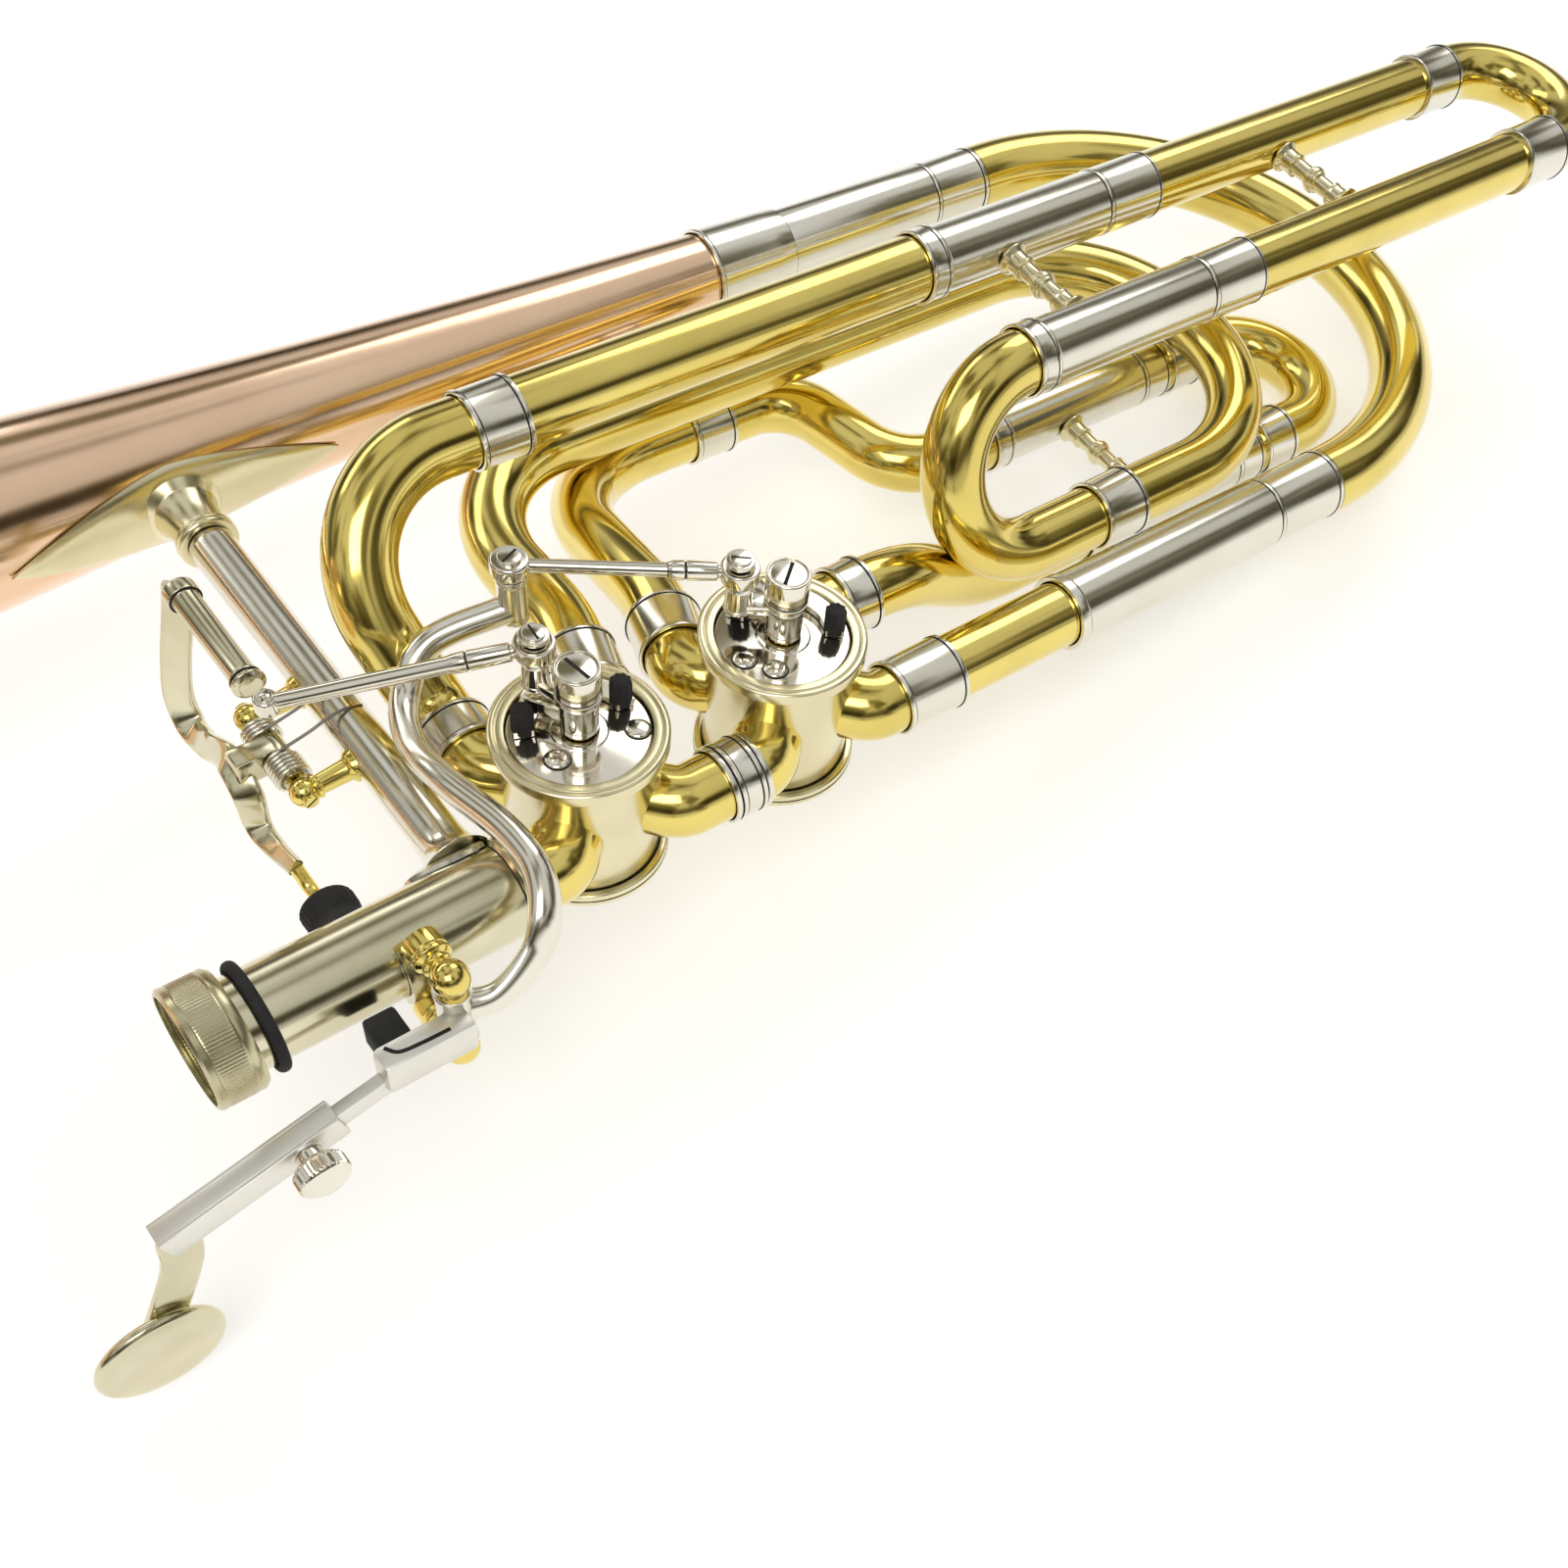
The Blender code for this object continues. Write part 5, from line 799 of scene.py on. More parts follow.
def stopArmPiece(number):
    def build(shape):
        x = valveX[number]
        at = (x, valve["offset"], 0)
        hub, cup, top = stopArm["hub"], stopArm["cup"], stopArm["hubTop"]
        foot, low = stopArm["hubLow"], stopArm["cupLow"]
        stations = [(foot, hub - 0.5), (foot + 0.5, hub), (low - 1.7, hub), (low - 1.5, hub - 0.3),
                    (low - 0.9, hub - 0.3), (low - 0.6, cup - 0.35), (low - 0.2, cup), (low + 0.9, cup),
                    (low + 1.1, cup - 0.2), (low + 1.4, cup - 0.2), (low + 1.6, cup), (top - 0.3, cup),
                    (top, cup - 0.25), (top, cup - 0.6), (top - 0.6, cup - 0.7), (top - 0.6, 0.5)]
        plug(shape, stations, at, (0, 0, 1), steps=72, soften=0.12, seams=(low - 1.2, low + 1.25))
        screwHead(shape, (x, valve["offset"], top - 0.65), (0, 0, 1), cup - 1.0, 0, 1,
                  stopArm["slotTurn"][number], 0.4)
        place = outwards(x, stopArm["postAngle"][number])
        half = stopArm["armWidth"] / 2
        low = stopArm["armLow"]
        block(shape, (1.5, -half, low), (stopArm["orbit"], half, low + stopArm["armThick"]), place, 0, 0.5)
        place = outwards(x, stopArm["lugAngle"][number])
        half = stopArm["lugWidth"] / 2
        low = stopArm["lugLow"]
        block(shape, (1.5, -half, low), (stopArm["lugReach"], half, low + stopArm["lugThick"]), place, 0, 0.5)
        spot = orbit(x, stopArm["postAngle"][number], stopArm["orbit"])
        profile = postProfile(stopArm["armLow"])
        plug(shape, profile, spot, (0, 0, 1), steps=64)
        spot.z = profile[-1][0] - 0.1
        screwHead(shape, spot, (0, 0, 1), stopArm["post"] - 0.9, 0, 1, 0.5 + number, 0.6)
    return build


def bumperPair(number):
    def build(shape):
        x = valveX[number]
        rest = stopArm["lugAngle"][number] + bumper["spread"]
        pressed = stopArm["lugAngle"][number] - 90.0 - bumper["spread"]
        low = valve["plateTop"] + gap
        outline = []
        for side in (1, -1):
            for i in range(41):
                t = i / 40 if side == 1 else 1 - i / 40
                angle = math.radians(pressed - 9 + (rest - pressed + 18) * t)
                far = bumper["orbit"] + side * (bumper["radius"] - 0.5)
                outline.append(Vector((far * math.cos(angle), far * math.sin(angle))))
        place = Matrix.Translation((x, valve["offset"], 0))
        made = [[shape.verts.new(place @ Vector((*p, z))) for p in outline]
                for z in (low, low + bumper["plate"])]
        count = len(outline)
        for i in range(count):
            j = (i + 1) % count
            shape.faces.new((made[0][i], made[0][j], made[1][j], made[1][i])).material_index = 1
        half = count // 2
        for ring in made:  # the top and the underside, in short cross strips
            for i in range(half - 1):
                corners = (ring[i], ring[i + 1], ring[count - 2 - i], ring[count - 1 - i])
                shape.faces.new(corners).material_index = 1
        for angle in (rest, pressed):
            spot = orbit(x, angle, bumper["orbit"])
            stations = [(low, bumper["radius"] - 0.3), (low + 0.4, bumper["radius"] - 0.15)]
            stations += [(low + 0.4 + 0.7 * i, bumper["radius"] - 0.1) for i in range(1, 9)]
            stations += [(bumper["top"] - 0.5, bumper["radius"] - 0.15), (bumper["top"], bumper["radius"] - 0.7)]
            plug(shape, stations, spot, (0, 0, 1), finish=0, steps=90, soften=0,
                 ripple=lambda a, h: -bumper["rib"] * (0.5 + 0.5 * math.cos(bumper["ribs"] * a)))
    return build


for number in (1, 2):
    makePiece(f"stopArm{number}", stopArmPiece(number), f"valve_{number}", [f"valve_{number}_stop_arm"],
              ["brightNickel", "paintedRecessShade"])
    makePiece(f"bumpers{number}", bumperPair(number), "instrument", [f"valve_{number}_bumpers"],
              ["blackRubber", "brightNickel"])
print("stop arms and bumpers made")

# the F loop, which lies above the valves
fTubing = {
    "upperY": 85.2, "lowerY": 43.8, "z": 40.2, "ferrule": (15.3, 28.0), "outerX": 142.0,
    "lowerOuterX": 143.0, "legEnd": 203.0, "collarEnd": 222.0, "tubeEnd": 333.0,
    "ferruleEnd": 348.0, "lowerFerruleEnd": 350.5, "engaged": 50.0, "outerBraceX": 168.2,
    "slideBraceX": 270.5, "returnY": 25.4, "returnZ": -4.0, "smallBowX": 142.5,
    "smallFerrule": (162.0, 176.0), "returnFarX": 242.0, "returnBackY": 114.0, "returnBend": 43.0,
    "bendCornerX": -25.0, "outTurnY": 50.0, "returnLean": 29.7,
}


def ferrule(low, high, bore, at, axis=(1, 0, 0), lip=0.3):
    def build(shape):
        outer = lipped(low, high, bore + tubing["wall"], lip)
        sleeve(shape, outer, [(low, bore), (high, bore)], at, axis, seams=lipShadeLines(low, high))
    return build


def outerLeg(start, end, at):
    def build(shape):
        bore = tubing["loopInner"] + gap
        seat = start + tubing["socketDepth"]
        thick = tubing["loopOuter"]
        outer = [(start, tubing["ferrule"] + 0.15), (start + 1.0, tubing["ferrule"] + 0.15),
                 (start + 1.2, tubing["ferrule"] - 0.1), (seat - 1.2, tubing["ferrule"] - 0.1),
                 (seat - 0.9, tubing["ferrule"] + 0.05), (seat, tubing["ferrule"] + 0.05),
                 (seat + 0.6, thick), (end, thick)]
        inner = [(start, tubing["socketBore"]), (seat, tubing["socketBore"]), (seat + 1.0, bore),
                 (end, bore)]
        sleeve(shape, outer, inner, at, soften=0.18, seams=(start + 1.1, seat - 1.0))
    return build


def slideLeg(legEnd, engaged, collar, tubeEnd, ferruleEnd, at):
    # nickel inner leg, collar and bow ferrule, with a brass tube between
    def build(shape):
        start = legEnd - engaged
        stop = legEnd + gap
        inside, thick = tubing["loopInner"], tubing["loopOuter"] + 0.1
        bore = inside - tubing["thinWall"]
        outer = [(start, inside), (stop, inside), (stop, thick + 0.15), (stop + 1.0, thick + 0.15),
                 (stop + 1.3, thick), (collar - 0.9, thick), (collar - 0.6, thick + 0.15), (collar, thick + 0.15),
                 (collar, tubing["loop"] - 0.05)]
        sleeve(shape, outer, [(start, bore), (collar, bore)], at, finish=1, soften=0.15,
               seams=(stop + 1.15, collar - 0.75, collar))
        sleeve(shape, [(collar - 0.5, tubing["loop"]), (tubeEnd + 0.5, tubing["loop"])],
               [(collar - 0.5, bore), (tubeEnd + 0.5, bore)], at, soften=0)
        seat = ferruleEnd - tubing["socketDepth"]
        ferruleSkin = lipped(tubeEnd, ferruleEnd, tubing["ferrule"] - 0.15, 0.25)
        sleeve(shape, ferruleSkin, [(tubeEnd, bore), (seat, bore), (seat, tubing["socketBore"]),
                                    (ferruleEnd, tubing["socketBore"])], at, finish=1, soften=0.15,
               seams=lipShadeLines(tubeEnd, ferruleEnd))
    return build


def stay(x, low, high, z):
    def build(shape):
        middle = (low + high) / 2
        foot, thin, ring = 4.4, 2.4, 3.6
        stations = [(low, foot), (low + 0.5, foot), (low + 1.2, foot - 0.9), (low + 1.6, 3.1),
                    (low + 4.4, 3.0), (low + 4.8, 3.25), (low + 5.4, 3.25), (low + 5.7, thin),
                    (middle - 2.0, thin), (middle - 1.6, ring - 0.5), (middle - 0.9, ring - 0.5),
                    (middle - 0.7, ring), (middle + 0.7, ring), (middle + 0.9, ring - 0.5),
                    (middle + 1.6, ring - 0.5), (middle + 2.0, thin), (high - 5.7, thin),
                    (high - 5.4, 3.25), (high - 4.8, 3.25), (high - 4.4, 3.0), (high - 1.6, 3.1),
                    (high - 1.2, foot - 0.9), (high - 0.5, foot), (high, foot)]
        plug(shape, stations, (x, 0, z), (0, 1, 0), steps=56, soften=0.15)
    return build


def pipe(path, radius, factors=None):
    def build(shape):
        sweep(shape, path, radius, sides=48, factors=factors)
    return build


f = fTubing
upper = (0, f["upperY"], f["z"])
lower = (0, f["lowerY"], f["z"])
tubeStart = f["ferrule"][0] + tubing["socketDepth"] + gap
fOutCorner, fOutEnd = Vector((-15.7, 31.5, 0)), Vector((-15.7, 39.4, 0))
fOutPath = filleted([fOutEnd + Vector((0, gap, 0)), (fOutCorner.x, f["outTurnY"], 0),
                     (f["bendCornerX"], f["upperY"], f["z"]),
                     (tubeStart - gap, f["upperY"], f["z"])], [12.0, 28.0])
fOutFerrule = ferrule(fOutCorner.y + 3.5, f["outTurnY"] - 5.7, tubing["main"] + gap,
                      (fOutCorner.x, 0, 0), (0, 1, 0))


def fLongTube(shape):
    bore = tubing["loop"] - tubing["thinWall"]
    start, high = f["ferrule"]
    end = f["outerX"] + tubing["socketDepth"] - gap
    outer = lipped(start, high, tubing["ferrule"] - 0.1, 0.25)
    sleeve(shape, outer, [(start, tubing["socketBore"]), (tubeStart, tubing["socketBore"]),
                          (tubeStart, bore), (high, bore)], upper, finish=1, soften=0.15,
           seams=lipShadeLines(start, high))
    sleeve(shape, [(high - 0.5, tubing["loop"]), (end, tubing["loop"])],
           [(high - 0.5, bore), (end, bore)], upper, soften=0)


start = Vector((f["lowerOuterX"] + tubing["socketDepth"] - gap, f["lowerY"], f["z"]))
arc = halfCircle((f["smallBowX"], f["lowerY"], f["z"]), (f["smallBowX"], f["returnY"], f["returnZ"]),
                 (-1, 0, 0), 64)
joint = sum(f["smallFerrule"]) / 2
smallBowPath = [start] + arc + [Vector((joint, f["returnY"], f["returnZ"]))]
corner, end = Vector((15.4, 31.2, 0)), Vector((18.3, 42.9, 0))
way = (end - corner).normalized()
returnPath = filleted(
    [(joint + gap, f["returnY"], f["returnZ"]), (f["returnFarX"], f["returnY"], f["returnZ"]),
     (f["returnFarX"], f["returnBackY"], 0), (21.0, f["returnBackY"], 0),
     corner + way * f["returnLean"], end + way * gap],
    [f["returnBend"], f["returnBend"], 34.0, 40.0])
bowX = f["lowerFerruleEnd"] + gap
fBowArc = halfCircle((bowX, f["upperY"], f["z"]), (bowX, f["lowerY"], f["z"]), (1, 0, 0), 64)
fBowPath = [Vector((f["ferruleEnd"] - tubing["socketDepth"] + gap, f["upperY"], f["z"]))] + fBowArc
fBowPath += [Vector((f["lowerFerruleEnd"] - tubing["socketDepth"] + gap, f["lowerY"], f["z"]))]
footReach = tubing["loopOuter"] + gap
slideReach = tubing["loop"] + gap
brass, nickel = ["lacqueredBrass"], ["nickelSilver"]
both = ["lacqueredBrass", "nickelSilver"]
root = "instrument"

makePiece("fOutFerrule", fOutFerrule, root, ["f_out_ferrule"], nickel)
makePiece("fOutBend", pipe(fOutPath, tubing["loop"]), root, ["f_out_bend"], brass)
makePiece("fLongTube", fLongTube, root, ["f_long_tube"], both)
makePiece("fOuterLegUpper", outerLeg(f["outerX"], f["legEnd"], upper), root, ["f_outer_leg_upper"],
          nickel)
makePiece("fOuterLegLower", outerLeg(f["lowerOuterX"], f["legEnd"], lower), root, ["f_outer_leg_lower"],
          nickel)
makePiece("fSmallBow", pipe(smallBowPath, tubing["loop"]), root, ["f_small_bow"], brass)
makePiece("fSmallBowFerrule", ferrule(*f["smallFerrule"], tubing["socketBore"], (0, f["returnY"], f["returnZ"])),
          root, ["f_small_bow_ferrule"], nickel)
makePiece("fReturnBend", pipe(returnPath, tubing["loop"]), root, ["f_return_bend"], brass)
makePiece("fReturnFerrule", ferrule(6.0, 19.0, tubing["main"] + gap, corner, way), root,
          ["f_return_ferrule"], nickel)
makePiece("fSlideLegUpper", slideLeg(f["legEnd"], f["engaged"], f["collarEnd"], f["tubeEnd"],
          f["ferruleEnd"], upper), "f_slide", ["f_slide_leg_upper"], both)
makePiece("fSlideLegLower", slideLeg(f["legEnd"], f["engaged"], f["collarEnd"], f["tubeEnd"],
          f["lowerFerruleEnd"], lower), "f_slide", ["f_slide_leg_lower"], both)
makePiece("fSlideBow", pipe(fBowPath, tubing["loop"]), "f_slide", ["f_slide_bow"], brass)
makePiece("fSlideBrace", stay(f["slideBraceX"], f["lowerY"] + slideReach, f["upperY"] - slideReach, f["z"]),
          "f_slide", ["f_slide_brace"], ["paleBrass"])
makePiece("fOuterBrace", stay(f["outerBraceX"], f["lowerY"] + footReach, f["upperY"] - footReach, f["z"]),
          root, ["f_outer_brace"], ["paleBrass"])
print("F tubing made")

# the G flat loop, which lies below the valves
gTubing = {
    "upperY": 77.0, "lowerY": 35.5, "z": -21.0, "outerX": 170.0, "legEnd": 228.0, "collarEnd": 240.0,
    "ferruleEnd": 252.0, "bowX": 258.5, "engaged": 48.0, "braceX": 198.0, "joinX": 104.0,
    "joinFerrule": 6.5, "outLean": 28.5, "apex": (54.0, 119.5, -19.5), "dip": (133.0, 120.8, -21.0),
    "sCornerX": 142.0, "turnX": 102.0, "footX": 134.0,
}
g = gTubing
corner, end = Vector((38.0, 31.0, 0)), Vector((41.9, 43.3, -1.37))
way = (end - corner).normalized()
apex, dip = Vector(g["apex"]), Vector(g["dip"])
along = (dip - apex).normalized()
join = apex + along * ((g["joinX"] - apex.x) / along.x)
gOutPath = filleted([end + way * gap, corner + way * g["outLean"], apex, join], [60.0, 36.0])
gBody = filleted([join + along * g["joinFerrule"], dip, (g["sCornerX"], g["upperY"], g["z"]),
                  (g["outerX"] + tubing["socketDepth"] - gap, g["upperY"], g["z"])], [17.0, 17.0])
gReturnPath = filleted([(86.0 + gap, 31.5, 0), (g["turnX"], 31.5, 0), (g["footX"], g["lowerY"], g["z"]),
                        (g["outerX"] + tubing["socketDepth"] - gap, g["lowerY"], g["z"])], [40.0, 40.0])


def gSBend(shape):
    sweep(shape, gBody, tubing["loop"], sides=48)
    reach = g["joinFerrule"]
    sleeve(shape, lipped(-reach, reach, tubing["ferrule"] - 0.1, 0.25),
           [(-reach, tubing["socketBore"]), (reach, tubing["loop"] - 0.2)], join, along, finish=1,
           seams=lipShadeLines(-reach, reach))


gUpper, gLower = (0, g["upperY"], g["z"]), (0, g["lowerY"], g["z"])
gBowStart = g["ferruleEnd"] - tubing["socketDepth"] + gap
gBowPath = [Vector((gBowStart, g["upperY"], g["z"]))]
gBowPath += halfCircle((g["bowX"], g["upperY"], g["z"]), (g["bowX"], g["lowerY"], g["z"]), (1, 0, 0), 64)
gBowPath += [Vector((gBowStart, g["lowerY"], g["z"]))]
makePiece("gOutFerrule", ferrule(7.0, 20.0, tubing["main"] + gap, corner, way), root,
          ["gb_out_ferrule"], nickel)
makePiece("gOutBend", pipe(gOutPath, tubing["loop"]), root, ["gb_out_bend"], brass)
makePiece("gSBend", gSBend, root, ["gb_s_bend"], both)
makePiece("gOuterLegUpper", outerLeg(g["outerX"], g["legEnd"], gUpper), root, ["gb_outer_leg_upper"],
          nickel)
makePiece("gOuterLegLower", outerLeg(g["outerX"], g["legEnd"], gLower), root, ["gb_outer_leg_lower"],
          nickel)
makePiece("gReturnTube", pipe(gReturnPath, tubing["loop"]), root, ["gb_return_tube"], brass)
makePiece("gReturnFerrule", ferrule(81.0, 90.0, tubing["main"] + gap, (0, 31.5, 0)), root,
          ["gb_return_ferrule"], nickel)
makePiece("gBrace", stay(g["braceX"], g["lowerY"] + footReach, g["upperY"] - footReach, g["z"]), root,
          ["gb_brace"], ["paleBrass"])
for name, at in (("upper", gUpper), ("lower", gLower)):
    makePiece("gSlideLeg" + name.title(), slideLeg(g["legEnd"], g["engaged"], g["collarEnd"] - 2.0,
              g["collarEnd"], g["ferruleEnd"], at), "gb_slide", ["gb_slide_leg_" + name],
              both)
makePiece("gSlideBow", pipe(gBowPath, tubing["loop"]), "gb_slide", ["gb_slide_bow"], brass)


branch = {"low": 74.3, "seat": 82.8, "high": 91.6, "far": 133.7, "bore": 7.6}
bridge = {"low": 24.6, "high": 34.4}


def branchTube(shape):
    bore = tubing["main"] + gap
    low, high, far = branch["low"], branch["high"], branch["far"]
    sleeve(shape, lipped(low, high, bore + tubing["wall"] - 0.1, 0.25),
           [(low, bore), (branch["seat"], bore), (branch["seat"], branch["bore"]),
            (high, branch["bore"])], finish=1, soften=0.15, seams=lipShadeLines(low, high))
    sleeve(shape, [(high - 0.5, tubing["main"]), (far, tubing["main"])],
           [(high - 0.5, branch["bore"]), (far, branch["bore"])], soften=0)


def bridgeFerrule(shape):
    # a plain band between two raised and grooved ends
    low, high = bridge["low"], bridge["high"]
    bore = tubing["main"] + gap
    skin = bore + tubing["wall"]
    outer = [(low, skin), (low + 1.2, skin), (low + 1.35, skin - 0.25), (low + 1.6, skin - 0.25),
             (low + 1.75, skin + 0.1), (low + 2.8, skin + 0.1), (low + 3.0, skin - 0.1),
             (high - 3.0, skin - 0.1), (high - 2.8, skin + 0.1), (high - 1.75, skin + 0.1),
             (high - 1.6, skin - 0.25), (high - 1.35, skin - 0.25), (high - 1.2, skin), (high, skin)]
    sleeve(shape, outer, [(low, bore), (high, bore)], soften=0.08,
           seams=(low + 1.5, low + 2.9, high - 2.9, high - 1.5))


makePiece("mainBranchTube", branchTube, root, ["main_branch_tube"], both)
makePiece("bridgeFerrule", bridgeFerrule, root, ["bridge_ferrule"], nickel)
print("G flat tubing made")

# the brace holds the receiver tube to the bell and carries the F lever's hinge
brace = {
    "x": -33.0, "radius": 5.4, "spigot": 4.6, "shoulder": 121.0, "end": 131.0, "socket": 6.3,
    "collar": 7.2, "foot": 1.4, "footLong": 13.0, "footWide": 8.4, "diamondLong": 41.0,
    "diamondWide": 11.0, "pivots": (46.5, 71.0), "post": 2.3, "ball": 3.3,
}
fHinge = {"x": -49.5, "z": -2.0, "radius": 3.2}


def wrappedPlate(shape, outline, radiusAt, centreY, thick, side, finish=0):
    # a thin plate bent round a tube: outline in (along, across), seat radius at each x
    middle = Vector((0, 0))
    rows = 10
    grids = []
    for level in (0.0, thick):
        rings = []
        for row in range(rows + 1):
            share = 1 - row / rows
            ring = []
            for point in outline:
                spot = middle + (Vector(point) - middle) * share
                x = brace["x"] + spot.x
                ease = thick * 0.35 if level and row == 0 else 0.0
                reach = radiusAt(x) + level - ease
                turn = spot.y / radiusAt(x)
                ring.append(Vector((x, centreY + side * reach * math.cos(turn), reach * math.sin(turn))))
            rings.append(ring if share else [ring[0]])
        grids.append(rings)
    addRings(shape, grids[1], finish)
    addRings(shape, grids[0], finish)
    addRings(shape, [grids[0][0], grids[1][0]], finish)


def crossBrace(shape):
    seat = receiver["radius"] + gap
    turns = [2 * math.pi * i / 60 for i in range(60)]
    oval = [(brace["footLong"] * math.cos(t), brace["footWide"] * math.sin(t)) for t in turns]
    wrappedPlate(shape, [(min(x, 4.7), y) for x, y in oval], lambda x: seat, 0.0, brace["foot"], 1)
    r = brace["radius"]
    rim = seat + brace["foot"]
    stations = [(rim - 0.6, r + 3.0), (rim + 0.6, r + 2.0), (rim + 2.4, r + 0.9), (rim + 5.5, r + 0.1),
                (rim + 9.0, r), (brace["shoulder"] - 3.0, r), (brace["shoulder"] - gap, r),
                (brace["shoulder"] - gap, brace["spigot"]), (brace["end"], brace["spigot"])]
    plug(shape, stations, (brace["x"], 0, 0), (0, 1, 0), steps=72, soften=0.3)
    for y, out in zip(brace["pivots"], (-1, 1)):
        start = Vector((brace["x"], y, 0))
        tip = Vector((fHinge["x"], y, fHinge["z"]))
        long = (tip - start).length
        stations = [(r - 1.2, 4.0), (r + 0.4, 3.6), (r + 1.2, 2.6), (long - 3.6, brace["post"]),
                    (long - 3.2, 2.9), (long - 2.2, 2.9)]
        plug(shape, stations, start, tip - start, finish=1, steps=48)
        ball(shape, tip, brace["ball"], 1)
        screwHead(shape, tip + Vector((0, out * (brace["ball"] - 0.6), 0)), (0, out, 0), 1.7, 1, 2, 0.6, 0.7)


def bellFlange(shape):
    wide, long = brace["diamondWide"], brace["diamondLong"]
    outline = []
    for i in range(96):
        t = 2 * math.pi * i / 96
        c, s = math.cos(t), math.sin(t)
        outline.append((long * math.copysign(abs(c) ** 1.35, c), wide * math.copysign(abs(s) ** 1.9, s)))
    wrappedPlate(shape, outline, lambda x: flare(x) + gap, bell["y"], brace["foot"] * 0.8, -1)
    start = brace["shoulder"]
    face = bell["y"] - flare(brace["x"]) - gap
    socket, collar = brace["socket"], brace["collar"]
    outer = [(start, collar - 0.4), (start + 0.5, collar), (start + 0.9, collar),
             (start + 1.1, collar - 0.4), (start + 1.5, collar - 0.4), (start + 1.7, collar),
             (start + 2.6, collar), (start + 3.0, socket), (face - 5.5, socket + 0.3),
             (face - 2.5, socket + 1.3), (face - 0.6, socket + 3.2)]
    inner = [(start, brace["spigot"] + gap), (brace["end"] + gap, brace["spigot"] + gap),
             (brace["end"] + gap, 0.5), (face - 0.6, 0.5)]
    sleeve(shape, outer, inner, (brace["x"], 0, 0), (0, 1, 0), steps=72, soften=0.2)


makePiece("crossBrace", crossBrace, root, ["cross_brace"],
          ["nickelSilver", "lacqueredBrass", "paintedRecessShade"])
makePiece("bellFlange", bellFlange, root, ["bell_flange"], ["paleBrass"])
print("braces made")

# the thumb lever of the F valve
fLever = {
    "barrelX": -51.9, "barrelZ": 24.0, "barrel": (55.9, 86.5), "radius": 3.0, "ring": 3.7,
    "thick": 2.2, "width": 6.6, "facing": (-0.45, -0.6, 0.66), "block": (57.0, 62.5),
    "pad": (-57.0, 22.0, -15.5), "padRadius": 6.2, "padThick": 6.0,
    "link": (-51.5, 50.5, 24.0), "linkBall": 2.6,
    "strip": ((-52.2, 86.7, 25.5), (-53.2, 88.4, 17.0), (-56.0, 89.2, 4.0), (-58.0, 88.3, -6.0),
              (-58.3, 84.5, -12.3), (-58.4, 76.0, -10.3), (-58.2, 64.0, -3.5), (-58.5, 56.0, -6.6),
              (-58.8, 53.0, -14.8), (-58.5, 46.3, -15.4), (-58.0, 37.5, -13.0)),
    "wire": 0.45, "turns": 6.0,
}


def fLeverPiece(shape):
    low = brace["pivots"][0] + brace["ball"] - 0.1
    high = brace["pivots"][1] - brace["ball"] + 0.1
    start, end = fLever["block"]
    thin = fHinge["radius"] - 0.6
    stations = [(low + 0.4, thin), (start - 0.2, thin), (start, fHinge["radius"]),
                (end, fHinge["radius"]), (end + 0.2, thin), (high - 0.4, thin)]
    plug(shape, stations, (fHinge["x"], 0, fHinge["z"]), (0, 1, 0), steps=56)
    block(shape, (fLever["strip"][6][0] - 1.0, start, fHinge["z"] - fHinge["radius"] - 0.4),
          (fHinge["x"], end, fHinge["z"] + fHinge["radius"] + 0.4), None, 0, 0.7)
    a, b = fLever["barrel"]
    r, ring = fLever["radius"], fLever["ring"]
    stations = [(a, r - 0.4), (a + 0.4, r), (a + 0.8, ring), (a + 1.5, ring), (a + 1.7, r + 0.1),
                (a + 2.1, r + 0.1), (a + 2.3, ring - 0.2), (a + 3.0, ring - 0.2), (a + 3.4, r),
                (b - 2.6, r), (b - 2.3, ring), (b + 0.9, ring), (b + 1.3, ring - 0.4)]
    plug(shape, stations, (fLever["barrelX"], 0, fLever["barrelZ"]), (0, 1, 0), steps=56,
         seams=(a + 1.6, a + 2.2, b - 2.45))
    path = smoothPath(fLever["strip"], 12)
    count = len(path) - 1
    sizes = []
    for i in range(count + 1):
        t = i / count
        wide = fLever["width"] * (1.0 - 0.42 * max(0.0, (t - 0.72) / 0.28))
        sizes.append((wide, fLever["thick"]))
    sweepStrip(shape, path, sizes, fLever["facing"], 0, 0.45)
    x, face, z = fLever["pad"]
    knee = Vector((x - 0.3, face + fLever["padThick"] + 5.0, z - 1.0))
    stem = smoothPath([fLever["strip"][-1], knee, (x, face + 2.0, z)], 8)
    sweep(shape, stem, 1.6, 2, sides=28)
    far = face + fLever["padThick"]
    r = fLever["padRadius"]
    stations = [(face, r - 1.6), (face + 0.3, r - 0.7), (face + 1.1, r - 0.1), (far - 1.2, r),
                (far - 0.5, r - 0.3), (far, r - 1.0), (far + 0.05, 2.0)]
    plug(shape, stations, (x, 0, z), (0, 1, 0), finish=1, steps=120, soften=0.2,
         ripple=lambda a, h: 0.12 * math.cos(24 * a) if face + 0.8 < h < far - 0.8 else 0.0)


def coil(shape, centreY, span, radius, wire, turns, finish=0):
    steps = int(turns * 20)
    path = []
    for i in range(steps + 1):
        angle = math.pi / 2 + 2 * math.pi * turns * i / steps
        path.append(Vector((fHinge["x"] + radius * math.cos(angle), centreY + span * i / steps,
                            fHinge["z"] + radius * math.sin(angle))))
    sweep(shape, path, wire, finish, sides=12)
    return path


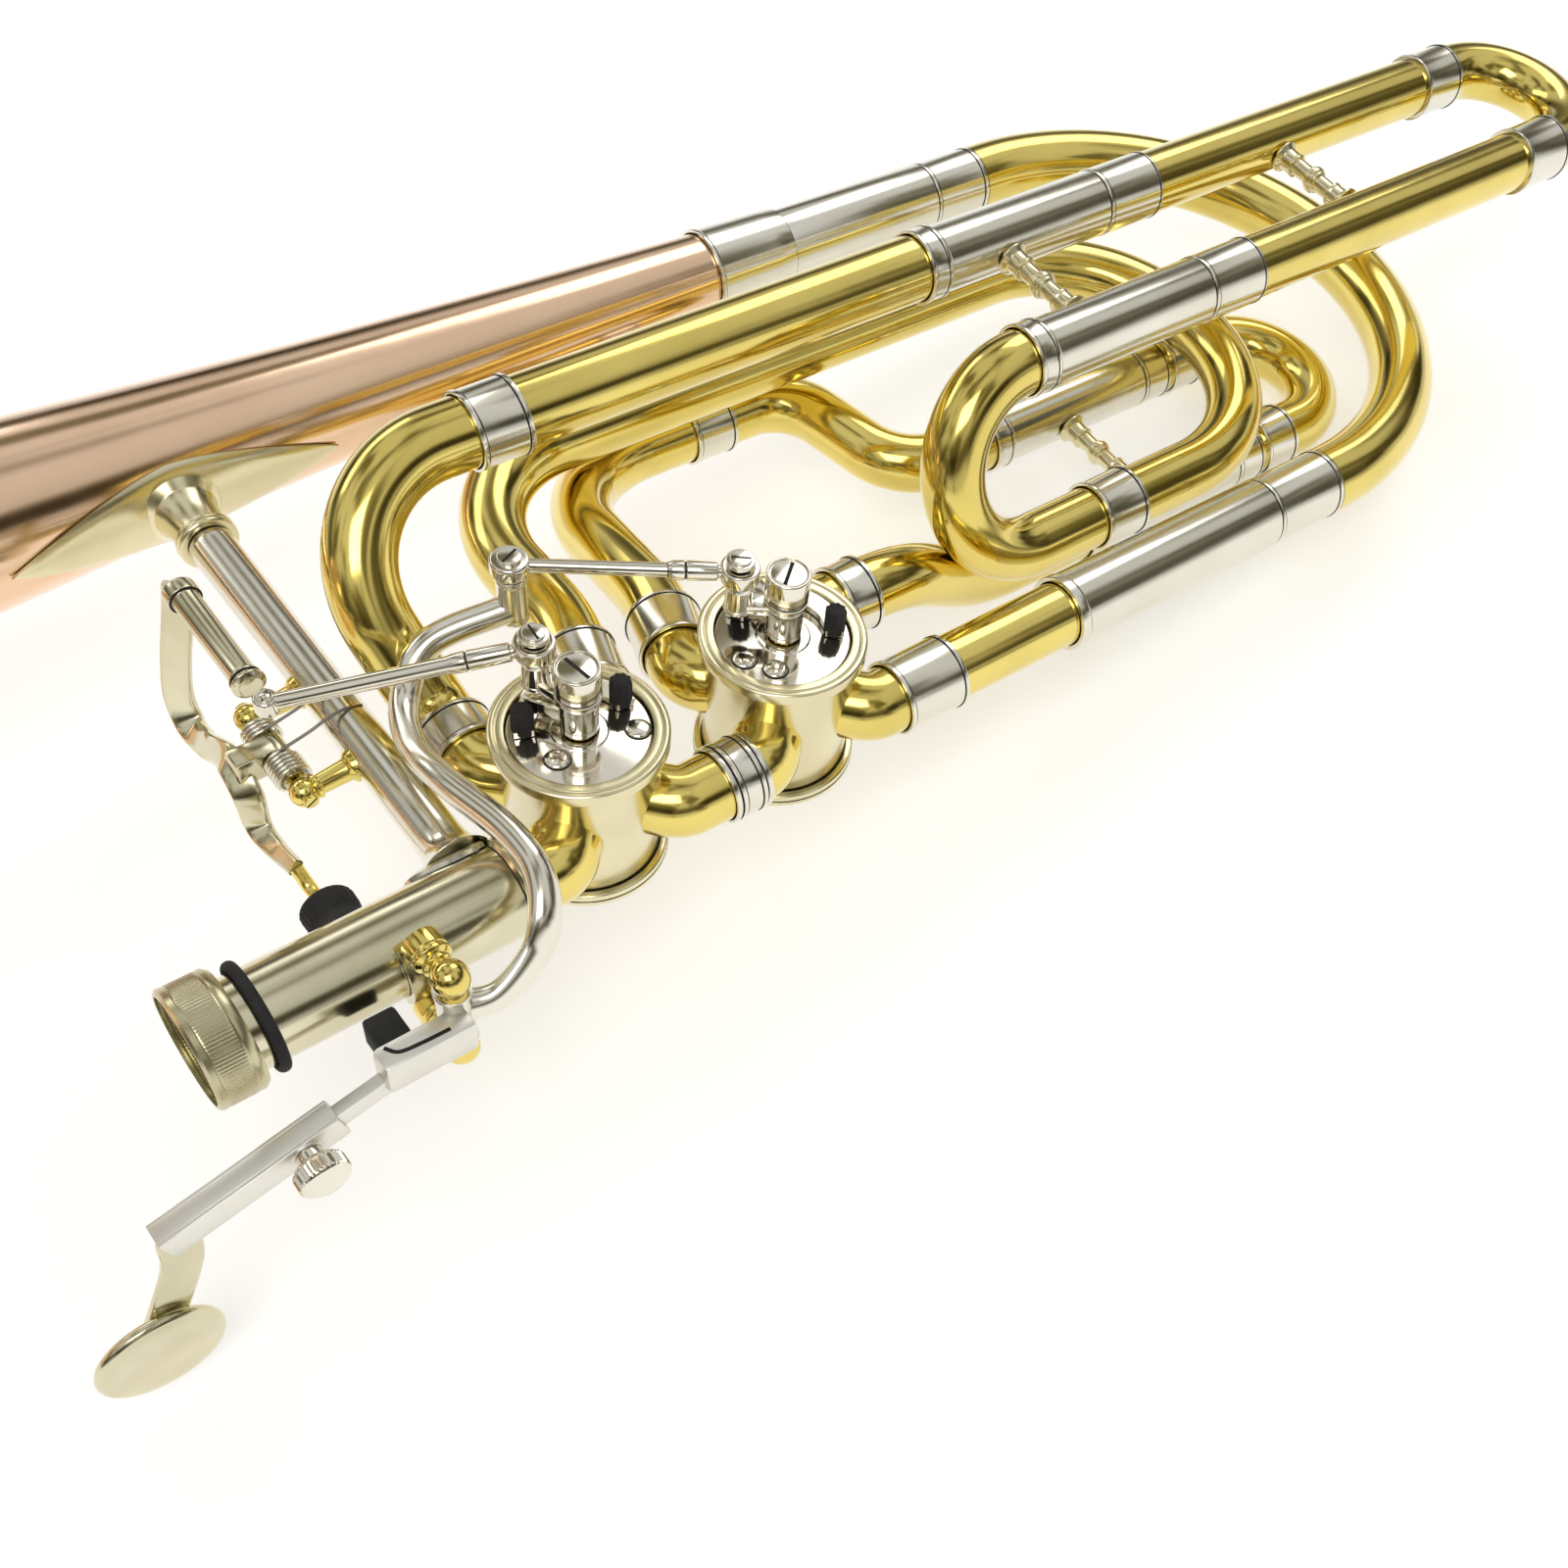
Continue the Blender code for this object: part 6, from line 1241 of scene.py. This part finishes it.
def fSpring(shape):
    # one coil on each side of the lever's block, each with an arm hooked over the brace rod
    wire = fLever["wire"]
    radius = fHinge["radius"] + 0.1 + wire
    low = brace["pivots"][0] + brace["ball"] + 0.7
    high = brace["pivots"][1] - brace["ball"] - 0.7
    start, end = fLever["block"]
    over = brace["radius"] + wire + 0.1
    for near, far in ((start - 0.7, low), (end + 0.7, high)):
        coil(shape, near, far - near, radius, wire, fLever["turns"] * abs(far - near) / 6.6)
        top = Vector((fHinge["x"], near, fHinge["z"] + radius))
        arm = [top, Vector((brace["x"] - 9.0, near, over - 2.2)), Vector((brace["x"] - 5.0, near, over - 0.6)),
               Vector((brace["x"] - 1.0, near, over)), Vector((brace["x"] + 3.4, near + 0.5, over - 1.6))]
        sweep(shape, smoothPath(arm, 8), wire * 0.8, 1, sides=12)


makePiece("fLever", fLeverPiece, "f_lever", ["f_lever"],
          ["champagne", "blackRubber", "lacqueredBrass"])
makePiece("fLeverSprings", fSpring, root, ["f_lever_spring"], ["nickelSilver", "springWire"])
print("F lever made")

# the G flat lever swings on the saddle of the receiver tube
gLever = {
    "x": -52.0, "y": -20.0, "z": (-9.7, 8.7), "radius": 4.0, "ear": 3.4, "rod": 3.2, "post": (4.0, 48.0),
    "barY": -24.5, "barStart": (-64.0, -2.0), "slope": 15.4, "halfThick": 1.5, "halfWide": 2.3,
    "barLong": 40.0, "sleeveStart": 17.5, "sleeveLong": 39.5, "sleeveWall": 1.0, "padY": -14.0,
    "paddle": (-128.2, -54.5), "paddleRadius": 13.6, "paddleThick": 3.0, "screwAt": 8.4,
    "head": 5.4, "headThick": 5.0, "collar": 2.8, "standOff": 2.7, "knurls": 36,
    "drum": 4.1, "ball": 4.0,
    "arm": ((-52.0, -20.0, 2.0), (-43.5, -22.6, 2.5), (-34.0, -21.2, 8.0), (-29.5, -18.0, 14.0),
            (-26.3, -10.0, 17.8), (-26.4, 2.0, 18.3), (-29.6, 18.6, 17.4), (-29.8, 32.6, 14.9),
            (-24.6, 45.2, 14.6), (-14.6, 51.2, 21.0), (4.0, 48.0, 25.0)),
}
slope = math.radians(gLever["slope"])
barAlong = Vector((-math.cos(slope), 0, -math.sin(slope)))
barPlace = Matrix.Translation((gLever["barStart"][0], gLever["barY"], gLever["barStart"][1])) @ Matrix(
    (barAlong, Vector((0, 1, 0)), barAlong.cross(Vector((0, 1, 0))))).transposed().to_4x4()


def gLeverPiece(shape):
    low, high = gLever["z"]
    x, y = gLever["x"], gLever["y"]
    r = gLever["radius"]
    stations = [(low, r), (low + 0.9, r), (low + 1.1, r - 0.25), (high - 1.1, r - 0.25),
                (high - 0.9, r), (high, r)]
    plug(shape, stations, (x, y, 0), (0, 0, 1), steps=56)
    path = smoothPath(gLever["arm"], 10)
    count = len(path) - 1
    sizes = []
    for i in range(count + 1):
        t = i / count
        press = max(0.0, 1.0 - abs(t - 0.22) / 0.2)  # flattened where it wraps the receiver tube
        sizes.append((2 * gLever["rod"] * (1 + 0.16 * press), 2 * gLever["rod"] * (1 - 0.4 * press)))
    rings = []
    ahead, across = carried(path)
    for i, point in enumerate(path):
        away = Vector((0, point.y, point.z))
        out = (away - ahead[i] * away.dot(ahead[i])).normalized()
        side = ahead[i].cross(out)
        turns = [2 * math.pi * j / 36 for j in range(36)]
        wide, thick = sizes[i]
        rings.append([point + side * math.cos(t) * wide / 2 + out * math.sin(t) * thick / 2
                      for t in turns])
    addRings(shape, [[path[0]]] + rings + [[path[-1]]], 0)
    px, py = gLever["post"]
    foot = gLever["arm"][-1][2] - gLever["rod"]
    top = stopArm["eyeLow"] - stopArm["play"]
    post = stopArm["post"]
    stations = [(foot, post), (foot + 1.6, post + 0.2), (foot + 2.4, post), (top - 1.6, post),
                (top - 1.2, post + 0.2), (top, post + 0.2)]
    plug(shape, stations, (px, py, 0), (0, 0, 1), steps=56)
    barY = gLever["barY"]
    start = gLever["barStart"][0]
    block(shape, (start - 7.0, barY - 3.2, -4.5), (x + 1.0, barY + 3.2, 5.0), None, 3, 1.4)
    # a thin dark strip on the block's top: painted shade for a slit
    slit = smoothPath([(start - 4.6, barY + 1.9, 5.0), (start - 2.6, barY - 0.4, 5.0),
                       (start + 2.0, barY - 1.0, 5.0), (x - 4.0, barY - 1.2, 5.0)], 8)
    sweepStrip(shape, slit, (0.9, 0.16), (0, 0, 1), 2, 0.6)
    block(shape, (0, -gLever["halfThick"], -gLever["halfWide"]),
          (gLever["barLong"], gLever["halfThick"], gLever["halfWide"]), barPlace, 3, 0.35)
    block(shape, (-69.0, barY + 3.0, -4.0), (-62.0, gLever["padY"], 4.0), None, 1, 0.8)


def gSaddle(shape):
    low, high = gLever["z"]
    x, y = gLever["x"], gLever["y"]
    seat = receiver["radius"] + gap
    ear = gLever["ear"] + gap
    turns = [math.radians(-90 - 52 + 104 * i / 30) for i in range(31)]
    outline = []  # the saddle is bent round the receiver tube
    for reach, around in ((seat + 0.02, turns), (seat + 1.5, turns[::-1])):
        outline += [Vector((0, reach * math.sin(t), reach * math.cos(t))) for t in around]
    made = []
    for offset in (-4.5, 4.5):
        made.append([shape.verts.new(point + Vector((x + offset, 0, 0))) for point in outline])
    count = len(outline)
    for i in range(count):
        j = (i + 1) % count
        face = shape.faces.new((made[0][i], made[0][j], made[1][j], made[1][i]))
        face.smooth = True
        face.material_index = 1
    half = count // 2
    for side in made:
        for i in range(half - 1):
            corners = (side[i], side[i + 1], side[count - 2 - i], side[count - 1 - i])
            shape.faces.new(corners).material_index = 1
    for z, up in ((high + ear, 1), (low - ear, -1)):
        base = Vector((x, -seat - 0.6, z - up * 1.6))
        away = Vector((0, y + 2.2, z)) - Vector((0, -seat - 0.6, z - up * 1.6))
        long = away.length
        drum = gLever["drum"]
        plug(shape, [(-3.0, drum), (0.7, drum), (0.9, drum - 0.3), (1.3, drum - 0.3), (1.5, drum),
                     (2.3, drum), (2.8, drum - 0.7), (3.2, 2.9), (3.6, 3.2), (4.2, 3.2), (4.5, 2.5), (long - 0.5, 2.4)],
             base, (0, -1, 0), steps=56, soften=0.15)
        ball(shape, (x, y, z), gLever["ball"])
        plug(shape, [(0, 2.6), (ear - 1.0, 2.6)], (x, y, high + 0.2 if up > 0 else low - 0.2),
             (0, 0, up), steps=40)


def gPaddleArm(shape):
    halfThick = gLever["halfThick"] + gap
    halfWide = gLever["halfWide"] + gap
    wall = gLever["sleeveWall"]
    start = gLever["sleeveStart"]
    end = start + gLever["sleeveLong"]
    for low, high in (((start, -halfThick - wall, -halfWide - wall), (end, -halfThick, halfWide + wall)),
                      ((start, halfThick, -halfWide - wall), (end, halfThick + wall, halfWide + wall)),
                      ((start, -halfThick - 0.3, halfWide), (end, halfThick + 0.3, halfWide + wall)),
                      ((start, -halfThick - 0.3, -halfWide - wall), (end, halfThick + 0.3, -halfWide)),
                      ((end - 2.0, -halfThick, -halfWide), (end - 0.2, halfThick, halfWide))):
        block(shape, low, high, barPlace, 0, 0.3)
    tip = barPlace @ Vector((end - 3.5, 0, 0))
    px, pz = gLever["paddle"]
    path = smoothPath([tip + Vector((0.6, 0, -1.0)), tip + Vector((-0.4, 0, -3.4)),
                       (tip.x - 2.0, tip.y, tip.z - 14.0),
                       (px + 2.0, tip.y, pz + 4.0)], 10)
    wide = [(min(8.6, 5.0 + 0.4 * i), 2.4) for i in range(len(path))]
    sweepStrip(shape, path, wide, (0, 1, 0), 1, 0.5)
    near = gLever["barY"] - 0.8
    r = gLever["paddleRadius"]
    thick = gLever["paddleThick"]
    stations = [(near - thick + 0.5, 0.0), (near - thick + 0.45, 6.0), (near - thick + 0.2, 9.5),
                (near - thick, r - 1.6), (near - thick + 0.2, r - 0.7), (near - thick + 0.9, r - 0.1),
                (near - 1.2, r), (near - 0.4, r - 0.4), (near, r - 1.2), (near, 0.0)]
    lathe(shape, stations, (px, 0, pz), (0, 1, 0), finish=1, steps=96, soften=0.3)
    spot = barPlace @ Vector((start + gLever["screwAt"], 0, 0))
    face = gLever["barY"] - halfThick - wall
    plug(shape, [(face - 0.5, 3.4), (face + 0.2, 3.6)], (spot.x, 0, spot.z), (0, 1, 0), steps=48)


def thumbscrew(shape):
    spot = barPlace @ Vector((gLever["sleeveStart"] + gLever["screwAt"], 0, 0))
    face = gLever["barY"] - gLever["halfThick"] - gap - gLever["sleeveWall"]
    head = face - gap - gLever["standOff"]
    r = gLever["head"] - 0.15
    far = head - gLever["headThick"]
    stations = [(far, 2.6), (far, r - 1.1), (far + 0.5, r - 0.3), (far + 0.8, r - 0.15)]
    stations += [(far + 0.95 + 0.6 * i, r - 0.05) for i in range(6)]
    stations += [(head - 0.8, r - 0.15), (head - 0.4, r - 0.4), (head, r - 1.2),
                 (head, gLever["collar"]), (face - 0.6, gLever["collar"])]
    plug(shape, stations, (spot.x, 0, spot.z), (0, 1, 0), steps=gLever["knurls"] * 4, soften=0,
         ripple=lambda a, h: 0.2 * math.cos(a * gLever["knurls"]) if far + 0.9 < h < head - 0.9 else 0.0)


makePiece("gLever", gLeverPiece, "gb_lever", ["gb_lever"],
          ["nickelSilver", "blackRubber", "paintedRecessShade", "satinNickel"])
makePiece("gLeverSaddle", gSaddle, root, ["gb_lever_saddle"], ["lacqueredBrass", "champagne"])
makePiece("gPaddleArm", gPaddleArm, "gb_paddle", ["gb_paddle_arm"],
          ["satinNickel", "champagne"])
makePiece("gThumbscrew", thumbscrew, "gb_thumbscrew", ["gb_thumbscrew"], ["brightNickel"])
print("G flat lever made")

# each rod joins a stop arm to its lever
linkRod = {"thin": {1: 1.75, 2: 1.5}, "thick": 2.1, "share": 0.32, "eyeWall": 1.6, "fit": 0.4}


def linkPiece(number, far, farBuild):
    def build(shape):
        spot = orbit(valveX[number], stopArm["postAngle"][number], stopArm["orbit"])
        low = stopArm["eyeLow"]
        high = low + stopArm["eyeThick"]
        bore = stopArm["journal"] + linkRod["fit"]
        rim = bore + linkRod["eyeWall"]
        sleeve(shape, [(low, rim - 0.2), (low + 0.4, rim), (high - 0.4, rim), (high, rim - 0.2)],
               [(low, bore), (high, bore)], spot, (0, 0, 1), steps=56)
        start = spot + Vector((0, 0, (low + high) / 2))
        end = Vector(far)
        long = (end - start).length
        thick, thin = linkRod["thick"], linkRod["thin"][number]
        turn = linkRod["share"] * long
        stations = [(rim - 0.6, 1.4), (rim + 0.3, 1.4), (rim + 0.6, thick - 0.1), (turn - 4.2, thick + 0.1),
                    (turn - 4.0, thick - 0.25), (turn - 3.7, thick - 0.25), (turn - 3.5, thick + 0.1),
                    (turn - 1.0, thick), (turn, thin + 0.1), (long - 6.0, thin), (long - 1.0, thin)]
        plug(shape, stations, start, end - start, steps=48, soften=0.1, seams=(turn - 3.85, turn))
        farBuild(shape, end)
    return build


def fRodEnd(shape, at):
    # a small clevis barrel with a slotted screw over the lever's barrel end
    ball(shape, at, fLever["linkBall"])
    plug(shape, [(-2.2, 2.0), (-1.6, 2.6), (1.7, 2.6), (2.1, 2.2)], at, (0, 0, 1), steps=48)
    screwHead(shape, at + Vector((0, 0, 1.9)), (0, 0, 1), 1.7, 0, 1, 0.8, 0.5)


def gRodEnd(shape, at):
    low = stopArm["eyeLow"]
    high = low + stopArm["eyeThick"]
    r = stopArm["post"] + 1.0
    plug(shape, [(low, r - 0.3), (low + 0.4, r), (high - 0.5, r), (high, r - 0.4)],
         (at.x, at.y, 0), (0, 0, 1), steps=56)
    screwHead(shape, (at.x, at.y, high - 0.1), (0, 0, 1), 2.6, 0, 1, 0.4, 0.9)


fFar = Vector(fLever["link"])
gFar = Vector((*gLever["post"], stopArm["eyeLow"] + stopArm["eyeThick"] / 2))
makePiece("fRod", linkPiece(1, fFar, fRodEnd), "f_rod", ["f_rod"], ["brightNickel", "paintedRecessShade"])
makePiece("gRod", linkPiece(2, gFar, gRodEnd), "gb_rod", ["gb_rod"], ["brightNickel", "paintedRecessShade"])
print("link rods made")

# floor, light and camera
studio = {
    "floorSize": 14.0, "floorLevel": -0.0006, "floorColour": (0.87, 0.87, 0.865), "glow": 0.46,
    "worldStrength": 0.8, "backdrop": (0.863, 0.863, 0.839),
    "sky": ((0.10, (0.86, 0.86, 0.86)), (0.20, (0.13, 0.12, 0.09)), (0.36, (0.20, 0.18, 0.13)),
            (0.50, (0.80, 0.80, 0.78)), (0.80, (0.92, 0.92, 0.92))),
    "patch": (0.24, 0.22, 0.13), "patchScale": 2.3,
    "key": {"at": (-0.55, -0.9, 1.5), "size": (0.9, 0.7), "power": 7.0},
    "fill": {"at": (1.3, 0.6, 1.3), "size": (0.8, 0.9), "power": 4.0},
    "back": {"at": (-0.2, 1.4, 1.1), "size": (1.4, 0.4), "power": 3.0},
}


def whiteFloor():
    made = bpy.data.materials.new("whiteFloor")
    made.use_nodes = True
    tree = made.node_tree
    shader = tree.nodes["Principled BSDF"]
    shader.inputs["Roughness"].default_value = 0.9
    shader.inputs["Specular IOR Level"].default_value = 0.0
    drift = tree.nodes.new("ShaderNodeTexNoise")
    drift.inputs["Scale"].default_value = 2.0
    ramp = tree.nodes.new("ShaderNodeValToRGB")
    low, high = studio["floorColour"], [min(1.0, c + 0.02) for c in studio["floorColour"]]
    ramp.color_ramp.elements[0].color = (*low, 1)
    ramp.color_ramp.elements[1].color = (*high, 1)
    link(tree, drift.outputs["Fac"], ramp.inputs["Fac"])
    link(tree, ramp.outputs["Color"], shader.inputs["Base Color"])
    rays = tree.nodes.new("ShaderNodeLightPath")
    seen = tree.nodes.new("ShaderNodeMath")
    seen.operation = "MAXIMUM"
    link(tree, rays.outputs["Is Camera Ray"], seen.inputs[0])
    link(tree, rays.outputs["Is Glossy Ray"], seen.inputs[1])
    through = tree.nodes.new("ShaderNodeMath")
    through.operation = "MAXIMUM"
    link(tree, seen.outputs["Value"], through.inputs[0])
    link(tree, rays.outputs["Is Transmission Ray"], through.inputs[1])
    glow = tree.nodes.new("ShaderNodeEmission")
    glow.inputs["Strength"].default_value = studio["glow"]
    black = tree.nodes.new("ShaderNodeEmission")
    black.inputs["Strength"].default_value = 0.0
    chosen = tree.nodes.new("ShaderNodeMixShader")
    link(tree, through.outputs["Value"], chosen.inputs["Fac"])
    link(tree, black.outputs["Emission"], chosen.inputs[1])
    link(tree, glow.outputs["Emission"], chosen.inputs[2])
    both = tree.nodes.new("ShaderNodeAddShader")
    link(tree, shader.outputs["BSDF"], both.inputs[0])
    link(tree, chosen.outputs["Shader"], both.inputs[1])
    link(tree, both.outputs["Shader"], tree.nodes["Material Output"].inputs["Surface"])
    return made


bpy.ops.mesh.primitive_plane_add(size=studio["floorSize"], location=(0, 0, studio["floorLevel"]))
floor = bpy.context.object
floor.name = "floor"
floor.data.materials.append(whiteFloor())

world = bpy.data.worlds.new("studioWorld")
bpy.context.scene.world = world
world.use_nodes = True
tree = world.node_tree
sky = tree.nodes["Background"]
place = tree.nodes.new("ShaderNodeTexCoord")
split = tree.nodes.new("ShaderNodeSeparateXYZ")
ramp = tree.nodes.new("ShaderNodeValToRGB")
stops = ramp.color_ramp.elements
while len(stops) < len(studio["sky"]):
    stops.new(0.5)
for stop, (height, colour) in zip(stops, studio["sky"]):
    stop.position = height
    stop.color = (*colour, 1)
link(tree, place.outputs["Generated"], split.inputs["Vector"])
link(tree, split.outputs["Z"], ramp.inputs["Fac"])
clouds = tree.nodes.new("ShaderNodeTexNoise")
clouds.inputs["Scale"].default_value = studio["patchScale"]
clouds.inputs["Detail"].default_value = 1.0
link(tree, place.outputs["Generated"], clouds.inputs["Vector"])
spread = tree.nodes.new("ShaderNodeMapRange")
spread.inputs["From Min"].default_value = 0.50
spread.inputs["From Max"].default_value = 0.62
link(tree, clouds.outputs["Fac"], spread.inputs["Value"])
shaded = tree.nodes.new("ShaderNodeMix")
shaded.data_type = "RGBA"
shaded.blend_type = "MULTIPLY"
shaded.inputs["B"].default_value = (*studio["patch"], 1)
link(tree, spread.outputs["Result"], shaded.inputs["Factor"])
link(tree, ramp.outputs["Color"], shaded.inputs["A"])
link(tree, shaded.outputs["Result"], sky.inputs["Color"])
sky.inputs["Strength"].default_value = studio["worldStrength"]

# the camera sees a plain backdrop as pale as the far floor, the metal the soft boxes and dark flags
backdrop = tree.nodes.new("ShaderNodeBackground")
backdrop.inputs["Color"].default_value = (*studio["backdrop"], 1)
seen = tree.nodes.new("ShaderNodeMixShader")
rays = tree.nodes.new("ShaderNodeLightPath")
link(tree, rays.outputs["Is Camera Ray"], seen.inputs["Fac"])
link(tree, sky.outputs["Background"], seen.inputs[1])
link(tree, backdrop.outputs["Background"], seen.inputs[2])
link(tree, seen.outputs["Shader"], tree.nodes["World Output"].inputs["Surface"])

for name in ("key", "fill", "back"):
    values = studio[name]
    data = bpy.data.lights.new(name, "AREA")
    data.shape = "RECTANGLE"
    data.size, data.size_y = values["size"]
    data.energy = values["power"]
    lamp = bpy.data.objects.new(name, data)
    lamp.location = values["at"]
    lamp.rotation_euler = (Vector((0.0, 0.0, 0.05)) - Vector(values["at"])).to_track_quat("-Z", "Y").to_euler()
    bpy.context.scene.collection.objects.link(lamp)

view = {
    "at": (-0.1001068, -0.3525982, 0.3699596),
    "turn": (0.8997740, 0.2727142, -0.0965082, -0.3266801),
    "lens": 41.0247, "shift": (-0.12597, 0.10533),
}
cameraData = bpy.data.cameras.new("camera")
cameraData.sensor_width = 36.0
cameraData.lens = view["lens"]
cameraData.shift_x, cameraData.shift_y = view["shift"]
cameraData.clip_start = 0.01
camera = bpy.data.objects.new("camera", cameraData)
camera.location = view["at"]
camera.rotation_mode = "QUATERNION"
camera.rotation_quaternion = view["turn"]
bpy.context.scene.collection.objects.link(camera)
bpy.context.scene.camera = camera
bpy.context.scene.view_settings.view_transform = "Standard"
print("studio made")
